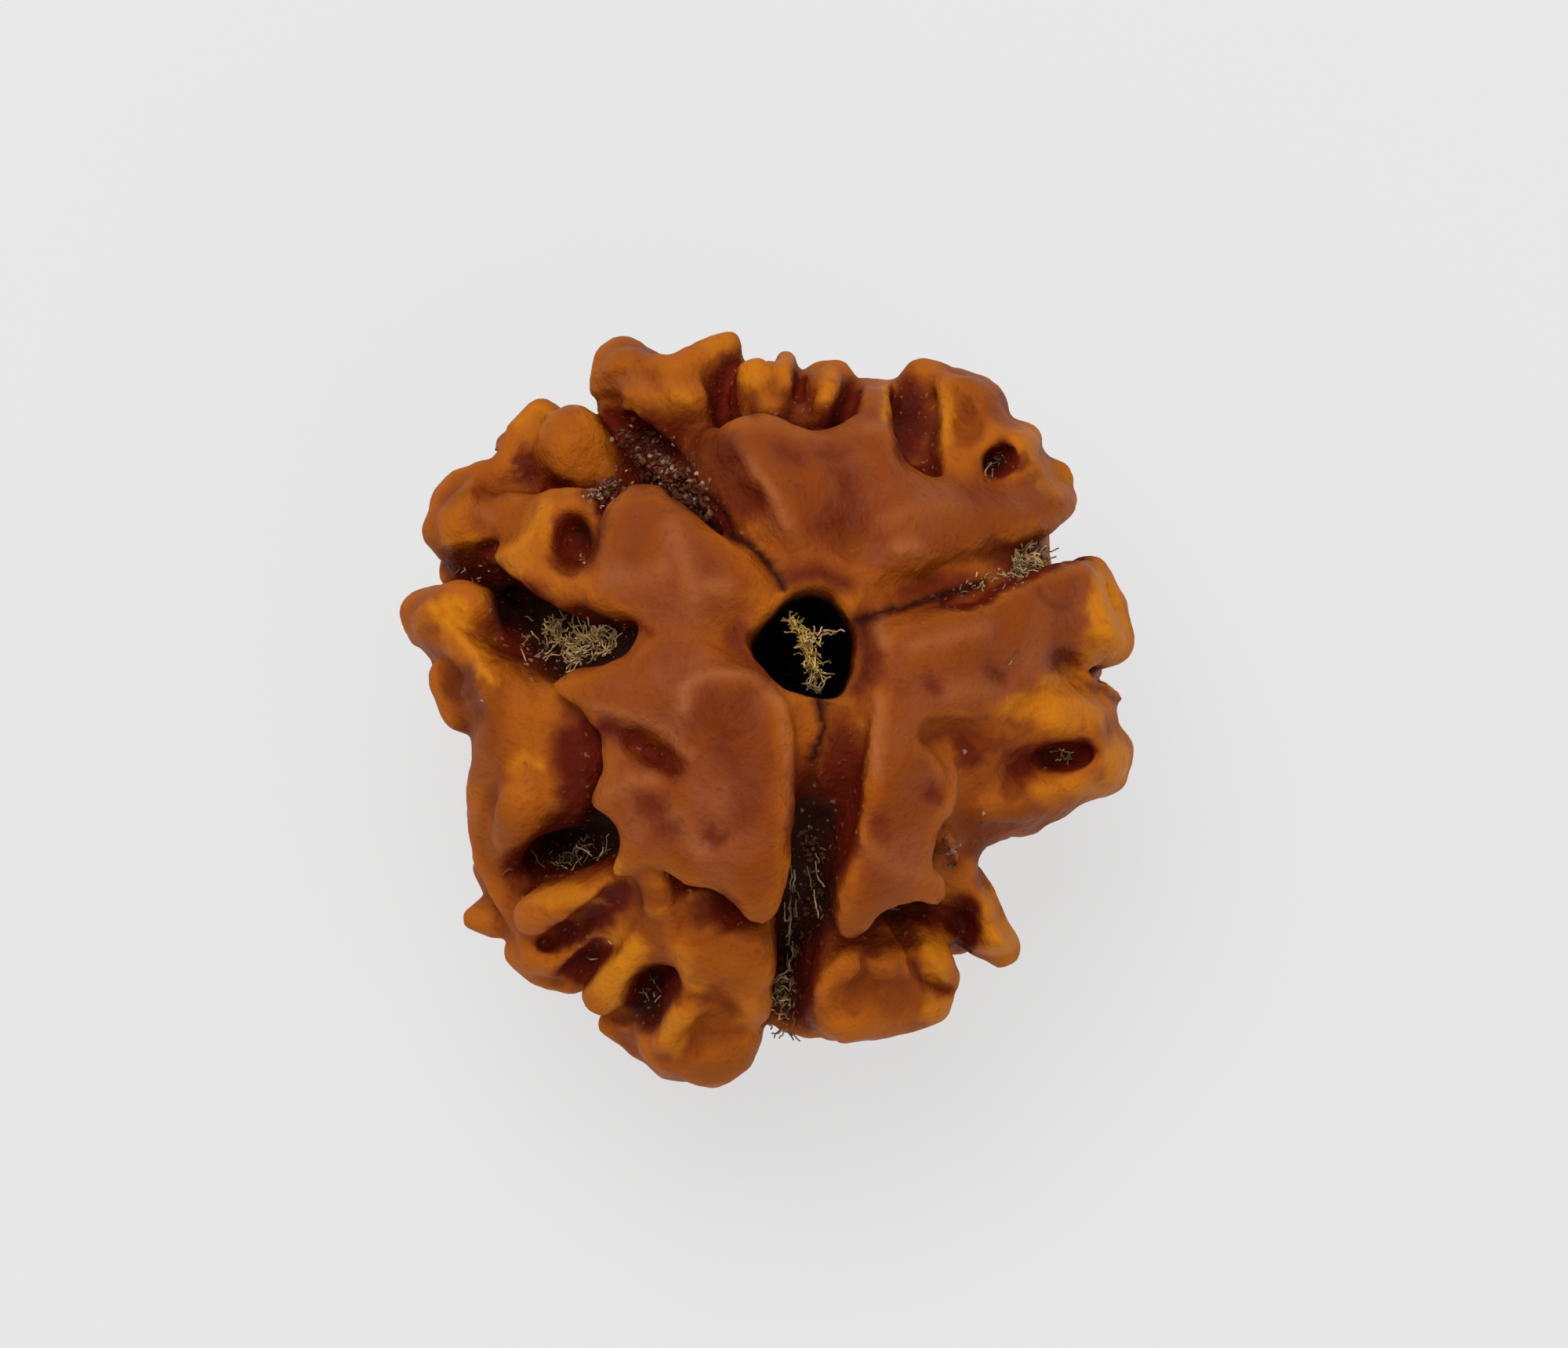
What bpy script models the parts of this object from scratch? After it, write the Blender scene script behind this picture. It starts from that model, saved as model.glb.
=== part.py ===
"""A three mukhi rudraksha: the stone of one fruit, three carpels grown together round a natural bore.

The stone stands on its lower end, with the bore upright. Layout sizes are in millimetres, measured from
the middle of the stone, and the last step moves it up so that it rests on z = 0.
"""
import math
import random

import bmesh
import bpy
from mathutils import Vector, noise
from mathutils.geometry import delaunay_2d_cdt

MM = 0.001

# Driving sizes, in millimetres
REST_DEPTH = 9.62
CORE_RADIUS = 7.6
ROOT_RADIUS = 6.0
VIEW_LEAN = math.radians(12)
UPPER_MOUTH = (1.2, 2.1)
LOWER_MOUTH = Vector((0.3, -0.2, -9.5))
BORE_RADIUS = 1.0
VOXEL = 0.16
KEPT_SHARE = 0.0326
SEED = 7
SHIFT = Vector((-0.035, 0.38, REST_DEPTH))

# The three seams run from pole to pole at these longitudes, in degrees
SEAMS = (27, 121, 272)

# How far the outline reaches from the middle at each bearing of the same view, as (degrees, distance)
GIRTH = [
    (0, 10.6), (5, 9.95), (12, 11.0), (20, 10.9), (26, 10.6), (30, 9.5), (37, 11.2), (45, 11.5),
    (53, 11.9),
    (61, 11.7), (68, 10.8), (74, 10.3), (83, 10.6), (92, 10.5), (97, 11.3), (104, 10.9), (110, 11.7),
    (120, 10.4), (129, 11.4), (136, 11.1), (142, 11.4), (152, 11.5), (158, 10.5), (163, 11.1),
    (168, 11.0),
    (173, 10.1), (180, 9.6), (186, 8.8), (192, 9.0), (201, 9.5), (207, 10.1), (214, 10.7), (223, 10.5),
    (231, 10.6), (237, 9.8), (250, 11.1), (256, 11.4), (262, 11.3), (267, 10.8), (271, 9.5), (280, 9.9),
    (290, 10.3), (299, 10.6), (304, 10.0), (308, 9.0), (314, 10.4), (317, 10.0), (321, 8.7), (326, 7.8),
    (331, 8.0), (338, 9.2), (345, 10.0), (350, 10.9), (356, 10.5), (360, 10.6)]

# Lands are the broad, smooth-topped plates round the upper mouth. Each outline point is
# (across, up, reach, rounding): its place as seen along a line that leans VIEW_LEAN from the bore,
# its distance from the middle of the stone, and how wide the edge is rounded there.
# Each swell is (across, up, width, height), and a negative height is a dip.
LANDS = {
    "left_upper": {
        "outline": [
            (0.45, 3.3, 9.4, 1.2), (0.0, 4.15, 9.6, 0.8), (-0.7, 4.85, 9.8, 0.6), (-1.5, 5.45, 9.9, 0.5),
            (-2.3, 6.1, 10.0, 0.5), (-3.1, 6.65, 10.1, 0.6), (-3.9, 6.7, 10.1, 0.6),
            (-4.6, 6.2, 10.1, 0.6), (-5.0, 5.4, 10.1, 0.5), (-5.0, 4.4, 10.1, 0.5),
            (-5.2, 3.7, 10.0, 0.5),
            (-5.6, 3.2, 9.9, 0.4), (-5.0, 2.95, 9.9, 0.4), (-3.9, 2.7, 9.8, 0.6), (-3.75, 2.2, 9.7, 0.8),
            (-2.5, 1.6, 9.6, 1.0), (-1.2, 2.0, 9.5, 1.3), (-0.7, 2.6, 9.4, 1.3)],
        "swells": [
            (-2.6, 4.7, 1.6, 0.2), (-3.7, 6, 1.2, 0.1), (-3, 2.7, 0.8, -0.25), (-0.9, 3.5, 0.8, 0.2),
            (-4.5, 4, 0.8, -0.15), (-3.4, 5, 0.9, 0.12), (-2.6, 2.2, 0.7, -0.12)],
    },
    "left_lower": {
        "outline": [
            (-0.6, 1.7, 9.4, 1.0), (0.15, 1.0, 9.5, 0.8), (0.6, 0.3, 9.7, 0.6), (0.8, -0.7, 9.9, 0.6),
            (0.85, -2.0, 10.0, 0.6), (0.8, -3.5, 10.1, 0.6), (0.7, -5.0, 10.15, 0.5),
            (0.45, -5.9, 10.2, 0.4), (0.0, -6.3, 10.2, 0.4), (-0.5, -6.2, 10.2, 0.4),
            (-1.0, -5.6, 10.2, 0.5), (-1.6, -5.25, 10.1, 0.5), (-2.4, -5.1, 10.1, 0.5),
            (-2.9, -4.75, 10.0, 0.5), (-3.5, -4.6, 9.9, 0.5), (-4.1, -4.9, 9.8, 0.4),
            (-4.6, -5.05, 9.8, 0.35), (-4.65, -4.7, 9.8, 0.35), (-4.35, -4.2, 9.9, 0.4),
            (-4.35, -3.6, 9.9, 0.4), (-4.7, -3.1, 9.9, 0.4), (-5.25, -2.95, 9.9, 0.4),
            (-5.2, -2.5, 9.9, 0.4), (-4.8, -1.8, 9.8, 0.5), (-4.8, -1.0, 9.8, 0.6),
            (-5.2, -0.3, 9.8, 0.6),
            (-5.8, 0.4, 9.8, 0.5), (-6.3, 0.75, 9.8, 0.3), (-5.7, 1.15, 9.8, 0.4), (-4.8, 1.4, 9.8, 0.5),
            (-4.0, 1.8, 9.7, 0.6), (-3.6, 2.5, 9.7, 0.8), (-2.4, 2.7, 9.6, 1.0), (-1.2, 2.4, 9.5, 1.3)],
        "swells": [
            (-1.1, 0.1, 1.1, 0.6), (0.0, -1.2, 0.9, 0.25), (0.1, -3.0, 0.8, 0.2), (-0.4, -4.6, 0.9, 0.15),
            (-3.3, -1.0, 0.85, -0.85), (-2.5, 1.4, 0.7, -0.25), (-2.6, -0.3, 0.6, -0.2),
            (-1.5, -3.6, 0.5, -0.35),
            (-1.6, -2.2, 0.8, -0.15), (-3.3, -2.9, 0.6, -0.3), (-2.6, -4.1, 0.8, 0.12),
            (-4.9, 0.5, 0.8, 0.1)],
    },
    "top": {
        "outline": [
            (0.75, 3.7, 9.3, 1.2), (0.35, 4.5, 9.3, 0.9), (-0.15, 5.1, 9.3, 1.1), (-0.8, 5.8, 9.4, 1.3),
            (-1.4, 6.7, 9.6, 1.3), (-1.7, 7.6, 10.0, 0.9), (-1.6, 8.15, 10.3, 0.5),
            (-1.1, 8.5, 10.5, 0.5),
            (-0.4, 8.75, 10.55, 0.4), (0.3, 8.75, 10.6, 0.4), (0.8, 8.5, 10.5, 0.4),
            (1.4, 8.3, 10.5, 0.4),
            (2.1, 8.4, 10.5, 0.4), (2.65, 8.8, 10.5, 0.35), (2.85, 9.9, 10.7, 0.35),
            (3.7, 9.9, 10.7, 0.35), (3.8, 9.0, 10.6, 0.35), (3.9, 8.0, 10.5, 0.4), (4.2, 7.3, 10.4, 0.5),
            (4.9, 6.95, 10.3, 0.4), (5.6, 7.0, 10.3, 0.3), (6.4, 6.9, 10.5, 0.3), (7.4, 6.9, 10.7, 0.3),
            (8.6, 7.0, 11.1, 0.4), (9.1, 6.6, 11.4, 0.4), (9.3, 6.1, 11.4, 0.4), (9.1, 5.7, 11.2, 0.4),
            (8.5, 5.3, 10.9, 0.5), (7.6, 5.0, 10.6, 0.6), (6.7, 4.7, 10.3, 0.9), (5.5, 4.3, 10.0, 1.0),
            (4.5, 3.95, 9.8, 1.0), (3.6, 3.6, 9.6, 1.1), (3.0, 3.1, 9.4, 1.2), (2.6, 3.4, 9.3, 1.2),
            (1.6, 3.85, 9.3, 1.2)],
        "swells": [
            (0.6, 5.9, 0.9, 0.5), (0.0, 6.7, 0.9, 0.4), (-0.6, 7.6, 0.9, 0.35), (1.0, 5.0, 0.6, 0.2),
            (2.7, 5.9, 1.1, -0.4), (2.4, 7.0, 0.9, -0.2), (2.4, 4.9, 0.8, -0.2), (4.6, 5.5, 1.4, 0.2),
            (2.2, 7.8, 0.5, -0.2), (3.9, 4.7, 0.6, 0.2)],
    },
    "right_upper": {
        "outline": [
            (2.95, 2.6, 9.4, 1.2), (4.2, 2.95, 9.6, 0.9), (5.5, 3.05, 9.9, 0.6), (6.4, 3.3, 10.1, 0.6),
            (7.2, 3.8, 10.2, 0.6), (8.0, 4.15, 10.5, 0.5), (9.0, 4.5, 10.9, 0.45), (9.6, 4.55, 11.2, 0.4),
            (10.0, 4.2, 11.35, 0.4), (10.15, 3.5, 11.3, 0.4), (10.4, 2.9, 11.3, 0.4),
            (10.75, 2.3, 11.35, 0.4), (10.8, 1.9, 11.3, 0.4), (10.5, 1.5, 11.0, 0.4),
            (9.9, 1.35, 10.6, 0.4), (9.3, 1.1, 10.3, 0.4), (8.8, 0.7, 10.2, 0.4), (8.0, 0.4, 10.1, 0.5),
            (7.4, 0.0, 10.0, 0.5), (7.0, -0.4, 9.9, 0.5), (6.3, -0.5, 9.8, 0.6), (5.3, -0.3, 9.8, 0.7),
            (4.5, -0.6, 9.8, 0.8), (3.5, 0.0, 9.7, 0.8), (2.9, 1.2, 9.4, 1.1)],
        "swells": [
            (5.6, 1.7, 1.6, 0.15), (9.2, 3.1, 0.9, -0.2), (6.9, 0.9, 0.4, -0.2), (8.8, 1.4, 0.4, -0.3),
            (8.2, 0.9, 0.6, 0.15), (10.2, 2.2, 0.6, 0.15), (6.9, 0.9, 0.5, -0.15), (8.8, 1.4, 0.5, -0.25),
            (5, 1.8, 0.8, 0.15), (4, 0.3, 0.6, -0.15), (7.5, 2.5, 1, 0.12), (9, 2.8, 0.6, -0.12)],
    },
    "right_lower": {
        "outline": [
            (2.9, 1.2, 9.4, 1.1), (3.05, 0.2, 9.7, 0.7), (3.0, -1.3, 9.9, 0.6), (2.85, -2.8, 10.0, 0.5),
            (2.55, -4.1, 10.1, 0.5), (2.2, -5.2, 10.2, 0.45), (2.1, -6.1, 10.2, 0.4),
            (2.25, -6.65, 10.2, 0.4), (2.65, -6.8, 10.2, 0.4), (3.1, -6.5, 10.2, 0.4),
            (3.4, -6.05, 10.1, 0.4), (3.9, -5.8, 10.1, 0.4), (4.5, -5.65, 10.1, 0.4),
            (5.1, -5.75, 10.1, 0.35), (5.4, -5.5, 10.0, 0.35), (5.3, -5.0, 10.0, 0.4),
            (4.95, -4.6, 9.9, 0.4), (4.95, -4.1, 9.9, 0.4), (5.15, -3.5, 9.8, 0.4), (5.5, -3.0, 9.8, 0.4),
            (5.7, -2.4, 9.8, 0.5), (5.55, -1.8, 9.7, 0.5), (5.15, -1.3, 9.7, 0.6), (4.7, -0.7, 9.8, 0.8),
            (5.0, 0.3, 9.7, 0.9), (4.0, 1.2, 9.6, 1.1)],
        "swells": [
            (3.7, -2, 1, 0.15), (5, -2.4, 0.4, -0.35), (3.4, -3.4, 0.4, -0.15), (3, -5.6, 0.6, 0.1),
            (3.3, -3.4, 0.5, -0.12), (4, -1.5, 0.7, 0.12), (2.8, -5.4, 0.5, 0.1)],
    },
    "lower_block": {
        "outline": [
            (-2.7, -6.8, 9.6, 0.4), (-1.5, -6.4, 9.5, 0.5), (0.1, -6.2, 9.5, 0.5), (0.3, -6.8, 9.7, 0.5),
            (0.3, -8.0, 10.0, 0.5), (0.15, -9.1, 10.2, 0.4), (-0.2, -9.45, 10.3, 0.35),
            (-0.7, -9.2, 10.3, 0.35), (-0.95, -8.7, 10.2, 0.4), (-1.5, -8.3, 10.1, 0.5),
            (-2.3, -8.1, 10.0, 0.4), (-2.6, -7.5, 9.8, 0.4)],
        "swells": [(-0.9, -7.3, 0.9, 0.2), (-2.1, -7.3, 0.5, 0.1)],
    },
    "mouth_shelf": {
        "outline": [
            (3.3, 4.1, 9.1, 0.9), (2.2, 5.0, 9.2, 0.9), (0.8, 5.2, 9.2, 0.9), (-0.5, 5.2, 8.9, 0.6),
            (-1.1, 5.2, 8.7, 0.5), (-1.6, 5.0, 9.0, 0.9), (-1.7, 3.6, 9.2, 0.9), (-1.6, 2.2, 9.2, 0.9),
            (-1.0, 0.8, 9.2, 0.9), (0.0, -0.3, 9.1, 0.9), (0.5, -1.8, 9.0, 0.6), (0.9, -2.6, 8.4, 0.5),
            (1.9, -3.0, 8.1, 0.5), (3.0, -3.2, 8.6, 0.6), (3.4, -0.5, 9.1, 0.9), (4.4, 1.0, 9.2, 0.9),
            (5.2, 2.6, 9.2, 0.9), (5.6, 3.5, 9.1, 0.7), (4.6, 4.1, 9.1, 0.9)],
        "swells": [],
    },
    "right_seam_floor": {
        "outline": [
            (4.4, 3.4, 9.1, 0.4), (5.4, 4.4, 9.3, 0.3), (7.0, 5.0, 9.6, 0.3), (8.2, 5.3, 9.95, 0.3),
            (8.35, 4.75, 9.8, 0.3), (8.3, 4.2, 9.8, 0.3), (7.2, 3.7, 9.5, 0.3), (6.0, 3.1, 9.3, 0.3)],
        "swells": [],
    },
    "left_shoulder_top": {
        "outline": [
            (-9.5, 4.4, 10.9, 0.5), (-9.95, 4.9, 11.3, 0.4), (-10.05, 5.6, 11.7, 0.4),
            (-9.6, 6.4, 11.75, 0.4), (-8.9, 7.0, 11.6, 0.4), (-8.15, 7.4, 11.3, 0.4),
            (-7.9, 8.1, 11.5, 0.4), (-7.2, 8.8, 11.6, 0.4), (-6.6, 9.1, 11.5, 0.4),
            (-6.1, 8.9, 11.1, 0.4),
            (-6.6, 8.3, 10.7, 0.4), (-7.0, 7.75, 10.4, 0.4), (-7.4, 7.4, 10.3, 0.4),
            (-7.45, 6.9, 10.2, 0.4), (-6.9, 6.5, 10.0, 0.4), (-6.7, 6.0, 10.0, 0.4),
            (-7.1, 5.35, 10.0, 0.4), (-7.9, 4.95, 10.2, 0.5), (-8.7, 4.6, 10.5, 0.5)],
        "swells": [(-8.0, 6.95, 0.7, -0.2), (-8.8, 5.3, 0.8, 0.15), (-8.3, 5.9, 0.5, -0.12)],
    },
    "left_wedge_top": {
        "outline": [
            (-8.3, 3.8, 10.0, 0.4), (-9.2, 3.75, 10.6, 0.4), (-10.0, 3.5, 11.1, 0.4),
            (-10.6, 3.1, 11.4, 0.4), (-10.8, 2.6, 11.45, 0.4), (-10.6, 2.1, 11.2, 0.4),
            (-10.05, 1.6, 10.6, 0.4), (-9.5, 1.3, 10.2, 0.5), (-8.7, 0.8, 9.9, 0.5),
            (-7.9, 0.3, 9.6, 0.5),
            (-7.2, 0.7, 9.5, 0.6), (-7.6, 1.4, 9.5, 0.6), (-8.0, 2.1, 9.5, 0.6), (-8.15, 2.8, 9.6, 0.5),
            (-8.1, 3.4, 9.8, 0.4)],
        "swells": [
            (-9.8, 2.9, 0.5, 0.2), (-9.2, 2.2, 0.45, 0.25), (-8.6, 1.5, 0.4, 0.25),
            (-9.9, 1.8, 0.5, -0.1)],
    },
    "left_low_lump_top": {
        "outline": [
            (-10.0, 1.6, 10.4, 0.4), (-9.85, 0.9, 10.15, 0.4), (-9.5, 0.25, 9.85, 0.4),
            (-9.1, -0.35, 9.5, 0.4), (-8.75, -0.85, 9.3, 0.4), (-8.0, -0.6, 9.3, 0.4),
            (-8.0, 0.4, 9.4, 0.4), (-8.6, 1.0, 9.6, 0.4), (-9.3, 1.7, 10.2, 0.4)],
        "swells": [(-8.8, 0.6, 0.6, -0.45)],
    },
    "left_face_top": {
        "outline": [
            (-7.9, 1.1, 9.7, 0.5), (-8.2, 0.3, 9.5, 0.5), (-8.5, -0.5, 9.4, 0.5), (-8.7, -1.2, 9.45, 0.4),
            (-8.8, -2.2, 9.6, 0.4), (-8.85, -3.2, 9.9, 0.4), (-8.75, -3.9, 10.0, 0.35),
            (-8.4, -4.5, 9.9, 0.35), (-8.0, -5.2, 9.9, 0.35), (-7.5, -5.7, 9.8, 0.35),
            (-6.9, -5.3, 9.2, 0.5), (-7.0, -4.6, 8.7, 0.6), (-7.6, -4.0, 9.1, 0.5),
            (-7.3, -3.2, 9.2, 0.5),
            (-6.3, -3.0, 8.9, 0.5), (-5.4, -3.0, 8.5, 0.4), (-4.8, -2.0, 8.6, 0.3),
            (-4.7, -1.0, 8.7, 0.3),
            (-5.2, -0.1, 8.9, 0.3), (-5.9, 0.6, 9.0, 0.3), (-6.6, 1.0, 9.2, 0.5), (-7.2, 1.3, 9.5, 0.5)],
        "swells": [(-7.5, -0.4, 0.9, 0.15), (-8.1, -2.4, 0.6, 0.1)],
    },
    "left_finger_web": {
        "outline": [
            (-7.95, 4.6, 10.25, 0.3), (-7.3, 5.05, 10.2, 0.35), (-6.9, 5.5, 10.2, 0.35),
            (-6.75, 6.1, 10.2, 0.4), (-6.35, 6.5, 10.2, 0.4), (-5.7, 6.5, 10.1, 0.4),
            (-5.0, 6.3, 10.0, 0.4), (-4.8, 5.5, 9.9, 0.4), (-4.7, 4.0, 9.8, 0.4), (-5.3, 3.2, 9.8, 0.4),
            (-6.0, 3.0, 9.8, 0.4), (-6.6, 3.35, 9.9, 0.4), (-7.2, 3.75, 10.0, 0.35),
            (-7.75, 4.15, 10.1, 0.3)],
        "swells": [(-5.55, 5.0, 0.8, -1.3)],
    },
    "top_left_knobs": {
        "outline": [
            (-5.0, 9.3, 10.8, 0.4), (-5.15, 10.1, 11.5, 0.4), (-4.7, 10.75, 11.85, 0.4),
            (-3.9, 11.0, 11.8, 0.4), (-3.3, 10.75, 11.4, 0.4), (-2.8, 10.3, 10.9, 0.4),
            (-2.2, 10.5, 11.0, 0.4), (-1.5, 10.95, 11.3, 0.35), (-1.0, 11.15, 11.4, 0.35),
            (-0.7, 10.85, 11.1, 0.3), (-0.85, 10.45, 10.9, 0.3), (-1.7, 10.1, 10.7, 0.3),
            (-1.85, 9.6, 10.5, 0.3), (-1.55, 8.9, 10.1, 0.4), (-2.3, 8.4, 10.0, 0.6),
            (-3.0, 8.4, 10.0, 0.6), (-3.6, 8.8, 10.2, 0.5), (-4.3, 9.0, 10.4, 0.5)],
        "swells": [(-4.2, 10.3, 0.9, 0.15), (-2.8, 9.5, 0.9, 0.35), (-3.5, 9.9, 0.4, -0.15)],
    },
    "top_teeth_floor": {
        "outline": [
            (-1.0, 8.6, 9.7, 0.3), (-1.05, 9.6, 10.1, 0.3), (-0.8, 10.1, 10.5, 0.3),
            (-0.3, 10.3, 10.65, 0.3), (0.2, 10.15, 10.4, 0.3), (0.5, 10.5, 10.7, 0.25),
            (0.75, 10.3, 10.5, 0.25), (1.0, 9.9, 10.2, 0.3), (1.4, 10.0, 10.3, 0.3),
            (2.0, 10.3, 10.6, 0.35), (2.5, 10.1, 10.5, 0.35), (2.8, 9.8, 10.2, 0.3), (2.8, 8.9, 9.7, 0.3),
            (2.0, 8.4, 9.6, 0.3), (0.5, 8.5, 9.7, 0.3)],
        "swells": [
            (-0.4, 9.7, 0.6, 0.25), (2.0, 9.7, 0.6, 0.4), (0.25, 9.6, 0.3, -0.3), (1.1, 9.3, 0.5, -0.2),
            (2.5, 9.2, 0.35, -0.4)],
    },
    "right_crown": {
        "outline": [
            (3.9, 9.95, 10.85, 0.3), (4.4, 10.3, 11.35, 0.35), (5.0, 10.35, 11.65, 0.4),
            (5.8, 10.15, 11.85, 0.4), (6.6, 9.9, 12.0, 0.4), (7.05, 9.6, 12.05, 0.4),
            (7.15, 9.1, 11.75, 0.4), (7.15, 8.75, 11.45, 0.4), (7.7, 8.55, 11.65, 0.4),
            (8.15, 8.15, 11.7, 0.4), (8.25, 7.7, 11.45, 0.4), (8.55, 7.4, 11.45, 0.4),
            (8.8, 6.9, 11.35, 0.4), (8.0, 6.4, 10.8, 0.3), (6.5, 6.5, 10.4, 0.3), (5.2, 6.9, 10.2, 0.4),
            (4.95, 7.6, 10.3, 0.5), (5.0, 8.4, 10.5, 0.5), (5.0, 9.1, 10.8, 0.5), (4.6, 9.65, 11.0, 0.4),
            (3.9, 9.75, 10.7, 0.3)],
        "swells": [
            (5.25, 8.6, 0.4, 0.25), (5.35, 9.3, 0.4, 0.2), (6.1, 8.4, 0.6, -0.25),
            (7.7, 8.1, 0.5, 0.15), (7.1, 7.5, 0.6, -0.12), (6.2, 9.6, 0.6, 0.1)],
    },
    "crown_pit_floor": {
        "outline": [
            (3.7, 7.3, 9.3, 0.3), (4.4, 7.1, 9.6, 0.3), (5.6, 7.2, 10.0, 0.3), (5.6, 9.0, 10.5, 0.3),
            (5.2, 9.9, 11.0, 0.3), (3.8, 9.8, 10.6, 0.3), (3.7, 8.6, 9.8, 0.3)],
        "swells": [],
    },
    "right_hook_top": {
        "outline": [
            (6.9, 0.4, 9.7, 0.5), (8.0, 0.8, 10.0, 0.5), (9.0, 0.75, 10.3, 0.4), (9.8, 0.45, 10.5, 0.35),
            (10.5, 0.1, 10.8, 0.35), (10.45, -0.6, 10.9, 0.4), (10.8, -1.1, 11.2, 0.4),
            (10.85, -1.5, 11.2, 0.4), (10.65, -2.1, 11.15, 0.4), (10.3, -2.5, 10.9, 0.4),
            (9.6, -2.7, 10.4, 0.5), (8.8, -3.2, 10.0, 0.5), (8.0, -3.5, 9.6, 0.5), (7.1, -3.85, 9.2, 0.5),
            (6.5, -4.1, 8.9, 0.5), (5.6, -4.0, 8.8, 0.4), (4.8, -3.0, 9.0, 0.3), (4.7, -2.0, 9.0, 0.3),
            (4.2, -0.9, 9.2, 0.3), (5.6, -0.1, 9.3, 0.3)],
        "swells": [
            (8.7, -0.2, 0.8, 0.3), (9.8, -0.4, 0.5, 0.15), (9.3, -2.1, 0.7, 0.2),
            (8.4, -1.4, 0.8, -0.6), (7.5, -1.7, 0.6, -0.35),
            (7.2, -1.7, 0.6, -0.3), (10.2, -1.5, 0.5, 0.1)],
    },
    "right_leg_top": {
        "outline": [
            (5.3, -3.9, 8.8, 0.4), (6.3, -4.1, 8.9, 0.4), (6.4, -4.9, 9.1, 0.4), (6.8, -5.7, 9.7, 0.4),
            (6.95, -6.2, 10.0, 0.4), (7.45, -6.9, 10.7, 0.35), (7.55, -7.25, 10.8, 0.35),
            (6.9, -7.55, 10.6, 0.35), (6.2, -7.3, 10.0, 0.35), (5.6, -6.9, 9.3, 0.35),
            (5.3, -6.2, 8.8, 0.4), (5.0, -5.4, 8.6, 0.4), (5.0, -4.5, 8.6, 0.4)],
        "swells": [(5.8, -6.1, 0.6, -0.5), (6.5, -5.8, 0.4, 0.25), (6.9, -6.8, 0.4, 0.15)],
    },
    "right_foot": {
        "outline": [
            (1.3, -8.4, 10.1, 0.5), (1.6, -7.6, 9.9, 0.5), (2.2, -7.0, 9.8, 0.5), (2.8, -7.1, 9.8, 0.4),
            (3.4, -7.2, 9.8, 0.4), (4.0, -7.0, 9.7, 0.4), (4.4, -7.5, 9.9, 0.3), (5.0, -8.1, 10.1, 0.3),
            (5.5, -8.35, 10.5, 0.3), (5.55, -8.85, 10.75, 0.4), (5.0, -9.25, 10.8, 0.4),
            (4.0, -9.6, 10.75, 0.4), (3.0, -9.8, 10.6, 0.4), (2.0, -9.85, 10.45, 0.4),
            (1.4, -9.65, 10.2, 0.4), (1.1, -9.0, 10.1, 0.4)],
        "swells": [
            (2.3, -7.5, 0.45, 0.15), (3.5, -7.7, 0.4, 0.1), (1.9, -8.7, 0.5, 0.12),
            (4.8, -8.9, 0.5, 0.12),
            (3.0, -8.4, 0.5, -0.08)],
    },
    "bottom_sheet": {
        "outline": [
            (-3.3, -5.3, 9.0, 0.4), (-4.5, -5.8, 9.0, 0.4), (-5.6, -6.7, 9.4, 0.4),
            (-6.8, -7.0, 10.1, 0.4), (-7.5, -7.2, 10.65, 0.35), (-7.2, -7.7, 10.75, 0.35),
            (-6.7, -8.05, 10.7, 0.35), (-5.7, -8.15, 10.3, 0.35), (-5.2, -8.0, 9.8, 0.35),
            (-4.5, -7.2, 9.3, 0.4), (-3.7, -6.2, 9.1, 0.4)],
        "swells": [(-5.1, -7.4, 0.5, -0.5), (-6.5, -7.3, 0.5, 0.1)],
    },
    "bottom_web": {
        "outline": [
            (-3.7, -5.6, 9.2, 0.4), (-2.4, -5.4, 9.2, 0.4), (-2.2, -7.0, 9.5, 0.4),
            (-2.5, -7.6, 9.5, 0.4),
            (-3.1, -7.5, 9.5, 0.4), (-3.6, -7.7, 9.5, 0.4), (-4.3, -7.6, 9.6, 0.4),
            (-4.1, -6.5, 9.4, 0.4)],
        "swells": [],
    },
    "bottom_lump_top": {
        "outline": [
            (-1.6, -8.2, 10.0, 0.3), (-2.2, -8.7, 10.1, 0.4), (-2.7, -9.3, 10.4, 0.4),
            (-3.3, -9.75, 10.7, 0.3), (-4.3, -9.2, 10.5, 0.3), (-4.75, -9.35, 10.75, 0.3),
            (-4.1, -9.8, 10.95, 0.3), (-3.7, -10.4, 11.35, 0.35), (-3.0, -10.95, 11.65, 0.4),
            (-2.0, -11.1, 11.55, 0.4), (-1.0, -10.95, 11.3, 0.4), (-0.4, -10.5, 10.95, 0.4),
            (-0.2, -9.9, 10.6, 0.4), (-0.3, -9.2, 10.1, 0.4), (-0.9, -8.5, 10.0, 0.3)],
        "swells": [
            (-2.4, -9.0, 0.35, 0.2), (-2.9, -9.7, 0.35, 0.25), (-1.6, -10.2, 0.9, 0.2),
            (-3.7, -9.7, 0.3, -0.1)],
    },
}

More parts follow.
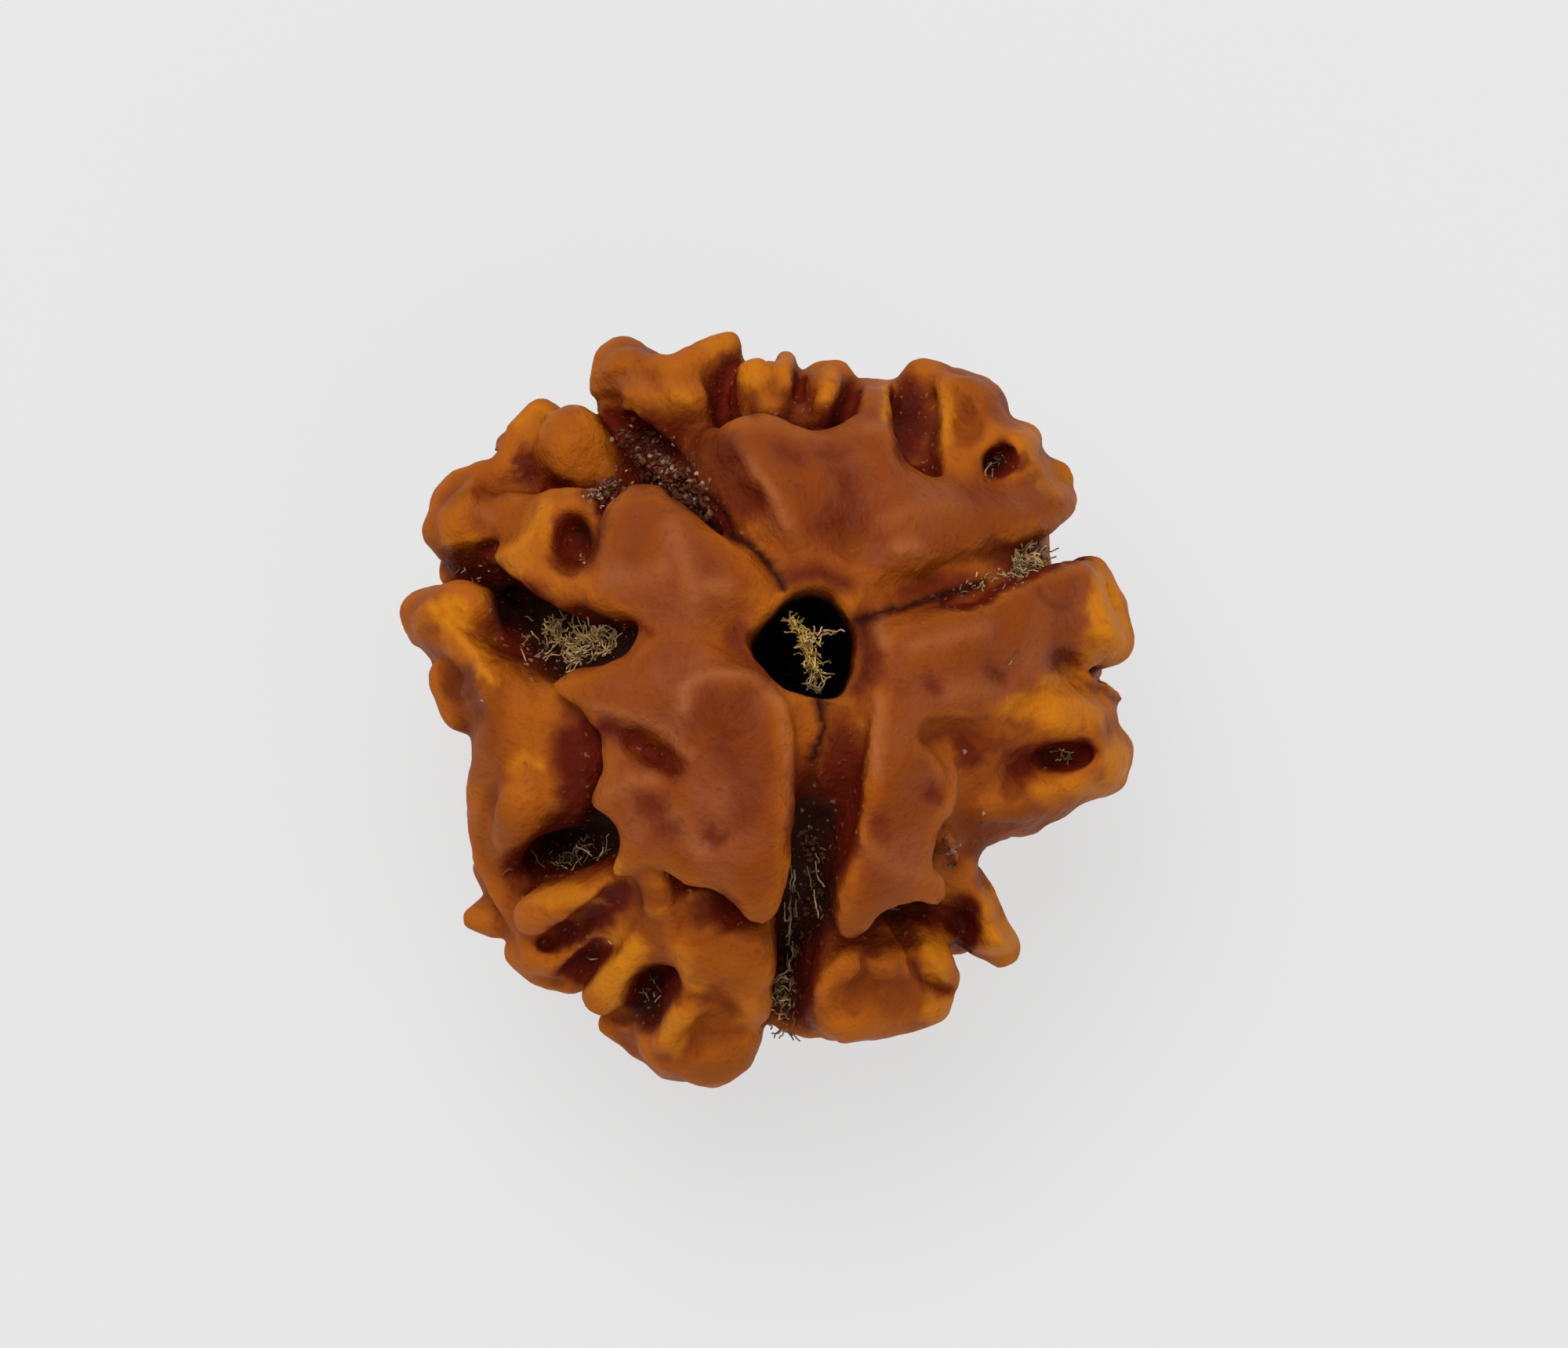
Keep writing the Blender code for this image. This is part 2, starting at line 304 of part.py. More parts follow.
# Ridges and knobs are strings of balls, each (across, up, reach of the ball's middle, radius)
RIDGES = {
    "left_finger": [
        (-4.8, 3.7, 9.3, 0.7), (-6.0, 3.95, 9.5, 0.6), (-7.0, 4.35, 9.65, 0.5), (-7.65, 4.6, 9.7, 0.38)],
    "left_finger_bar": [
        (-7.1, 5.0, 9.6, 0.5), (-6.75, 5.7, 9.6, 0.5), (-6.2, 6.1, 9.6, 0.5), (-5.5, 6.1, 9.5, 0.5)],
    "left_ball": [(-5.65, 7.95, 10.1, 1.15)],
    "left_ball_back": [(-7.6, 7.3, 10.7, 0.55), (-7.2, 8.1, 10.95, 0.6), (-6.65, 8.65, 11.0, 0.65)],
    "left_shoulder": [(-8.2, 6.7, 10.7, 0.8), (-9.0, 6.1, 10.95, 0.95), (-9.3, 5.4, 10.9, 0.9)],
    "left_shoulder_front": [(-9.0, 5.4, 10.6, 0.8), (-7.8, 5.8, 10.1, 0.7), (-7.1, 6.0, 9.8, 0.5)],
    "left_gap_floor": [(-9.0, 4.2, 9.9, 0.7)],
    "left_wedge": [(-10.1, 2.85, 10.7, 0.8), (-9.2, 3.0, 10.2, 0.85), (-8.75, 3.1, 10.0, 0.75)],
    "left_wedge_crest": [(-9.6, 2.4, 10.4, 0.6), (-8.9, 1.8, 10.1, 0.5), (-8.2, 1.1, 9.9, 0.5)],
    "left_low_lump": [(-9.3, 0.9, 9.9, 0.7), (-8.9, 0.0, 9.4, 0.7), (-8.8, 0.7, 9.5, 0.75)],
    "left_rim": [
        (-8.0, 0.9, 9.9, 0.6), (-7.6, -0.1, 9.4, 0.7), (-7.9, -1.2, 9.3, 0.7), (-8.2, -2.3, 9.3, 0.6),
        (-8.3, -3.3, 9.4, 0.5), (-8.2, -4.3, 9.6, 0.45), (-7.8, -5.2, 9.7, 0.4), (-7.3, -5.9, 9.7, 0.5)],
    "left_drop": [(-6.9, -1.8, 9.1, 0.55), (-7.1, -2.4, 9.3, 0.8), (-7.2, -3.0, 9.5, 0.8)],
    "left_fin": [(-4.9, -5.3, 9.4, 0.5), (-6.0, -5.7, 9.6, 0.65), (-6.8, -6.0, 9.9, 0.65)],
    "left_sheet": [
        (-4.3, -6.0, 8.6, 0.7), (-5.2, -6.8, 9.2, 0.5), (-6.2, -7.4, 10.0, 0.55),
        (-6.9, -7.3, 10.3, 0.6)],
    "left_sheet_edge": [(-7.1, -7.1, 10.2, 0.65), (-6.5, -7.7, 10.2, 0.6), (-5.8, -7.8, 9.9, 0.6)],
    "left_back_spur": [(-8.0, -6.1, 10.1, 0.65), (-8.6, -6.15, 10.6, 0.45)],
    "bottom_finger": [(-3.6, -6.7, 9.2, 0.45), (-4.2, -7.5, 9.6, 0.55), (-4.8, -8.4, 10.1, 0.62)],
    "bottom_fold": [(-1.9, -8.2, 9.7, 0.5), (-2.45, -8.9, 10.25, 0.45), (-3.0, -9.7, 10.7, 0.45)],
    "bottom_lump": [(-1.6, -9.8, 10.3, 1.4)],
    "bottom_lump_sides": [(-0.9, -9.6, 10.1, 0.9), (-2.9, -9.8, 10.5, 0.9)],
    "bottom_low_edge": [(-4.5, -9.2, 10.3, 0.5), (-3.7, -9.8, 10.5, 0.6)],
    "top_ball": [(-4.2, 10.2, 11.1, 0.95), (-4.55, 9.7, 10.85, 0.7)],
    "top_ball_front": [
        (-3.8, 9.6, 10.5, 0.8), (-3.5, 9.2, 10.3, 0.85), (-2.9, 9.0, 10.15, 0.8), (-2.3, 9.1, 10.15, 0.75)],
    "top_spur": [(-2.2, 10.2, 10.9, 0.6), (-1.5, 10.6, 11.0, 0.55), (-1.1, 10.8, 11.1, 0.45)],
    "top_tooth": [(-0.4, 9.4, 10.0, 0.55), (-0.35, 9.85, 10.4, 0.62)],
    "top_thin_tooth": [(0.55, 9.9, 10.5, 0.35), (0.6, 10.3, 10.6, 0.35)],
    "top_round_tooth": [(1.9, 9.65, 10.1, 0.85), (1.6, 9.2, 9.9, 0.75)],
    "top_low_floor": [(-1.4, 9.2, 9.1, 0.5), (-1.4, 9.8, 9.8, 0.4)],
    "top_right_lump": [(4.8, 9.6, 10.8, 0.9), (5.6, 9.3, 10.7, 0.9), (6.4, 9.0, 10.9, 0.9)],
    "top_right_wall": [(5.6, 8.4, 10.2, 0.7), (6.0, 7.6, 9.9, 0.7)],
    "top_right_link": [(6.5, 8.3, 10.3, 0.5)],
    "top_right_knob": [(7.6, 8.0, 10.9, 0.65)],
    "top_right_end": [(8.6, 6.9, 11.0, 0.6), (8.0, 7.2, 10.6, 0.5)],
    "right_knob": [
        (9.6, 4.0, 10.5, 0.6), (10.1, 3.1, 10.6, 0.65), (10.15, 2.15, 10.5, 0.85), (9.6, 2.0, 10.2, 0.6)],
    "right_spur": [(9.4, 0.8, 10.1, 0.3), (10.3, 0.35, 10.4, 0.32)],
    "right_hook": [
        (7.6, -0.1, 9.6, 0.5), (8.6, -0.1, 9.8, 0.7), (9.7, -0.3, 10.0, 0.65), (10.4, -1.2, 10.5, 0.55),
        (10.2, -1.9, 10.4, 0.6)],
    "right_slope": [
        (9.6, -2.2, 10.1, 0.5), (8.5, -2.3, 9.6, 0.65), (7.4, -2.6, 9.2, 0.8), (6.4, -2.6, 8.9, 0.8)],
    "right_slope_foot": [(7.6, -3.0, 8.6, 0.8)],
    "right_leg": [
        (6.0, -4.9, 8.3, 0.5), (6.4, -5.8, 9.0, 0.6), (6.8, -6.7, 9.8, 0.65), (7.0, -7.1, 10.1, 0.6)],
    "right_small_knobs": [(4.7, -7.1, 9.3, 0.5), (5.1, -7.4, 9.6, 0.5), (5.35, -7.9, 9.9, 0.45)],
    "right_foot_lump": [(2.5, -8.6, 9.75, 1.25), (3.6, -8.6, 9.8, 1.15), (4.7, -8.5, 10.0, 0.9)],
    "right_foot_bump": [(2.4, -7.45, 9.6, 0.55)],
    "right_flake": [(5.3, -3.7, 9.3, 0.25), (5.6, -4.4, 9.1, 0.22)],
    "upper_left_seam_floor": [(-3.9, 8.2, 9.0, 0.4), (-4.7, 8.95, 9.95, 0.35)],
    "top_left_flank": [
        (-2.0, 8.0, 8.9, 0.45), (-1.9, 7.3, 8.75, 0.55), (-1.5, 6.6, 8.7, 0.55), (-0.9, 5.9, 8.75, 0.5),
        (-0.3, 5.3, 8.9, 0.4)],
    "lower_seam_floor": [(1.0, -7.8, 8.2, 0.45), (0.8, -8.6, 8.9, 0.45), (0.6, -9.15, 9.4, 0.42)],
    "left_land_web": [(-3.3, -4.4, 8.9, 0.6), (-3.1, -5.5, 9.0, 0.6)],
    "left_land_web_low": [(-1.9, -5.3, 8.6, 0.6), (-1.7, -6.2, 8.7, 0.6)],
    "right_edge_fill": [(5.0, -3.4, 8.7, 0.45), (5.15, -4.5, 8.5, 0.5)],
    "top_left_flank_high": [
        (-1.5, 7.9, 9.3, 0.5), (-1.4, 7.2, 9.1, 0.6), (-0.9, 6.4, 9.0, 0.6), (-0.3, 5.7, 9.0, 0.5)],
    "left_face_slope": [(-6.4, -0.1, 8.8, 0.7), (-6.2, -1.2, 8.7, 0.7), (-6.0, -2.3, 8.7, 0.7)],
    "left_face_slope_low": [(-5.5, -0.4, 8.5, 0.7), (-5.3, -1.4, 8.45, 0.7), (-5.5, -2.4, 8.4, 0.6)],
    "right_foot_link": [(5.3, -6.5, 8.9, 0.45), (4.6, -6.6, 8.7, 0.5)],
    "top_ball_front_high": [(-3.3, 9.9, 10.85, 0.75), (-2.6, 9.8, 10.75, 0.7)],
    "left_face_fill": [
        (-7.3, 0.3, 9.2, 0.8), (-7.2, -0.6, 9.1, 0.8), (-7.4, -1.4, 9.1, 0.8), (-7.9, -2.2, 9.2, 0.7),
        (-8.1, -3.1, 9.3, 0.6)],
    "right_foot_small_bumps": [(3.6, -7.55, 9.75, 0.42), (3.0, -8.2, 10.3, 0.45)],
    "lower_seam_end": [(0.3, -9.0, 9.3, 0.35), (1.2, -9.2, 9.5, 0.5), (1.9, -9.0, 9.6, 0.6)],
}

# Hollows are strings of balls that are taken away, each opened towards the viewer of the upper end,
# and given in the same way
HOLLOWS = {
    "upper_left_crack": [
        (0.55, 3.6, 9.2, 0.12), (0.05, 4.35, 9.2, 0.13), (-0.35, 4.8, 9.1, 0.16), (-1.0, 5.15, 9.0, 0.2)],
    "upper_left_seam": [
        (-1.0, 5.2, 8.9, 0.25), (-2.0, 6.2, 8.7, 0.4), (-2.9, 7.2, 8.7, 0.6), (-3.5, 8.0, 9.0, 0.5),
        (-4.0, 8.55, 9.8, 0.3)],
    "right_crack": [
        (2.7, 2.65, 9.2, 0.12), (4.0, 3.0, 9.3, 0.14), (5.2, 3.4, 9.3, 0.2), (6.4, 3.75, 9.4, 0.2)],
    "lower_crack": [(1.55, 0.5, 9.1, 0.12), (1.7, -0.5, 9.0, 0.13), (1.4, -1.5, 8.9, 0.18)],
    "lower_seam": [
        (1.35, -2.0, 8.6, 0.3), (1.4, -3.0, 8.3, 0.5), (1.45, -4.2, 8.2, 0.6), (1.3, -5.6, 8.4, 0.6),
        (0.9, -8.0, 9.0, 0.45)],
    "pit_by_right_end": [(6.7, 7.25, 10.4, 0.4), (7.1, 7.6, 10.85, 0.3)],
    "pit_in_hook": [(7.9, -1.4, 9.25, 0.28), (8.5, -1.3, 9.55, 0.36), (9.1, -1.2, 10.15, 0.33)],
    "pit_by_bottom_finger": [
        (-3.3, -7.9, 8.95, 0.42), (-3.45, -8.5, 9.65, 0.5), (-3.55, -8.95, 10.1, 0.5)],
    "pit_left_low": [(-6.5, -4.25, 8.1, 0.6), (-5.8, -4.1, 7.9, 0.75), (-5.0, -3.9, 7.9, 0.6)],
    "pit_left_wide": [
        (-7.4, 3.15, 8.2, 0.55), (-6.9, 2.3, 8.8, 0.65), (-5.6, 2.05, 8.85, 0.6), (-4.5, 2.25, 9.0, 0.4)],
    "pit_behind_finger": [(-5.6, 5.15, 9.15, 0.5), (-5.45, 4.65, 9.1, 0.4)],
    "pit_by_left_ball": [(-7.0, 7.25, 10.6, 0.36), (-6.9, 6.8, 10.2, 0.28)],
    "pit_by_right_leg": [(5.7, -6.2, 9.0, 0.45)],
    "pit_under_left_land": [(-5.15, -7.25, 9.35, 0.3)],
    "gap_by_left_finger": [(-9.3, 4.2, 10.45, 0.2), (-8.6, 4.2, 9.9, 0.3), (-7.7, 3.7, 9.0, 0.4)],
    "dip_behind_finger": [(-5.75, 5.1, 9.95, 0.8), (-5.7, 4.5, 9.9, 0.6)],
}


def clear_scene():
    for obj in list(bpy.data.objects):
        bpy.data.objects.remove(obj)


def seen(across, up, reach):
    """The point at this distance from the middle that is seen at this place of the view."""
    toward = math.sqrt(max(reach * reach - across * across - up * up, 0.0))
    return Vector((
        across,
        up * math.cos(VIEW_LEAN) - toward * math.sin(VIEW_LEAN),
        up * math.sin(VIEW_LEAN) + toward * math.cos(VIEW_LEAN)))


def beneath(across, back, reach):
    """The point of the lower half at this distance from the middle, over this place on the ground."""
    return Vector((across, back, -math.sqrt(max(reach * reach - across * across - back * back, 0.0))))


def on_globe(longitude, latitude, reach):
    """The point at this longitude and latitude, in degrees, and this distance from the middle."""
    lon, lat = math.radians(longitude), math.radians(latitude)
    return Vector((math.cos(lon) * math.cos(lat), math.sin(lon) * math.cos(lat), math.sin(lat))) * reach


def girth_at(bearing):
    """How far the outline of the view reaches at this bearing."""
    bearing %= 360
    for (a, low), (b, high) in zip(GIRTH, GIRTH[1:]):
        if a <= bearing <= b:
            return low + (high - low) * (bearing - a) / (b - a)
    return GIRTH[0][1]


def held_in(point, radius):
    """The point, drawn in so far that a ball of this radius round it stays inside the outline."""
    across = point.x
    up = point.y * math.cos(VIEW_LEAN) + point.z * math.sin(VIEW_LEAN)
    bearing = math.degrees(math.atan2(up, across))
    limit = min(girth_at(bearing + turn) for turn in (-5, 0, 5))
    return point * min(1, (limit - 0.1 - radius) / math.hypot(across, up))


class Heap:
    """Closed shapes that are piled into one mesh, and fused later."""

    def __init__(self):
        self.points = []
        self.faces = []
        bm = bmesh.new()
        bmesh.ops.create_icosphere(bm, subdivisions=2, radius=1)
        self.ball_points = [vert.co.copy() for vert in bm.verts]
        self.ball_faces = [[vert.index for vert in face.verts] for face in bm.faces]
        bm.free()

    def add(self, points, faces):
        start = len(self.points)
        self.points += points
        self.faces += [[start + i for i in face] for face in faces]

    def add_ball(self, middle, radius, axis, tail, head):
        """A ball drawn out along an axis, by its head one way and by its tail the other way."""
        turn = axis.to_track_quat("Z", "Y").to_matrix()
        points = []
        for co in self.ball_points:
            stretch = head if co.z > 0 else tail
            points.append(middle + turn @ Vector((co.x * radius, co.y * radius, co.z * stretch)))
        self.add(points, self.ball_faces)

    def add_ridge(self, stations):
        """A string of balls, each rooted in the core. A station is (middle, radius)."""
        for middle, radius in between(stations):
            self.add_ball(middle, radius, middle, max(middle.length - ROOT_RADIUS, radius), radius)

    def add_hollow(self, stations):
        """A string of balls that is open towards the viewer of the upper end."""
        viewer = seen(0, 0, 1)
        for middle, radius in between(stations):
            self.add_ball(middle, radius, viewer, radius, 9)

    def add_land(self, outline, swells, place, step=0.3):
        """A plate with a rounded edge, from the core out to the reach that its outline gives."""
        loop = [Vector(point[:2]) for point in outline]
        rim = []
        for a, b in zip(loop, loop[1:] + loop[:1]):
            parts = max(1, math.ceil((b - a).length / step))
            rim += [a.lerp(b, i / parts) for i in range(parts)]
        left, low = min(p.x for p in rim), min(p.y for p in rim)
        columns = int((max(p.x for p in rim) - left) / step) + 1
        rows = int((max(p.y for p in rim) - low) / step) + 1
        cells = [(i + 0.5, j + 0.5) for i in range(columns) for j in range(rows)]
        grid = [Vector((left + i * step, low + j * step)) for i, j in cells]
        grid = [p for p in grid if is_inside(p, rim) and gap_to_loop(p, rim) > 0.4 * step]
        edges = [(i, (i + 1) % len(rim)) for i in range(len(rim))]
        flat, _, faces, _, _, _ = delaunay_2d_cdt(rim + grid, edges, [list(range(len(rim)))], 1, 1e-6)
        tops = [place(p.x, p.y, land_reach(p, loop, outline, rim, swells)) for p in flat]
        roots = [top.normalized() * ROOT_RADIUS for top in tops]
        count = len(tops)
        sides = set()
        solid = []
        for face in faces:
            solid.append(list(face))
            solid.append([count + i for i in reversed(face)])
            sides.update(zip(face, face[1:] + face[:1]))
        solid += [[b, a, count + a, count + b] for a, b in sides if (b, a) not in sides]
        if place is beneath:
            solid = [list(reversed(face)) for face in solid]
        self.add(tops + roots, solid)

    def to_object(self, name):
        mesh = bpy.data.meshes.new(name)
        mesh.from_pydata([(point + SHIFT) * MM for point in self.points], [], self.faces)
        obj = bpy.data.objects.new(name, mesh)
        bpy.context.scene.collection.objects.link(obj)
        return obj


def between(stations):
    """Stations filled in so that neighbouring balls overlap well."""
    filled = []
    for (start, r0), (end, r1) in zip(stations, stations[1:]):
        parts = max(1, math.ceil((end - start).length / max(0.45 * min(r0, r1), 0.15)))
        filled += [(start.lerp(end, i / parts), r0 + (r1 - r0) * i / parts) for i in range(parts)]
    return filled + [stations[-1]]


def gap_to_loop(p, loop):
    best = 1e9
    for a, b in zip(loop, loop[1:] + loop[:1]):
        ab = b - a
        t = min(max((p - a).dot(ab) / max(ab.length_squared, 1e-9), 0), 1)
        best = min(best, (a + ab * t - p).length)
    return best


def is_inside(p, loop):
    odd = False
    for a, b in zip(loop, loop[1:] + loop[:1]):
        if (a.y > p.y) != (b.y > p.y) and p.x < a.x + (b.x - a.x) * (p.y - a.y) / (b.y - a.y):
            odd = not odd
    return odd


def land_reach(p, loop, outline, rim, swells):
    """Reach of a land at p: from its outline, less the rounding of its edge, plus its swells."""
    weights = [1 / ((p - q).length_squared + 0.05) ** 1.5 for q in loop]
    total = sum(weights)
    reach = sum(w * point[2] for w, point in zip(weights, outline)) / total
    rounding = sum(w * point[3] for w, point in zip(weights, outline)) / total
    gap = min(gap_to_loop(p, rim) / rounding, 1)
    reach -= rounding * 0.8 * (1 - math.sqrt(max(1 - (1 - gap) ** 2, 0)))
    for across, up, width, height in swells:
        reach += height * math.exp(-1.5 * (p - Vector((across, up))).length_squared / width ** 2)
    return reach


def add_skirts(heap, draw):
    """Below each knob near the outline, the knob runs on down the flank past the widest part."""
    for stations in RIDGES.values():
        for across, up, reach, radius in stations[::2]:
            top = seen(across, up, reach)
            latitude = math.degrees(math.asin(top.z / top.length))
            longitude = math.degrees(math.atan2(top.y, top.x))
            if latitude > 42 or radius < 0.45:
                continue
            path = [(top, radius)]
            while latitude > draw.uniform(-9, -3):
                latitude -= 6
                longitude += draw.uniform(-1.5, 1.5)
                width = radius * draw.uniform(0.8, 1.05)
                spot = on_globe(longitude, latitude, min(reach, 10.2) - draw.uniform(0.1, 0.6))
                path.append((held_in(spot, width), width))
            heap.add_ridge(path)


def add_lower_lands(heap, draw):
    """Three lands round the lower mouth, one between each two seams, with scalloped outer edges."""
    for i, first in enumerate(SEAMS):
        last = SEAMS[(i + 1) % 3] + (360 if i == 2 else 0)
        outline = []
        for radius in (1.6, 3.0, 4.4):
            bearing = math.radians(first) + 0.55 / radius
            outline.append((radius * math.cos(bearing), radius * math.sin(bearing), 10.0, 0.6))
        phase = draw.uniform(0, 6)
        for k in range(9):
            bearing = math.radians(first + 8 + (last - first - 16) * k / 8)
            radius = 5.2 + 0.9 * math.sin(phase + 2.4 * k) + draw.uniform(-0.3, 0.3)
            outline.append((radius * math.cos(bearing), radius * math.sin(bearing), 10.15, 0.45))
        for radius in (4.4, 3.0, 1.6):
            bearing = math.radians(last) - 0.55 / radius
            outline.append((radius * math.cos(bearing), radius * math.sin(bearing), 10.0, 0.6))
        swells = []
        for _ in range(5):
            bearing = math.radians(draw.uniform(first + 15, last - 15))
            radius = draw.uniform(2.5, 4.8)
            height = draw.uniform(-0.5, 0.1)
            swells.append((radius * math.cos(bearing), radius * math.sin(bearing), 0.8, height))
        heap.add_land(outline, swells, beneath)


def add_flank_ridges(heap, draw):
    """Ridges down the flanks, from the knobs at the widest part to the lower lands."""
    for i, first in enumerate(SEAMS):
        last = SEAMS[(i + 1) % 3] + (360 if i == 2 else 0)
        count = round((last - first - 16) / 19) + 1
        starts = [first + 8 + (last - first - 16) * k / (count - 1) for k in range(count)]
        paths = []
        for k, start in enumerate(starts):
            partner = starts[k ^ 1] if (k ^ 1) < count else start
            by_seam = k in (0, count - 1)
            phase = draw.uniform(0, 6)
            path = []
            for step in range(11):
                latitude = 6 - 6.4 * step
                merge = min(max((-latitude - 20) / 38, 0), 1)
                longitude = start + (partner - start) * 0.5 * merge + 4 * math.sin(phase + step * 0.9)
                if by_seam:
                    beside = math.degrees(0.15 / math.cos(math.radians(latitude)))
                    longitude = first + beside if k == 0 else last - beside
                radius = 0.82 + draw.uniform(-0.2, 0.25)
                reach = 10.55 - 0.0045 * abs(latitude) - radius + draw.uniform(-0.5, 0.3)
                path.append((held_in(on_globe(longitude, latitude, reach), radius), radius))
            paths.append(path)
            heap.add_ridge(path)
        for left, right in zip(paths, paths[1:]):
            for step in draw.sample(range(0, 9), 3):
                a = left[step][0]
                b = right[min(step + draw.choice((0, 1, 2)), 10)][0]
                middle = (a + b).normalized() * (min(a.length, b.length) - draw.uniform(0.1, 0.6))
                heap.add_ridge([(a, 0.65), (middle, draw.uniform(0.5, 0.75)), (b, 0.65)])
        for path in paths:
            for step in draw.sample(range(1, 10), 3):
                middle, radius = path[step]
                knob = middle + Vector([draw.uniform(-0.5, 0.5) for _ in range(3)])
                width = radius + draw.uniform(0.05, 0.3)
                heap.add_ridge([(middle, radius), (held_in(knob * 1.01, width), width)])


def make_stone():
    draw = random.Random(SEED)
    heap = Heap()
    core = bmesh.new()
    bmesh.ops.create_icosphere(core, subdivisions=5, radius=1)
    points = [vert.co * (CORE_RADIUS + 0.25 * noise.noise(vert.co * 3)) for vert in core.verts]
    heap.add(points, [[vert.index for vert in face.verts] for face in core.faces])
    core.free()
    for land in LANDS.values():
        heap.add_land(land["outline"], land["swells"], seen)
    for stations in RIDGES.values():
        heap.add_ridge([(seen(*station[:3]), station[3]) for station in stations])
    add_skirts(heap, draw)
    add_lower_lands(heap, draw)
    add_flank_ridges(heap, draw)
    return heap.to_object("rudraksha_stone")


def make_hollows():
    heap = Heap()
    for stations in HOLLOWS.values():
        heap.add_hollow([(seen(*station[:3]), station[3]) for station in stations])
    return heap.to_object("hollow_cutter")


def make_bore():
    """The natural bore: a rounded, three-cornered upper mouth that narrows to a round channel."""
    mouth = seen(*UPPER_MOUTH, 9.3)
    corners = [
        (-1.7, 0.0), (-1.4, -0.5), (-1.0, -1.0), (-0.4, -1.5), (0.2, -1.65), (0.8, -1.7), (1.2, -1.5),
        (1.5, -0.7), (1.55, 0.3), (1.2, 1.1), (0.9, 1.6), (0.3, 1.75), (-0.3, 1.6), (-0.8, 1.2),
        (-1.4, 0.5)]
    # Each level is (height from the mouth, scale of the mouth's outline, how round it has become)
    levels = [
        (3.0, 1.7, 0), (0.4, 1.3, 0), (0.1, 1.12, 0), (-0.4, 1.0, 0), (-1.8, 0.88, 0.1), (-4.5, 0.8, 0.6),
        (-9.0, 1.0, 1), (-17.5, 1.0, 1), (-18.6, 1.2, 1), (-20.5, 1.9, 1)]
    lean = (mouth - LOWER_MOUTH) / (mouth.z - LOWER_MOUTH.z)
    points = []
    for rise, scale, roundness in levels:
        for x, y in corners:
            corner = Vector((x, y, 0))
            spot = (corner * scale).lerp(corner.normalized() * BORE_RADIUS * scale, roundness)
            points.append(mouth + lean * rise + spot)
    count = len(corners)
    faces = [list(range(count)), [len(points) - 1 - i for i in range(count)]]
    for ring in range(0, len(points) - count, count):
        for i in range(count):
            j = (i + 1) % count
            faces.append([ring + i, ring + count + i, ring + count + j, ring + j])
    heap = Heap()
    heap.add(points, faces)
    return heap.to_object("bore_cutter")


def make_ground():
    """What lies under the resting level, taken away so that the stone has flat spots to stand on."""
    bpy.ops.mesh.primitive_cube_add(size=0.04, location=(0, 0, -0.02))
    ground = bpy.context.active_object
    ground.name = "ground_cutter"
    return ground


def add_remesh(obj, voxel):
    remesh = obj.modifiers.new("fuse", "REMESH")
    remesh.mode = "VOXEL"
    remesh.voxel_size = voxel * MM


def take_away(obj, cutter):
    cut = obj.modifiers.new("take away " + cutter.name, "BOOLEAN")
    cut.operation = "DIFFERENCE"
    cut.solver = "EXACT"
    cut.object = cutter
    cutter.hide_render = True
    cutter.display_type = "WIRE"


def make_material():
    material = bpy.data.materials.new("rudraksha_stone")
    material.use_nodes = True
    shader = material.node_tree.nodes["Principled BSDF"]
    shader.inputs["Base Color"].default_value = (0.33, 0.11, 0.03, 1)
    shader.inputs["Roughness"].default_value = 0.5
    return material


def main():
    clear_scene()
    stone = make_stone()
    hollows = make_hollows()
    bore = make_bore()
    ground = make_ground()
    stone.data.materials.append(make_material())
    add_remesh(hollows, VOXEL)
    add_remesh(stone, VOXEL)
    take_away(stone, hollows)
    take_away(stone, bore)
    add_remesh(stone, VOXEL)
    soften = stone.modifiers.new("soften", "SMOOTH")
    soften.factor = 0.5
    soften.iterations = 5
    thin = stone.modifiers.new("thin out", "DECIMATE")
    thin.ratio = KEPT_SHARE
    take_away(stone, ground)


if __name__ == "__main__":
    main()
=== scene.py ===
# A three mukhi rudraksha seen from above its wide mouth: the stone, the dried fibre in it, and the crumbs
import math
import random

import bmesh
import bpy
import numpy as np
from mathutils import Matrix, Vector, noise
from mathutils.bvhtree import BVHTree
from mathutils.geometry import delaunay_2d_cdt


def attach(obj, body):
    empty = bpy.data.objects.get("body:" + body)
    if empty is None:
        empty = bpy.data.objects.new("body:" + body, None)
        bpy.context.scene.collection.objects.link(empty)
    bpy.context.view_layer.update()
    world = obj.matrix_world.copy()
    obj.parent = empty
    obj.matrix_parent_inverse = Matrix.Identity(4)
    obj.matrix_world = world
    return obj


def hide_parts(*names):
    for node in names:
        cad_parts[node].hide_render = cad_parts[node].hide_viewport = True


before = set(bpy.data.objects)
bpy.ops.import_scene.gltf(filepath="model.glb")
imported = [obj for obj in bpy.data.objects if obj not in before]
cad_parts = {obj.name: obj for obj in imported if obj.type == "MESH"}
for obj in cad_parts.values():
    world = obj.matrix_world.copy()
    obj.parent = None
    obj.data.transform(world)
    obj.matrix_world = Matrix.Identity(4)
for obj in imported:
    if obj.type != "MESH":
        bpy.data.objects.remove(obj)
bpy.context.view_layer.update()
print("stage: frame loaded")

mm = 0.001
viewLean = math.radians(12)  # the camera looks down along a line that leans this much from the bore
shift = Vector((-0.035, 0.38, 9.62))  # from the middle of the stone to the frame's origin, in millimetres

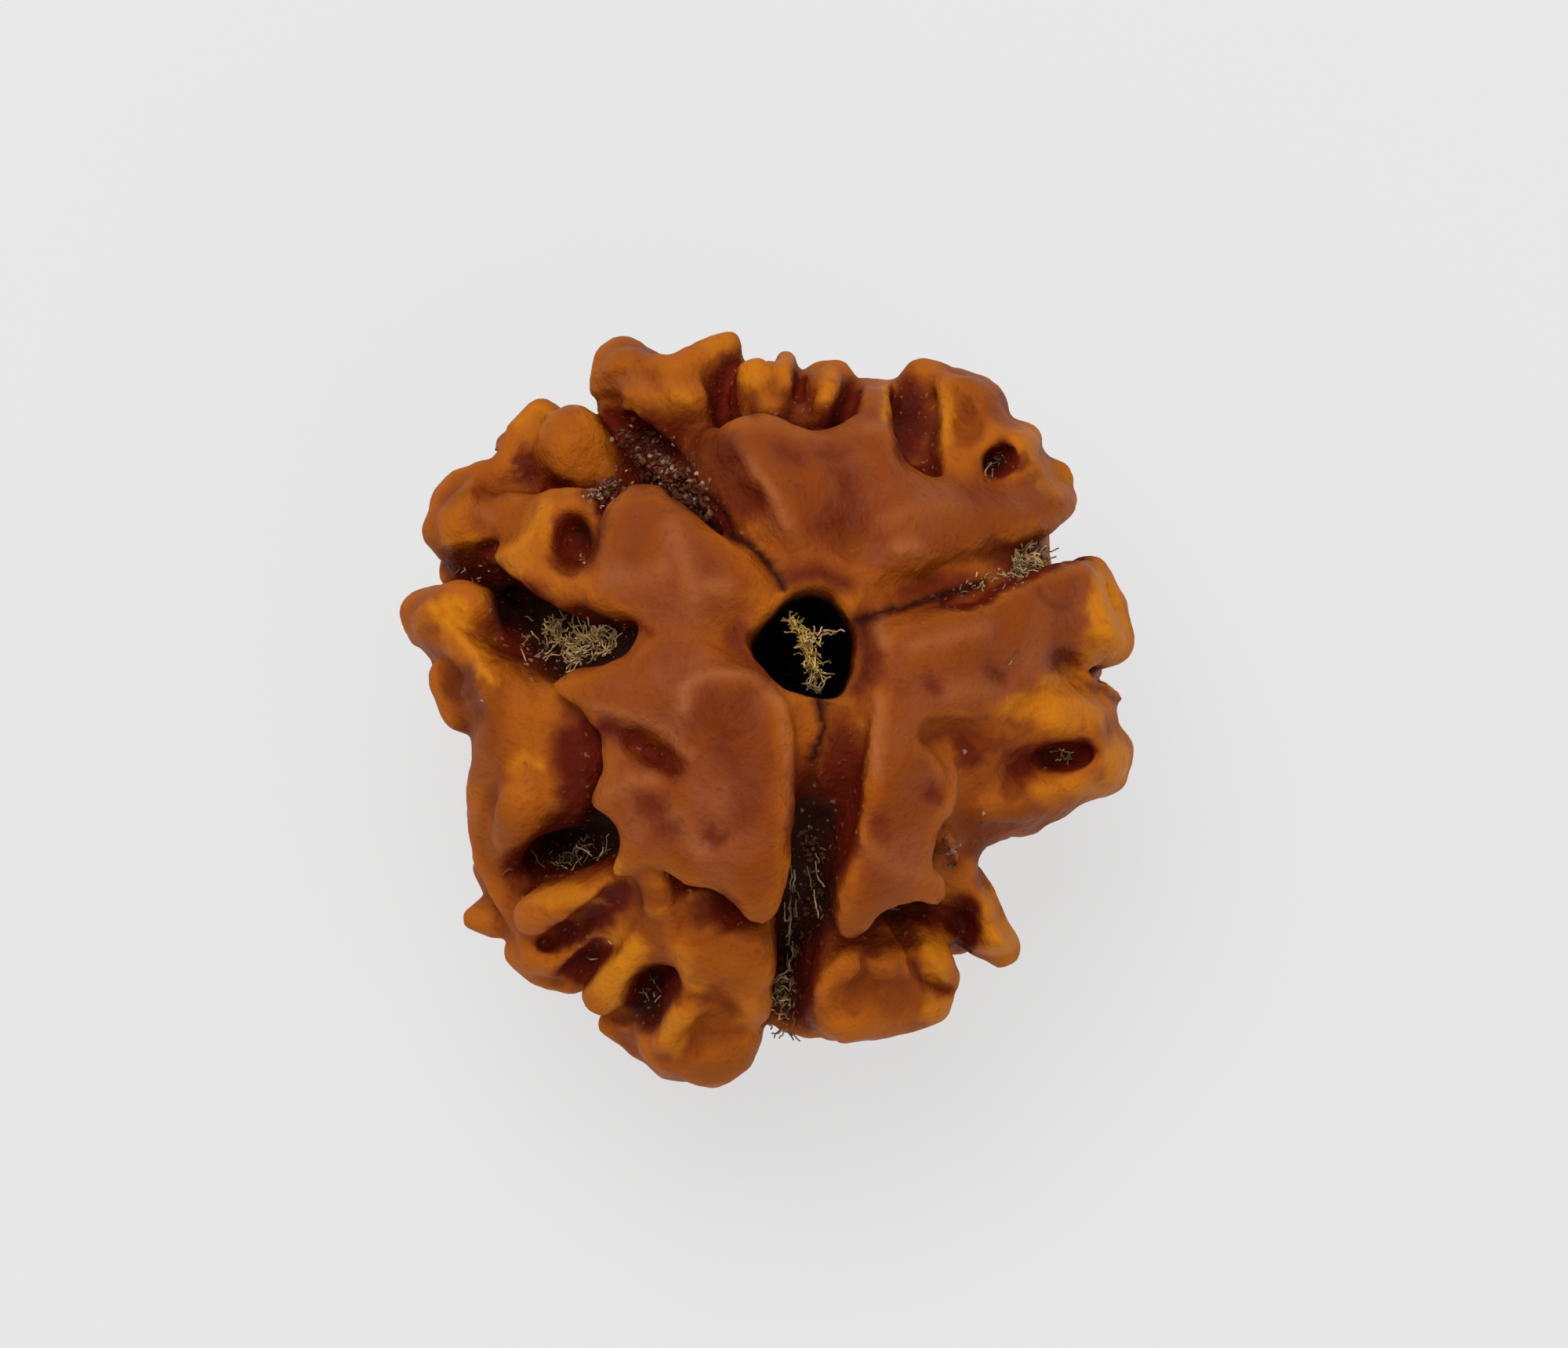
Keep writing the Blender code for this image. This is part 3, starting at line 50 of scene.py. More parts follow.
# Lengths are in millimetres, and bearings in degrees
stone = {
    "coreRadius": 7.6,
    "coreWaves": (0.25, 3),  # height, and how many to the radius
    "rootRadius": 6,
    "mouth": (1.2, 2.1, 9.3),
    "lowerMouth": Vector((0.3, -0.2, -9.5)),
    "boreRadius": 1,
    "seed": 7,
    "seams": (27, 121, 272),
    "voxel": 0.12,
    "softenSteps": 9,
    "waves": ((0.1, 800), (0.05, 2000)),  # height, and how many to the metre
    "reliefAbove": 1,
    "reliefBeyond": 8.8,
    "wornPits": ("pitByRightEnd", "pitInHook", "pitByBottomFinger", "pitByLeftBall", "pitBehindFinger",
                 "pitLeftLow"),
    "wearWidth": 2.2,
    "wearSteps": 14,
    "triangles": 190000,
}

# How far the outline reaches from the middle at each bearing of the view, as (bearing, distance)
girth = [
    (0, 10.6), (5, 9.95), (12, 11), (20, 10.9), (26, 10.6), (30, 9.5), (37, 11.2), (45, 11.5), (53, 11.9),
    (61, 11.7), (68, 10.8), (74, 10.3), (83, 10.6), (92, 10.5), (97, 11.3), (104, 10.9), (110, 11.7),
    (120, 10.4), (129, 11.4), (136, 11.1), (142, 11.4), (152, 11.5), (158, 10.5), (163, 11.1), (168, 11),
    (173, 10.1), (180, 9.6), (186, 8.8), (192, 9), (201, 9.5), (207, 10.1), (214, 10.7), (223, 10.5),
    (231, 10.6), (237, 9.8), (250, 11.1), (256, 11.4), (262, 11.3), (267, 10.8), (271, 9.5), (280, 9.9),
    (290, 10.3), (299, 10.6), (304, 10), (308, 9), (314, 10.4), (317, 10), (321, 8.7), (326, 7.8), (331, 8),
    (338, 9.2), (345, 10), (350, 10.9), (356, 10.5), (360, 10.6)]

# The broad plates of the stone's upper end, and the floors between them. An outline's point is
# (across, up, distance from the middle), with a fourth number where the edge isn't as round as "rim" says.
# A swell is (across, up, width, height).
lands = {
    "leftUpper": {"rim": 0.6, "outline": [(0.45, 3.3, 9.4, 1.2), (0, 4.15, 9.6, 0.8), (-0.7, 4.85, 9.8),
        (-1.5, 5.45, 9.9, 0.5), (-2.3, 6.1, 10, 0.5), (-3.1, 6.65, 10.1), (-3.9, 6.7, 10.1),
        (-4.6, 6.2, 10.1), (-5, 5.4, 10.1, 0.5), (-5, 4.4, 10.1, 0.5), (-5.2, 3.7, 10, 0.5),
        (-5.6, 3.2, 9.9, 0.4), (-5, 2.95, 9.9, 0.4), (-3.9, 2.7, 9.8), (-3.75, 2.2, 9.7, 0.8),
        (-2.5, 1.6, 9.6, 1), (-1.2, 2, 9.5, 1.3), (-0.7, 2.6, 9.4, 1.3)], "swells": [(-2.6, 4.7, 1.6, 0.2),
        (-3.7, 6, 1.2, 0.1), (-3, 2.7, 0.8, -0.25), (-0.9, 3.5, 0.8, 0.2), (-4.5, 4, 0.8, -0.15),
        (-3.4, 5, 0.9, 0.12), (-2.6, 2.2, 0.7, -0.12)]},
    "leftLower": {"rim": 0.4, "outline": [(-0.6, 1.7, 9.4, 1), (0.15, 1, 9.5, 0.8), (0.6, 0.3, 9.7, 0.6),
        (0.8, -0.7, 9.9, 0.6), (0.85, -2, 10, 0.6), (0.8, -3.5, 10.1, 0.6), (0.7, -5, 10.15, 0.5),
        (0.45, -5.9, 10.2), (0, -6.3, 10.2), (-0.5, -6.2, 10.2), (-1, -5.6, 10.2, 0.5),
        (-1.6, -5.25, 10.1, 0.5), (-2.4, -5.1, 10.1, 0.5), (-2.9, -4.75, 10, 0.5), (-3.5, -4.6, 9.9, 0.5),
        (-4.1, -4.9, 9.8), (-4.6, -5.05, 9.8, 0.35), (-4.65, -4.7, 9.8, 0.35), (-4.35, -4.2, 9.9),
        (-4.35, -3.6, 9.9), (-4.7, -3.1, 9.9), (-5.25, -2.95, 9.9), (-5.2, -2.5, 9.9),
        (-4.8, -1.8, 9.8, 0.5), (-4.8, -1, 9.8, 0.6), (-5.2, -0.3, 9.8, 0.6), (-5.8, 0.4, 9.8, 0.5),
        (-6.3, 0.75, 9.8, 0.3), (-5.7, 1.15, 9.8), (-4.8, 1.4, 9.8, 0.5), (-4, 1.8, 9.7, 0.6),
        (-3.6, 2.5, 9.7, 0.8), (-2.4, 2.7, 9.6, 1), (-1.2, 2.4, 9.5, 1.3)], "swells": [(-1.1, 0.1, 1.1, 0.6),
        (0, -1.2, 0.9, 0.25), (0.1, -3, 0.8, 0.2), (-0.4, -4.6, 0.9, 0.15), (-3.3, -1, 0.85, -0.85),
        (-2.5, 1.4, 0.7, -0.25), (-2.6, -0.3, 0.6, -0.2), (-1.5, -3.6, 0.5, -0.35), (-1.6, -2.2, 0.8, -0.15),
        (-3.3, -2.9, 0.6, -0.3), (-2.6, -4.1, 0.8, 0.12), (-4.9, 0.5, 0.8, 0.1)]},
    "top": {"rim": 0.4, "outline": [(0.75, 3.7, 9.3, 1.2), (0.35, 4.5, 9.3, 0.9), (-0.15, 5.1, 9.3, 1.1),
        (-0.8, 5.8, 9.4, 1.3), (-1.4, 6.7, 9.6, 1.3), (-1.7, 7.6, 10, 0.9), (-1.6, 8.15, 10.3, 0.5),
        (-1.1, 8.5, 10.5, 0.5), (-0.4, 8.75, 10.55), (0.3, 8.75, 10.6), (0.8, 8.5, 10.5), (1.4, 8.3, 10.5),
        (2.1, 8.4, 10.5), (2.65, 8.8, 10.5, 0.35), (2.85, 9.9, 10.7, 0.35), (3.7, 9.9, 10.7, 0.35),
        (3.8, 9, 10.6, 0.35), (3.9, 8, 10.5), (4.2, 7.3, 10.4, 0.5), (4.9, 6.95, 10.3), (5.6, 7, 10.3, 0.3),
        (6.4, 6.9, 10.5, 0.3), (7.4, 6.9, 10.7, 0.3), (8.6, 7, 11.1), (9.1, 6.6, 11.4), (9.3, 6.1, 11.4),
        (9.1, 5.7, 11.2), (8.5, 5.3, 10.9, 0.5), (7.6, 5, 10.6, 0.6), (6.7, 4.7, 10.3, 0.9),
        (5.5, 4.3, 10, 1), (4.5, 3.95, 9.8, 1), (3.6, 3.6, 9.6, 1.1), (3, 3.1, 9.4, 1.2),
        (2.6, 3.4, 9.3, 1.2), (1.6, 3.85, 9.3, 1.2)], "swells": [(0.6, 5.9, 0.9, 0.5), (0, 6.7, 0.9, 0.4),
        (-0.6, 7.6, 0.9, 0.35), (1, 5, 0.6, 0.2), (2.7, 5.9, 1.1, -0.4), (2.4, 7, 0.9, -0.2),
        (2.4, 4.9, 0.8, -0.2), (4.6, 5.5, 1.4, 0.2), (2.2, 7.8, 0.5, -0.2), (3.9, 4.7, 0.6, 0.2)]},
    "rightUpper": {"rim": 0.4, "outline": [(2.95, 2.6, 9.4, 1.2), (4.2, 2.95, 9.6, 0.9),
        (5.5, 3.05, 9.9, 0.6), (6.4, 3.3, 10.1, 0.6), (7.2, 3.8, 10.2, 0.6), (8, 4.15, 10.5, 0.5),
        (9, 4.5, 10.9, 0.45), (9.6, 4.55, 11.2), (10, 4.2, 11.35), (10.15, 3.5, 11.3), (10.4, 2.9, 11.3),
        (10.75, 2.3, 11.35), (10.8, 1.9, 11.3), (10.5, 1.5, 11), (9.9, 1.35, 10.6), (9.3, 1.1, 10.3),
        (8.8, 0.7, 10.2), (8, 0.4, 10.1, 0.5), (7.4, 0, 10, 0.5), (7, -0.4, 9.9, 0.5), (6.3, -0.5, 9.8, 0.6),
        (5.3, -0.3, 9.8, 0.7), (4.5, -0.6, 9.8, 0.8), (3.5, 0, 9.7, 0.8), (2.9, 1.2, 9.4, 1.1)],
        "swells": [(5.6, 1.7, 1.6, 0.15), (9.2, 3.1, 0.9, -0.2), (6.9, 0.9, 0.4, -0.2),
        (8.8, 1.4, 0.4, -0.3), (8.2, 0.9, 0.6, 0.15), (10.2, 2.2, 0.6, 0.15), (6.9, 0.9, 0.5, -0.15),
        (8.8, 1.4, 0.5, -0.25), (5, 1.8, 0.8, 0.15), (4, 0.3, 0.6, -0.15), (7.5, 2.5, 1, 0.12),
        (9, 2.8, 0.6, -0.12)]},
    "rightLower": {"rim": 0.4, "outline": [(2.9, 1.2, 9.4, 1.1), (3.05, 0.2, 9.7, 0.7), (3, -1.3, 9.9, 0.6),
        (2.85, -2.8, 10, 0.5), (2.55, -4.1, 10.1, 0.5), (2.2, -5.2, 10.2, 0.45), (2.1, -6.1, 10.2),
        (2.25, -6.65, 10.2), (2.65, -6.8, 10.2), (3.1, -6.5, 10.2), (3.4, -6.05, 10.1), (3.9, -5.8, 10.1),
        (4.5, -5.65, 10.1), (5.1, -5.75, 10.1, 0.35), (5.4, -5.5, 10, 0.35), (5.3, -5, 10),
        (4.95, -4.6, 9.9), (4.95, -4.1, 9.9), (5.15, -3.5, 9.8), (5.5, -3, 9.8), (5.7, -2.4, 9.8, 0.5),
        (5.55, -1.8, 9.7, 0.5), (5.15, -1.3, 9.7, 0.6), (4.7, -0.7, 9.8, 0.8), (5, 0.3, 9.7, 0.9),
        (4, 1.2, 9.6, 1.1)], "swells": [(3.7, -2, 1, 0.15), (5, -2.4, 0.4, -0.35), (3.4, -3.4, 0.4, -0.15),
        (3, -5.6, 0.6, 0.1), (3.3, -3.4, 0.5, -0.12), (4, -1.5, 0.7, 0.12), (2.8, -5.4, 0.5, 0.1)]},
    "lowerBlock": {"rim": 0.4, "outline": [(-2.7, -6.8, 9.6), (-1.5, -6.4, 9.5, 0.5), (0.1, -6.2, 9.5, 0.5),
        (0.3, -6.8, 9.7, 0.5), (0.3, -8, 10, 0.5), (0.15, -9.1, 10.2), (-0.2, -9.45, 10.3, 0.35),
        (-0.7, -9.2, 10.3, 0.35), (-0.95, -8.7, 10.2), (-1.5, -8.3, 10.1, 0.5), (-2.3, -8.1, 10),
        (-2.6, -7.5, 9.8)], "swells": [(-0.9, -7.3, 0.9, 0.2), (-2.1, -7.3, 0.5, 0.1)]},
    "mouthShelf": {"rim": 0.9, "outline": [(3.3, 4.1, 9.1), (2.2, 5, 9.2), (0.8, 5.2, 9.2),
        (-0.5, 5.2, 8.9, 0.6), (-1.1, 5.2, 8.7, 0.5), (-1.6, 5, 9), (-1.7, 3.6, 9.2), (-1.6, 2.2, 9.2),
        (-1, 0.8, 9.2), (0, -0.3, 9.1), (0.5, -1.8, 9, 0.6), (0.9, -2.6, 8.4, 0.5), (1.9, -3, 8.1, 0.5),
        (3, -3.2, 8.6, 0.6), (3.4, -0.5, 9.1), (4.4, 1, 9.2), (5.2, 2.6, 9.2), (5.6, 3.5, 9.1, 0.7),
        (4.6, 4.1, 9.1)], "swells": []},
    "rightSeamFloor": {"rim": 0.3, "outline": [(4.4, 3.4, 9.1, 0.4), (5.4, 4.4, 9.3), (7, 5, 9.6),
        (8.2, 5.3, 9.95), (8.35, 4.75, 9.8), (8.3, 4.2, 9.8), (7.2, 3.7, 9.5), (6, 3.1, 9.3)], "swells": []},
    "leftShoulderTop": {"rim": 0.4, "outline": [(-9.5, 4.4, 10.9, 0.5), (-9.95, 4.9, 11.3),
        (-10.05, 5.6, 11.7), (-9.6, 6.4, 11.75), (-8.9, 7, 11.6), (-8.15, 7.4, 11.3), (-7.9, 8.1, 11.5),
        (-7.2, 8.8, 11.6), (-6.6, 9.1, 11.5), (-6.1, 8.9, 11.1), (-6.6, 8.3, 10.7), (-7, 7.75, 10.4),
        (-7.4, 7.4, 10.3), (-7.45, 6.9, 10.2), (-6.9, 6.5, 10), (-6.7, 6, 10), (-7.1, 5.35, 10),
        (-7.9, 4.95, 10.2, 0.5), (-8.7, 4.6, 10.5, 0.5)], "swells": [(-8, 6.95, 0.7, -0.2),
        (-8.8, 5.3, 0.8, 0.15), (-8.3, 5.9, 0.5, -0.12)]},
    "leftWedgeTop": {"rim": 0.4, "outline": [(-8.3, 3.8, 10), (-9.2, 3.75, 10.6), (-10, 3.5, 11.1),
        (-10.6, 3.1, 11.4), (-10.8, 2.6, 11.45), (-10.6, 2.1, 11.2), (-10.05, 1.6, 10.6),
        (-9.5, 1.3, 10.2, 0.5), (-8.7, 0.8, 9.9, 0.5), (-7.9, 0.3, 9.6, 0.5), (-7.2, 0.7, 9.5, 0.6),
        (-7.6, 1.4, 9.5, 0.6), (-8, 2.1, 9.5, 0.6), (-8.15, 2.8, 9.6, 0.5), (-8.1, 3.4, 9.8)],
        "swells": [(-9.8, 2.9, 0.5, 0.2), (-9.2, 2.2, 0.45, 0.25), (-8.6, 1.5, 0.4, 0.25),
        (-9.9, 1.8, 0.5, -0.1)]},
    "leftLowLumpTop": {"rim": 0.4, "outline": [(-10, 1.6, 10.4), (-9.85, 0.9, 10.15), (-9.5, 0.25, 9.85),
        (-9.1, -0.35, 9.5), (-8.75, -0.85, 9.3), (-8, -0.6, 9.3), (-8, 0.4, 9.4), (-8.6, 1, 9.6),
        (-9.3, 1.7, 10.2)], "swells": [(-8.8, 0.6, 0.6, -0.45)]},
    "leftFaceTop": {"rim": 0.5, "outline": [(-7.9, 1.1, 9.7), (-8.2, 0.3, 9.5), (-8.5, -0.5, 9.4),
        (-8.7, -1.2, 9.45, 0.4), (-8.8, -2.2, 9.6, 0.4), (-8.85, -3.2, 9.9, 0.4), (-8.75, -3.9, 10, 0.35),
        (-8.4, -4.5, 9.9, 0.35), (-8, -5.2, 9.9, 0.35), (-7.5, -5.7, 9.8, 0.35), (-6.9, -5.3, 9.2),
        (-7, -4.6, 8.7, 0.6), (-7.6, -4, 9.1), (-7.3, -3.2, 9.2), (-6.3, -3, 8.9), (-5.4, -3, 8.5, 0.4),
        (-4.8, -2, 8.6, 0.3), (-4.7, -1, 8.7, 0.3), (-5.2, -0.1, 8.9, 0.3), (-5.9, 0.6, 9, 0.3),
        (-6.6, 1, 9.2), (-7.2, 1.3, 9.5)], "swells": [(-7.5, -0.4, 0.9, 0.15), (-8.1, -2.4, 0.6, 0.1)]},
    "leftFingerWeb": {"rim": 0.4, "outline": [(-7.95, 4.6, 10.25, 0.3), (-7.3, 5.05, 10.2, 0.35),
        (-6.9, 5.5, 10.2, 0.35), (-6.75, 6.1, 10.2), (-6.35, 6.5, 10.2), (-5.7, 6.5, 10.1), (-5, 6.3, 10),
        (-4.8, 5.5, 9.9), (-4.7, 4, 9.8), (-5.3, 3.2, 9.8), (-6, 3, 9.8), (-6.6, 3.35, 9.9),
        (-7.2, 3.75, 10, 0.35), (-7.75, 4.15, 10.1, 0.3)], "swells": [(-5.55, 5, 0.8, -1.3)]},
    "topLeftKnobs": {"rim": 0.4, "outline": [(-5, 9.3, 10.8), (-5.15, 10.1, 11.5), (-4.7, 10.75, 11.85),
        (-3.9, 11, 11.8), (-3.3, 10.75, 11.4), (-2.8, 10.3, 10.9), (-2.2, 10.5, 11),
        (-1.5, 10.95, 11.3, 0.35), (-1, 11.15, 11.4, 0.35), (-0.7, 10.85, 11.1, 0.3),
        (-0.85, 10.45, 10.9, 0.3), (-1.7, 10.1, 10.7, 0.3), (-1.85, 9.6, 10.5, 0.3), (-1.55, 8.9, 10.1),
        (-2.3, 8.4, 10, 0.6), (-3, 8.4, 10, 0.6), (-3.6, 8.8, 10.2, 0.5), (-4.3, 9, 10.4, 0.5)],
        "swells": [(-4.2, 10.3, 0.9, 0.15), (-2.8, 9.5, 0.9, 0.35), (-3.5, 9.9, 0.4, -0.15)]},
    "topTeethFloor": {"rim": 0.3, "outline": [(-1, 8.6, 9.7), (-1.05, 9.6, 10.1), (-0.8, 10.1, 10.5),
        (-0.3, 10.3, 10.65), (0.2, 10.15, 10.4), (0.5, 10.5, 10.7, 0.25), (0.75, 10.3, 10.5, 0.25),
        (1, 9.9, 10.2), (1.4, 10, 10.3), (2, 10.3, 10.6, 0.35), (2.5, 10.1, 10.5, 0.35), (2.8, 9.8, 10.2),
        (2.8, 8.9, 9.7), (2, 8.4, 9.6), (0.5, 8.5, 9.7)], "swells": [(-0.4, 9.7, 0.6, 0.25),
        (2, 9.7, 0.6, 0.4), (0.25, 9.6, 0.3, -0.3), (1.1, 9.3, 0.5, -0.2), (2.5, 9.2, 0.35, -0.4)]},
    "rightCrown": {"rim": 0.4, "outline": [(3.9, 9.95, 10.85, 0.3), (4.4, 10.3, 11.35, 0.35),
        (5, 10.35, 11.65), (5.8, 10.15, 11.85), (6.6, 9.9, 12), (7.05, 9.6, 12.05), (7.15, 9.1, 11.75),
        (7.15, 8.75, 11.45), (7.7, 8.55, 11.65), (8.15, 8.15, 11.7), (8.25, 7.7, 11.45), (8.55, 7.4, 11.45),
        (8.8, 6.9, 11.35), (8, 6.4, 10.8, 0.3), (6.5, 6.5, 10.4, 0.3), (5.2, 6.9, 10.2),
        (4.95, 7.6, 10.3, 0.5), (5, 8.4, 10.5, 0.5), (5, 9.1, 10.8, 0.5), (4.6, 9.65, 11),
        (3.9, 9.75, 10.7, 0.3)], "swells": [(5.25, 8.6, 0.4, 0.25), (5.35, 9.3, 0.4, 0.2),
        (6.1, 8.4, 0.6, -0.25), (7.7, 8.1, 0.5, 0.15), (7.1, 7.5, 0.6, -0.12), (6.2, 9.6, 0.6, 0.1)]},
    "crownPitFloor": {"rim": 0.3, "outline": [(3.7, 7.3, 9.3), (4.4, 7.1, 9.6), (5.6, 7.2, 10),
        (5.6, 9, 10.5), (5.2, 9.9, 11), (3.8, 9.8, 10.6), (3.7, 8.6, 9.8)], "swells": []},
    "rightHookTop": {"rim": 0.5, "outline": [(6.9, 0.4, 9.7), (8, 0.8, 10), (9, 0.75, 10.3, 0.4),
        (9.8, 0.45, 10.5, 0.35), (10.5, 0.1, 10.8, 0.35), (10.45, -0.6, 10.9, 0.4), (10.8, -1.1, 11.2, 0.4),
        (10.85, -1.5, 11.2, 0.4), (10.65, -2.1, 11.15, 0.4), (10.3, -2.5, 10.9, 0.4), (9.6, -2.7, 10.4),
        (8.8, -3.2, 10), (8, -3.5, 9.6), (7.1, -3.85, 9.2), (6.5, -4.1, 8.9), (5.6, -4, 8.8, 0.4),
        (4.8, -3, 9, 0.3), (4.7, -2, 9, 0.3), (4.2, -0.9, 9.2, 0.3), (5.6, -0.1, 9.3, 0.3)],
        "swells": [(8.7, -0.2, 0.8, 0.3), (9.8, -0.4, 0.5, 0.15), (9.3, -2.1, 0.7, 0.2),
        (8.4, -1.4, 0.8, -0.6), (7.5, -1.7, 0.6, -0.35), (7.2, -1.7, 0.6, -0.3), (10.2, -1.5, 0.5, 0.1)]},
    "rightLegTop": {"rim": 0.4, "outline": [(5.3, -3.9, 8.8), (6.3, -4.1, 8.9), (6.4, -4.9, 9.1),
        (6.8, -5.7, 9.7), (6.95, -6.2, 10), (7.45, -6.9, 10.7, 0.35), (7.55, -7.25, 10.8, 0.35),
        (6.9, -7.55, 10.6, 0.35), (6.2, -7.3, 10, 0.35), (5.6, -6.9, 9.3, 0.35), (5.3, -6.2, 8.8),
        (5, -5.4, 8.6), (5, -4.5, 8.6)], "swells": [(5.8, -6.1, 0.6, -0.5), (6.5, -5.8, 0.4, 0.25),
        (6.9, -6.8, 0.4, 0.15)]},
    "rightFoot": {"rim": 0.4, "outline": [(1.3, -8.4, 10.1, 0.5), (1.6, -7.6, 9.9, 0.5), (2.2, -7, 9.8, 0.5),
        (2.8, -7.1, 9.8), (3.4, -7.2, 9.8), (4, -7, 9.7), (4.4, -7.5, 9.9, 0.3), (5, -8.1, 10.1, 0.3),
        (5.5, -8.35, 10.5, 0.3), (5.55, -8.85, 10.75), (5, -9.25, 10.8), (4, -9.6, 10.75), (3, -9.8, 10.6),
        (2, -9.85, 10.45), (1.4, -9.65, 10.2), (1.1, -9, 10.1)], "swells": [(2.3, -7.5, 0.45, 0.15),
        (3.5, -7.7, 0.4, 0.1), (1.9, -8.7, 0.5, 0.12), (4.8, -8.9, 0.5, 0.12), (3, -8.4, 0.5, -0.08)]},
    "bottomSheet": {"rim": 0.4, "outline": [(-3.3, -5.3, 9), (-4.5, -5.8, 9), (-5.6, -6.7, 9.4),
        (-6.8, -7, 10.1), (-7.5, -7.2, 10.65, 0.35), (-7.2, -7.7, 10.75, 0.35), (-6.7, -8.05, 10.7, 0.35),
        (-5.7, -8.15, 10.3, 0.35), (-5.2, -8, 9.8, 0.35), (-4.5, -7.2, 9.3), (-3.7, -6.2, 9.1)],
        "swells": [(-5.1, -7.4, 0.5, -0.5), (-6.5, -7.3, 0.5, 0.1)]},
    "bottomWeb": {"rim": 0.4, "outline": [(-3.7, -5.6, 9.2), (-2.4, -5.4, 9.2), (-2.2, -7, 9.5),
        (-2.5, -7.6, 9.5), (-3.1, -7.5, 9.5), (-3.6, -7.7, 9.5), (-4.3, -7.6, 9.6), (-4.1, -6.5, 9.4)],
        "swells": []},
    "bottomLumpTop": {"rim": 0.4, "outline": [(-1.6, -8.2, 10, 0.3), (-2.2, -8.7, 10.1), (-2.7, -9.3, 10.4),
        (-3.3, -9.75, 10.7, 0.3), (-4.3, -9.2, 10.5, 0.3), (-4.75, -9.35, 10.75, 0.3),
        (-4.1, -9.8, 10.95, 0.3), (-3.7, -10.4, 11.35, 0.35), (-3, -10.95, 11.65), (-2, -11.1, 11.55),
        (-1, -10.95, 11.3), (-0.4, -10.5, 10.95), (-0.2, -9.9, 10.6), (-0.3, -9.2, 10.1),
        (-0.9, -8.5, 10, 0.3)], "swells": [(-2.4, -9, 0.35, 0.2), (-2.9, -9.7, 0.35, 0.25),
        (-1.6, -10.2, 0.9, 0.2), (-3.7, -9.7, 0.3, -0.1)]},
}

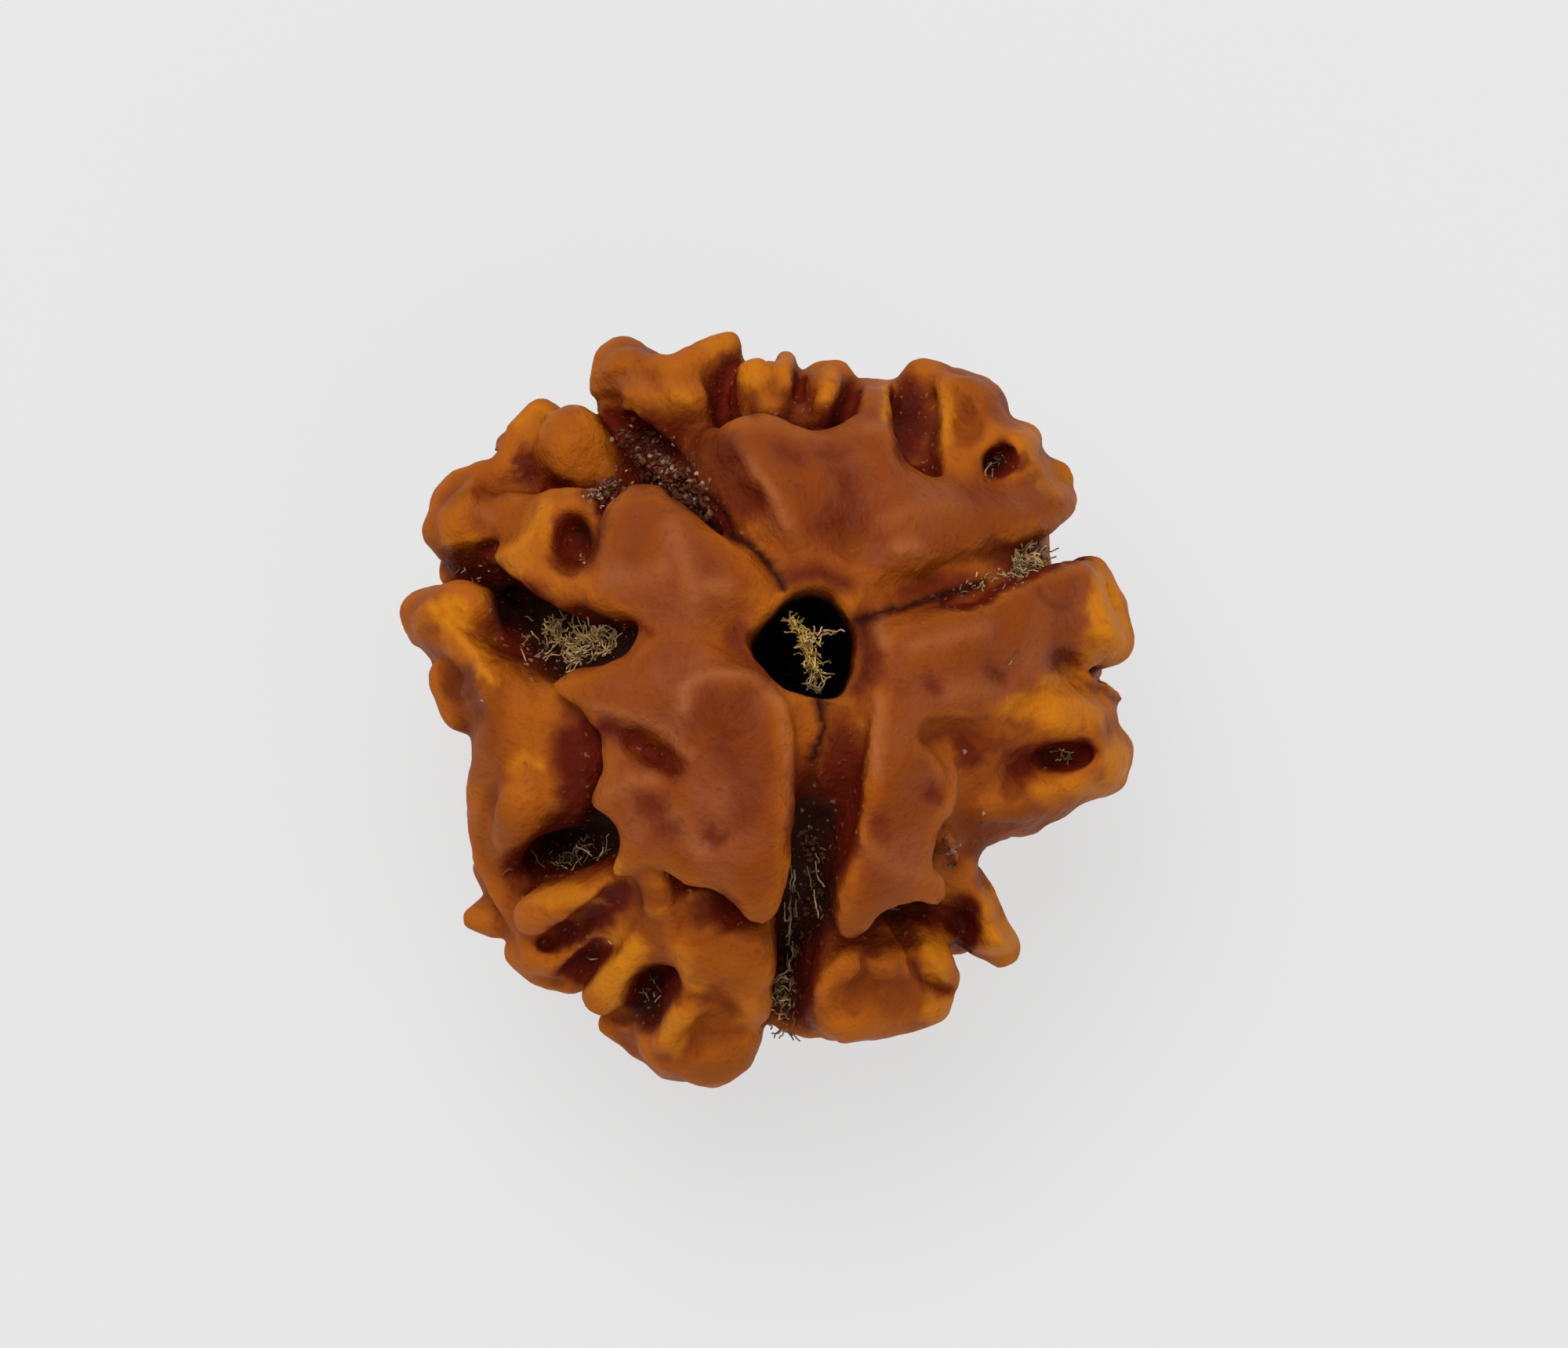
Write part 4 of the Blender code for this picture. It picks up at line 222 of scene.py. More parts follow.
# Knobs, fingers and folds, each along stations of (across, up, distance from the middle, radius)
ridges = {
    "leftFinger": [(-4.8, 3.7, 9.3, 0.7), (-6, 3.95, 9.5, 0.6), (-7, 4.35, 9.65, 0.5),
        (-7.65, 4.6, 9.7, 0.38)],
    "leftFingerBar": [(-7.1, 5, 9.6, 0.5), (-6.75, 5.7, 9.6, 0.5), (-6.2, 6.1, 9.6, 0.5),
        (-5.5, 6.1, 9.5, 0.5)],
    "leftBall": [(-5.65, 7.95, 10.1, 1.15)],
    "leftBallBack": [(-7.6, 7.3, 10.7, 0.55), (-7.2, 8.1, 10.95, 0.6), (-6.65, 8.65, 11, 0.65)],
    "leftShoulder": [(-8.2, 6.7, 10.7, 0.8), (-9, 6.1, 10.95, 0.95), (-9.3, 5.4, 10.9, 0.9)],
    "leftShoulderFront": [(-9, 5.4, 10.6, 0.8), (-7.8, 5.8, 10.1, 0.7), (-7.1, 6, 9.8, 0.5)],
    "leftGapFloor": [(-9, 4.2, 9.9, 0.7)],
    "leftWedge": [(-10.1, 2.85, 10.7, 0.8), (-9.2, 3, 10.2, 0.85), (-8.75, 3.1, 10, 0.75)],
    "leftWedgeCrest": [(-9.6, 2.4, 10.4, 0.6), (-8.9, 1.8, 10.1, 0.5), (-8.2, 1.1, 9.9, 0.5)],
    "leftLowLump": [(-9.3, 0.9, 9.9, 0.7), (-8.9, 0, 9.4, 0.7), (-8.8, 0.7, 9.5, 0.75)],
    "leftRim": [(-8, 0.9, 9.9, 0.6), (-7.6, -0.1, 9.4, 0.7), (-7.9, -1.2, 9.3, 0.7), (-8.2, -2.3, 9.3, 0.6),
        (-8.3, -3.3, 9.4, 0.5), (-8.2, -4.3, 9.6, 0.45), (-7.8, -5.2, 9.7, 0.4), (-7.3, -5.9, 9.7, 0.5)],
    "leftDrop": [(-6.9, -1.8, 9.1, 0.55), (-7.1, -2.4, 9.3, 0.8), (-7.2, -3, 9.5, 0.8)],
    "leftFin": [(-4.9, -5.3, 9.4, 0.5), (-6, -5.7, 9.6, 0.65), (-6.8, -6, 9.9, 0.65)],
    "leftSheet": [(-4.3, -6, 8.6, 0.7), (-5.2, -6.8, 9.2, 0.5), (-6.2, -7.4, 10, 0.55),
        (-6.9, -7.3, 10.3, 0.6)],
    "leftSheetEdge": [(-7.1, -7.1, 10.2, 0.65), (-6.5, -7.7, 10.2, 0.6), (-5.8, -7.8, 9.9, 0.6)],
    "leftBackSpur": [(-8, -6.1, 10.1, 0.65), (-8.6, -6.15, 10.6, 0.45)],
    "bottomFinger": [(-3.6, -6.7, 9.2, 0.45), (-4.2, -7.5, 9.6, 0.55), (-4.8, -8.4, 10.1, 0.62)],
    "bottomFold": [(-1.9, -8.2, 9.7, 0.5), (-2.45, -8.9, 10.25, 0.45), (-3, -9.7, 10.7, 0.45)],
    "bottomLump": [(-1.6, -9.8, 10.3, 1.4)],
    "bottomLumpSides": [(-0.9, -9.6, 10.1, 0.9), (-2.9, -9.8, 10.5, 0.9)],
    "bottomLowEdge": [(-4.5, -9.2, 10.3, 0.5), (-3.7, -9.8, 10.5, 0.6)],
    "topBall": [(-4.2, 10.2, 11.1, 0.95), (-4.55, 9.7, 10.85, 0.7)],
    "topBallFront": [(-3.8, 9.6, 10.5, 0.8), (-3.5, 9.2, 10.3, 0.85), (-2.9, 9, 10.15, 0.8),
        (-2.3, 9.1, 10.15, 0.75)],
    "topSpur": [(-2.2, 10.2, 10.9, 0.6), (-1.5, 10.6, 11, 0.55), (-1.1, 10.8, 11.1, 0.45)],
    "topTooth": [(-0.4, 9.4, 10, 0.55), (-0.35, 9.85, 10.4, 0.62)],
    "topThinTooth": [(0.55, 9.9, 10.5, 0.35), (0.6, 10.3, 10.6, 0.35)],
    "topRoundTooth": [(1.9, 9.65, 10.1, 0.85), (1.6, 9.2, 9.9, 0.75)],
    "topLowFloor": [(-1.4, 9.2, 9.1, 0.5), (-1.4, 9.8, 9.8, 0.4)],
    "topRightLump": [(4.8, 9.6, 10.8, 0.9), (5.6, 9.3, 10.7, 0.9), (6.4, 9, 10.9, 0.9)],
    "topRightWall": [(5.6, 8.4, 10.2, 0.7), (6, 7.6, 9.9, 0.7)],
    "topRightLink": [(6.5, 8.3, 10.3, 0.5)],
    "topRightKnob": [(7.6, 8, 10.9, 0.65)],
    "topRightEnd": [(8.6, 6.9, 11, 0.6), (8, 7.2, 10.6, 0.5)],
    "rightKnob": [(9.6, 4, 10.5, 0.6), (10.1, 3.1, 10.6, 0.65), (10.15, 2.15, 10.5, 0.85),
        (9.6, 2, 10.2, 0.6)],
    "rightSpur": [(9.4, 0.8, 10.1, 0.3), (10.3, 0.35, 10.4, 0.32)],
    "rightHook": [(7.6, -0.1, 9.6, 0.5), (8.6, -0.1, 9.8, 0.7), (9.7, -0.3, 10, 0.65),
        (10.4, -1.2, 10.5, 0.55), (10.2, -1.9, 10.4, 0.6)],
    "rightSlope": [(9.6, -2.2, 10.1, 0.5), (8.5, -2.3, 9.6, 0.65), (7.4, -2.6, 9.2, 0.8),
        (6.4, -2.6, 8.9, 0.8)],
    "rightSlopeFoot": [(7.6, -3, 8.6, 0.8)],
    "rightLeg": [(6, -4.9, 8.3, 0.5), (6.4, -5.8, 9, 0.6), (6.8, -6.7, 9.8, 0.65), (7, -7.1, 10.1, 0.6)],
    "rightSmallKnobs": [(4.7, -7.1, 9.3, 0.5), (5.1, -7.4, 9.6, 0.5), (5.35, -7.9, 9.9, 0.45)],
    "rightFootLump": [(2.5, -8.6, 9.75, 1.25), (3.6, -8.6, 9.8, 1.15), (4.7, -8.5, 10, 0.9)],
    "rightFootBump": [(2.4, -7.45, 9.6, 0.55)],
    "rightFlake": [(5.3, -3.7, 9.3, 0.25), (5.6, -4.4, 9.1, 0.22)],
    "upperLeftSeamFloor": [(-3.9, 8.2, 9, 0.4), (-4.7, 8.95, 9.95, 0.35)],
    "topLeftFlank": [(-2, 8, 8.9, 0.45), (-1.9, 7.3, 8.75, 0.55), (-1.5, 6.6, 8.7, 0.55),
        (-0.9, 5.9, 8.75, 0.5), (-0.3, 5.3, 8.9, 0.4)],
    "lowerSeamFloor": [(1, -7.8, 8.2, 0.45), (0.8, -8.6, 8.9, 0.45), (0.6, -9.15, 9.4, 0.42)],
    "leftLandWeb": [(-3.3, -4.4, 8.9, 0.6), (-3.1, -5.5, 9, 0.6)],
    "leftLandWebLow": [(-1.9, -5.3, 8.6, 0.6), (-1.7, -6.2, 8.7, 0.6)],
    "rightEdgeFill": [(5, -3.4, 8.7, 0.45), (5.15, -4.5, 8.5, 0.5)],
    "topLeftFlankHigh": [(-1.5, 7.9, 9.3, 0.5), (-1.4, 7.2, 9.1, 0.6), (-0.9, 6.4, 9, 0.6),
        (-0.3, 5.7, 9, 0.5)],
    "leftFaceSlope": [(-6.4, -0.1, 8.8, 0.7), (-6.2, -1.2, 8.7, 0.7), (-6, -2.3, 8.7, 0.7)],
    "leftFaceSlopeLow": [(-5.5, -0.4, 8.5, 0.7), (-5.3, -1.4, 8.45, 0.7), (-5.5, -2.4, 8.4, 0.6)],
    "rightFootLink": [(5.3, -6.5, 8.9, 0.45), (4.6, -6.6, 8.7, 0.5)],
    "topBallFrontHigh": [(-3.3, 9.9, 10.85, 0.75), (-2.6, 9.8, 10.75, 0.7)],
    "leftFaceFill": [(-7.3, 0.3, 9.2, 0.8), (-7.2, -0.6, 9.1, 0.8), (-7.4, -1.4, 9.1, 0.8),
        (-7.9, -2.2, 9.2, 0.7), (-8.1, -3.1, 9.3, 0.6)],
    "rightFootSmallBumps": [(3.6, -7.55, 9.75, 0.42)],
    "lowerSeamEnd": [(0.3, -9, 9.3, 0.35), (1.2, -9.2, 9.5, 0.5), (1.9, -9, 9.6, 0.6)],
}

# Seams, pits and gaps, in the same way. They are open towards the camera.
hollows = {
    "upperLeftCrack": [(0.55, 3.6, 9.2, 0.12), (0.05, 4.35, 9.2, 0.13), (-0.35, 4.8, 9.1, 0.16),
        (-1, 5.15, 9, 0.2)],
    "upperLeftSeam": [(-1, 5.2, 8.9, 0.25), (-2, 6.2, 8.7, 0.4), (-2.9, 7.2, 8.7, 0.6), (-3.5, 8, 9, 0.5),
        (-4, 8.55, 9.8, 0.3)],
    "rightCrack": [(2.7, 2.65, 9.2, 0.12), (4, 3, 9.3, 0.14), (5.2, 3.4, 9.3, 0.2), (6.4, 3.75, 9.4, 0.2)],
    "lowerCrack": [(1.55, 0.5, 9.1, 0.12), (1.7, -0.5, 9, 0.13), (1.4, -1.5, 8.9, 0.18)],
    "lowerSeam": [(1.35, -2, 8.6, 0.3), (1.4, -3, 8.3, 0.5), (1.45, -4.2, 8.2, 0.6), (1.3, -5.6, 8.4, 0.6),
        (0.9, -8, 9, 0.45)],
    "pitByRightEnd": [(6.7, 7.25, 10.4, 0.4), (7.1, 7.6, 10.85, 0.3)],
    "pitInHook": [(7.9, -1.4, 9.25, 0.28), (8.5, -1.3, 9.55, 0.36), (9.1, -1.2, 10.15, 0.33)],
    "pitByBottomFinger": [(-3.3, -7.9, 8.95, 0.42), (-3.45, -8.5, 9.65, 0.5), (-3.55, -8.95, 10.1, 0.5)],
    "pitLeftLow": [(-6.5, -4.25, 8.1, 0.6), (-5.8, -4.1, 7.9, 0.75), (-5, -3.9, 7.9, 0.6)],
    "pitLeftWide": [(-7.4, 3.15, 8.2, 0.55), (-6.9, 2.3, 8.8, 0.65), (-5.6, 2.05, 8.85, 0.6),
        (-4.5, 2.25, 9, 0.4)],
    "pitBehindFinger": [(-5.6, 5.15, 9.15, 0.5), (-5.45, 4.65, 9.1, 0.4)],
    "pitByLeftBall": [(-7, 7.25, 10.6, 0.36), (-6.9, 6.8, 10.2, 0.28)],
    "pitByRightLeg": [(5.7, -6.2, 9, 0.45)],
    "pitUnderLeftLand": [(-5.15, -7.25, 9.35, 0.3)],
    "gapByLeftFinger": [(-9.3, 4.2, 10.45, 0.2), (-8.6, 4.2, 9.9, 0.3), (-7.7, 3.7, 9, 0.4)],
    "dipBehindFinger": [(-5.75, 5.1, 9.95, 0.8), (-5.7, 4.5, 9.9, 0.6)],
}

# Small pits, in the same way
finePits = {
    "onTopLand": [(2.05, 7.6, 10.35, 0.13)],
    "onTopLandLeft": [(0.85, 7.7, 10.4, 0.1)],
    "onTopLandMiddle": [(2.35, 7.1, 10.2, 0.1)],
    "onRightLand": [(6.9, 0.95, 10, 0.14), (7, 0.8, 10, 0.1)],
    "onLowerLand": [(-1.4, -3.6, 9.95, 0.14)],
    "byLowerEdge": [(4.95, -2.35, 9.6, 0.22)],
    "leftKnob": [(-8.3, 5.75, 11, 0.1)],
    "besideFinger": [(-5.25, 5.4, 9.9, 0.4), (-5.2, 4.8, 9.85, 0.42)],
    "underLeftFinger": [(-4.5, -5.55, 9.33, 0.4), (-5.2, -6.15, 9.42, 0.4), (-6, -6.65, 9.65, 0.35),
        (-6.5, -6.85, 9.94, 0.3)],
    "betweenLeftFolds": [(-4.8, -6.95, 9.48, 0.3), (-5.4, -7.4, 9.55, 0.3), (-5.9, -7.8, 10.17, 0.28)],
    "besideRightEndPit": [(7.4, 7.2, 11.05, 0.16)],
    "besideHookPit": [(7.6, -1.5, 9.75, 0.4), (9.4, -1.25, 10.25, 0.35)],
    "besideRoundTooth": [(1.05, 9.75, 10.26, 0.18), (0.95, 9.2, 9.96, 0.2)],
    "besideThinTooth": [(0.22, 9.9, 10.32, 0.12), (0.17, 9.2, 9.96, 0.12)],
    "onTooth": [(-0.4, 8.95, 10.12, 0.22)],
}

# Small knobs, in the same way as the ridges
fineKnobs = {
    "roundToothRib": [(1.95, 10, 10.72, 0.32), (1.85, 9.4, 10.48, 0.32), (1.7, 8.9, 10.15, 0.3)],
    "thinToothFront": [(0.58, 10.2, 10.62, 0.3), (0.55, 9.6, 10.32, 0.28), (0.5, 9.1, 10.05, 0.25)],
}

# Lines and spots of fine relief, as (half width, height, strength of the tint, path of (across, up))
strokes = {
    # painted sheen: a pale tint along raised rims and crests, where the light catches them
    "sheen": [
        (0.2, 0.1, 0.7, [(-2.4, 0.1), (-2.3, 0.8), (-1.6, 1.1), (-0.7, 1.1), (0.1, 0.8), (0.5, 0.1)]),
        (0.18, 0.08, 0.5, [(0.5, 0.1), (0.7, -0.9), (0.75, -2), (0.7, -3.2)]),
        (0.2, 0.08, 0.5, [(-4.9, 0.1), (-3.8, -0.2), (-2.9, -0.6), (-2.2, -1.3)]),
        (0.3, 0.08, 0.5, [(-4.6, -2.4), (-3.9, -2), (-3.3, -2)]),
        (0.35, 0.06, 0.5, [(-2.7, 5.3), (-2.3, 4.2), (-2.1, 3.4)]),
        (0.35, 0.05, 0.45, [(-4.4, 4), (-3.6, 3.8), (-3, 4.2)]),
        (0.3, 0.06, 0.45, [(-1.7, 3.7), (-1.2, 3.6)]),
        (0.22, 0.12, 0.55, [(-0.9, 7.9), (-0.3, 7.1), (0.3, 6.3), (0.6, 5.4)]),
        (0.3, 0.1, 0.7, [(3.9, 4.7), (4.4, 4.8)]),
        (0.3, 0.06, 0.35, [(3.4, 5.6), (4.4, 5.9), (5.5, 6.1)]),
        (0.2, 0.06, 0.5, [(3, 8.3), (3.5, 8.3)]),
        (0.25, 0.06, 0.6, [(3.3, 2.5), (3.5, 2)]),
        (0.3, 0.06, 0.5, [(4.4, 1.9), (5.4, 2.2), (6.4, 2.4)]),
        (0.4, 0.06, 0.4, [(5.7, 0.5), (7, 0.8)]),
        (0.22, 0.08, 0.6, [(3.35, 0.3), (3.25, -0.6), (3.2, -1.8)]),
        (0.14, 0.08, 0.45, [(5.5, -1.6), (5.65, -2.4), (5.35, -3)]),
        (0.3, 0.06, 0.35, [(3, -4), (3.8, -4.6), (4.6, -4.9)]),
        (0.3, 0.06, 0.35, [(-2.6, -3), (-1.9, -4.2)]),
        (0.2, 0.06, 0.4, [(-4.5, 9.6), (-4, 9.8), (-3.6, 9.6)]),
        (0.15, 0.05, 0.5, [(-8.5, 5.9), (-8.1, 5.6)]),
        (0.3, 0.05, 0.35, [(-8.4, -0.6), (-8.2, -2)])],
    "yellow": [
        (0.16, 0.14, 0.9, [(-9.8, 3.1), (-9.1, 2.3), (-8.5, 1.6), (-8, 0.8)]),
        (0.18, 0.1, 0.7, [(-7.8, 4.5), (-7.2, 4.9), (-6.8, 5.5), (-6.5, 6.1)]),
        (0.24, 0.08, 0.6, [(5.3, 8), (5.4, 8.9), (5.3, 9.5)]),
        (0.2, 0.08, 0.7, [(-7.5, -1.7), (-7, -1.3), (-6.6, -1.6)]),
        (0.2, 0.06, 0.6, [(1.95, 9.9), (1.8, 9.2)]),
        (0.25, 0.08, 0.8, [(9.6, 2.3), (10.3, 2.1), (10.7, 2)]),
        (0.2, 0.08, 0.7, [(8.2, 0.5), (9, 0.2), (9.9, 0)]),
        (0.25, 0.06, 0.6, [(8, -2.3), (9, -2.3), (9.9, -2.4)]),
        (0.2, 0.08, 0.6, [(4.7, -7), (5, -7.4), (5.3, -7.9)]),
        (0.2, 0.06, 0.5, [(4.9, -8.4), (5, -8.9)]),
        (0.2, 0.06, 0.5, [(-2.6, -7), (-2.3, -7.9), (-1.9, -8.1)]),
        (0.18, 0.06, 0.5, [(-0.8, -9), (-0.3, -9.3)]),
        (0.2, 0.08, 0.7, [(-2.9, -9.9), (-2.3, -9.1)]),
        (0.16, 0.06, 0.6, [(-7.3, 8.5), (-6.8, 9), (-6.4, 8.8)]),
        (0.14, 0.05, 0.7, [(3.6, 9.6), (3.55, 8.6)])],
    # partly the stone's own maroon in grooves, partly painted shade beside knobs, in valleys and round the
    # mouth
    "maroon": [
        (0.32, -0.3, 1, [(-4.7, -0.5), (-4, -0.8), (-3.3, -1.2), (-2.7, -1.7)]),
        (0.5, -0.12, 0.55, [(-1.5, 0.3), (-0.5, -0.1)]),
        (0.45, -0.08, 0.4, [(-1.2, -1.2), (-0.6, -2.2), (-0.7, -3.2)]),
        (0.4, -0.14, 0.6, [(2.3, 6.9), (2.6, 5.9), (2.3, 4.9)]),
        (0.25, -0.1, 0.6, [(0.5, 7.6), (1, 7.4)]),
        (0.2, -0.1, 0.6, [(4.8, 0.8), (5, 0.6)]),
        (0.2, -0.1, 0.6, [(6.7, 1.1), (7, 0.9)]),
        (0.12, -0.06, 0.5, [(8, 3.6), (8.3, 3.2), (8.7, 3.1)]),
        (0.25, -0.12, 0.7, [(8.6, 1.6), (8.9, 1.3)]),
        (0.12, -0.08, 0.6, [(9.1, 1), (9.7, 0.7), (10.4, 0.3)]),
        (0.25, -0.12, 0.7, [(4.8, -0.8), (5.5, -0.6), (6.3, -0.8)]),
        (0.2, -0.1, 0.6, [(5.3, -3.7), (5.5, -4.5)]),
        (0.13, -0.16, 0.9, [(4.3, -7.4), (4.5, -7.8), (5, -8.1), (5.5, -8.3)]),
        (0.12, -0.1, 0.5, [(2.9, -7.2), (2.95, -7.7), (2.6, -8.1)]),
        (0.09, -0.05, 0.4, [(2.6, -8.2), (2.4, -8.6), (2.6, -9), (2.9, -8.7), (2.8, -8.3)]),
        (0.14, -0.1, 0.5, [(-2.2, -8.4), (-1.2, -8.6), (-0.9, -9)]),
        (0.15, -0.08, 0.4, [(-5, 9.2), (-4.4, 9.2), (-3.8, 8.9)]),
        (0.12, -0.06, 0.4, [(-9, 0.2), (-8.5, 0.5), (-8.3, 0.9)]),
        (0.25, -0.06, 0.4, [(-7.8, 6.3), (-8.6, 6.5), (-9.4, 6.2)]),
        (0.14, -0.1, 0.6, [(-3.4, 2.3), (-3.8, 2.5)]),
        (0.3, -0.05, 0.6, [(-3, -3.4), (-2.6, -3.5)]),
        (0.2, -0.08, 0.5, [(1.6, 7.6), (2.2, 7.5)]),
        (0.35, 0, 0.8, [(-0.9, 2.3), (-0.6, 1.6), (0.1, 1)]),
        (0.35, 0, 0.9, [(0.8, 3.9), (1.6, 4.05), (2.3, 3.7)]),
        (0.35, 0, 0.9, [(2.8, 2.6), (3, 1.6), (2.7, 0.7)]),
        (0.18, 0, 0.7, [(-5.1, 4.2), (-4.95, 4.9), (-4.75, 5.8)]),
        (0.3, 0, 0.8, [(-5.2, 6.3), (-4.6, 6.5), (-4.1, 6.9)]),
        (0.3, 0, 0.8, [(0.8, 8.8), (0.6, 9.3)]),
        (0.25, 0, 0.9, [(2.55, 9.6), (2.4, 8.9), (1.9, 8.5)]),
        (0.25, 0, 0.9, [(-0.5, 9.1), (-0.3, 8.9)])],
}

# Maroon places of the view, partly the stone's own colour and partly painted shade in valleys, pits and round
# the mouth, as (across, up, half width, half height, strength)
maroonAndShadePlaces = [
    (-1.6, 7.3, 1.1, 1.2, 0.8), (-0.9, 6.2, 0.8, 0.9, 0.8), (-3.3, 7.7, 1.2, 1.4, 0.9),
    (-2, 6.3, 1, 0.6, 0.8), (-1.4, 9.5, 0.3, 0.6, 0.9), (4.3, 8.5, 0.5, 1.3, 1), (4.8, 7.5, 0.4, 0.4, 0.8),
    (2.5, 9.3, 0.3, 0.5, 0.7), (1.9, 8.8, 0.7, 0.35, 0.6), (-0.4, 9.1, 0.25, 0.3, 0.7),
    (7.3, 7.4, 0.45, 0.35, 0.9), (6.9, 7.5, 0.5, 0.6, 1), (5.2, 3.6, 1.4, 0.5, 0.8),
    (4.4, 3.5, 0.8, 0.4, 0.7), (7.2, 4.6, 0.9, 0.3, 0.8), (2.3, 5.6, 0.7, 1.2, 0.35),
    (3, 1.6, 0.5, 0.9, 0.7), (-0.8, 2.1, 0.5, 0.7, 0.7), (2.2, -1.6, 0.7, 1.5, 0.9),
    (1.4, -3.5, 0.8, 2.5, 0.9), (2.4, -3.6, 0.4, 1.2, 0.8), (5.9, -1.2, 0.5, 0.5, 0.9),
    (5, -0.7, 0.5, 0.25, 0.4), (6.4, -0.9, 0.8, 0.25, 0.5), (7.5, -1.6, 0.55, 0.6, 1),
    (9.45, -1.25, 0.35, 0.4, 1), (8.6, -1.3, 0.9, 0.5, 1), (7.3, -2.3, 0.35, 0.35, 0.5),
    (8.9, 1.4, 0.3, 0.35, 0.5), (5, -2.4, 0.25, 0.35, 0.7), (3.4, -3.5, 0.35, 0.35, 0.4),
    (3.2, -6.8, 1.3, 0.35, 0.8), (4.9, -6.1, 1.1, 0.4, 0.9), (5.9, -6.2, 0.6, 0.9, 0.9),
    (-1.5, -5.9, 0.9, 0.6, 0.9), (-0.4, -6.6, 0.7, 0.3, 0.6), (-4.5, -0.65, 0.45, 0.3, 0.7),
    (-3.8, -0.9, 0.5, 0.35, 0.9), (-3.1, -1.3, 0.5, 0.35, 0.9), (-1.4, -3.6, 0.3, 0.3, 0.7),
    (-3.4, -2.8, 0.5, 0.3, 0.6), (-5.5, -1.3, 0.8, 1.3, 1), (-5.6, -2.5, 0.6, 0.6, 1),
    (-5.7, -0.2, 0.4, 0.5, 0.7), (-6.3, 2.2, 1.9, 1.2, 1), (-7.2, 3, 0.9, 0.9, 1), (-5.65, 5, 0.6, 0.9, 1),
    (-6, 4.5, 0.5, 0.5, 0.5), (-7, 7.2, 0.4, 0.5, 0.9), (-8.7, 4.3, 0.9, 0.25, 0.9),
    (-9, 0.8, 0.6, 0.6, 0.7), (-4.3, -5.5, 0.6, 0.5, 1), (-5, -6.1, 0.6, 0.5, 1), (-5.8, -6.6, 0.6, 0.4, 1),
    (-6.4, -6.9, 0.5, 0.25, 0.8), (-4.9, -7.1, 0.5, 0.35, 1), (-5.5, -7.6, 0.5, 0.35, 1),
    (-6.1, -7.95, 0.4, 0.2, 0.7), (-3.2, -5.4, 1, 0.4, 0.5), (-3.4, -8.4, 0.6, 0.9, 1),
    (-2.6, -8.3, 0.3, 0.4, 0.6), (-6.9, -4.5, 0.8, 0.5, 0.7), (0.8, -7.8, 0.6, 1.6, 0.9),
    (1.2, -8.6, 0.3, 1, 0.6), (-4.4, 8.6, 0.5, 0.4, 0.8), (-1.1, 0, 1.1, 0.7, 0.5),
    (-0.3, -1.6, 0.5, 1.6, 0.3), (-1, -7.3, 1.2, 0.9, 0.35), (-1.6, -10.2, 1.4, 0.9, 0.35),
    (3.4, -8.4, 1.4, 0.8, 0.35), (6.2, 9.3, 0.9, 0.8, 0.3), (-4, 10.6, 0.8, 0.6, 0.25),
    (-8.2, -0.9, 0.8, 1.6, 0.3), (1, 9.2, 0.6, 0.6, 0.35), (0.9, 9.9, 0.25, 0.5, 0.3),
    (7.6, -3.1, 1.6, 0.5, 0.4), (6.3, -3.6, 0.7, 0.8, 0.5), (4.3, 8.9, 0.5, 1.2, 0.9)]

# Painted shade at the bottom of pits, in the same way
pitBottomShades = [
    (6.75, 7.3, 0.35, 0.35, 0.9), (8.5, -1.3, 0.6, 0.3, 0.9), (-3.5, -8.8, 0.5, 0.5, 1),
    (-3.3, -8, 0.4, 0.5, 0.6), (-7, 7.2, 0.35, 0.5, 0.8), (-5.3, 5.2, 0.4, 0.45, 0.6),
    (-5, -6.1, 0.5, 0.25, 0.4), (-5.2, -7.2, 0.4, 0.25, 0.5), (-7.6, 3.2, 0.7, 0.7, 1),
    (1.4, -4.4, 0.8, 2.6, 0.9), (0.8, -8, 0.4, 1.2, 0.6), (-3.4, 7.6, 0.7, 1, 0.5),
    (4.2, 8.9, 0.35, 0.9, 0.6), (5.8, -6.2, 0.4, 0.6, 0.5)]

# Lighter, more yellow places, in the same way
brights = [
    (-4.4, -7.8, 0.8, 1.2, 1), (-4, -7.1, 0.4, 0.6, 0.5), (10.3, 2.3, 0.6, 0.9, 0.9), (9, 0, 1.2, 0.5, 0.7),
    (10.4, -1.5, 0.5, 0.7, 0.8), (-9.2, 2.8, 0.6, 0.7, 0.9), (-8.3, 1.5, 0.3, 0.6, 0.6),
    (-0.4, 10, 0.5, 0.5, 0.7), (0.5, 10.1, 0.3, 0.5, 0.4), (7, -6.8, 0.6, 0.7, 0.8),
    (6.6, -5.8, 0.3, 0.6, 0.6), (5, -7.3, 0.5, 0.6, 0.8), (-2.7, -9.4, 0.35, 0.8, 0.8),
    (5.3, 8.9, 0.25, 0.7, 0.8), (-8.9, 4.9, 0.7, 0.25, 0.5), (-7.4, 4.4, 0.5, 0.5, 0.5),
    (-6.5, 5.6, 0.3, 0.7, 0.5), (-4.5, -4.8, 0.25, 0.4, 0.7), (-6, -5.5, 1.2, 0.35, 0.6),
    (7.8, 8.1, 0.4, 0.6, 0.5), (8.6, 6.8, 0.5, 0.5, 0.4), (-1.3, 10.8, 0.6, 0.4, 0.5),
    (-2.9, 9, 0.8, 0.4, 0.4), (9.2, -2.2, 0.9, 0.3, 0.5), (-5, 8.6, 0.6, 0.5, 0.3), (-7, 8.6, 0.5, 0.6, 0.4),
    (5.2, -8.9, 0.5, 0.4, 0.6), (-0.4, -9, 0.3, 0.5, 0.3), (10, 3, 0.6, 1.2, 1), (-4.2, -7.6, 0.7, 1, 1),
    (7.6, 0.2, 1, 0.4, 0.6), (8.8, 0.9, 0.8, 0.4, 0.6), (9.6, 1.8, 0.5, 0.5, 0.6)]


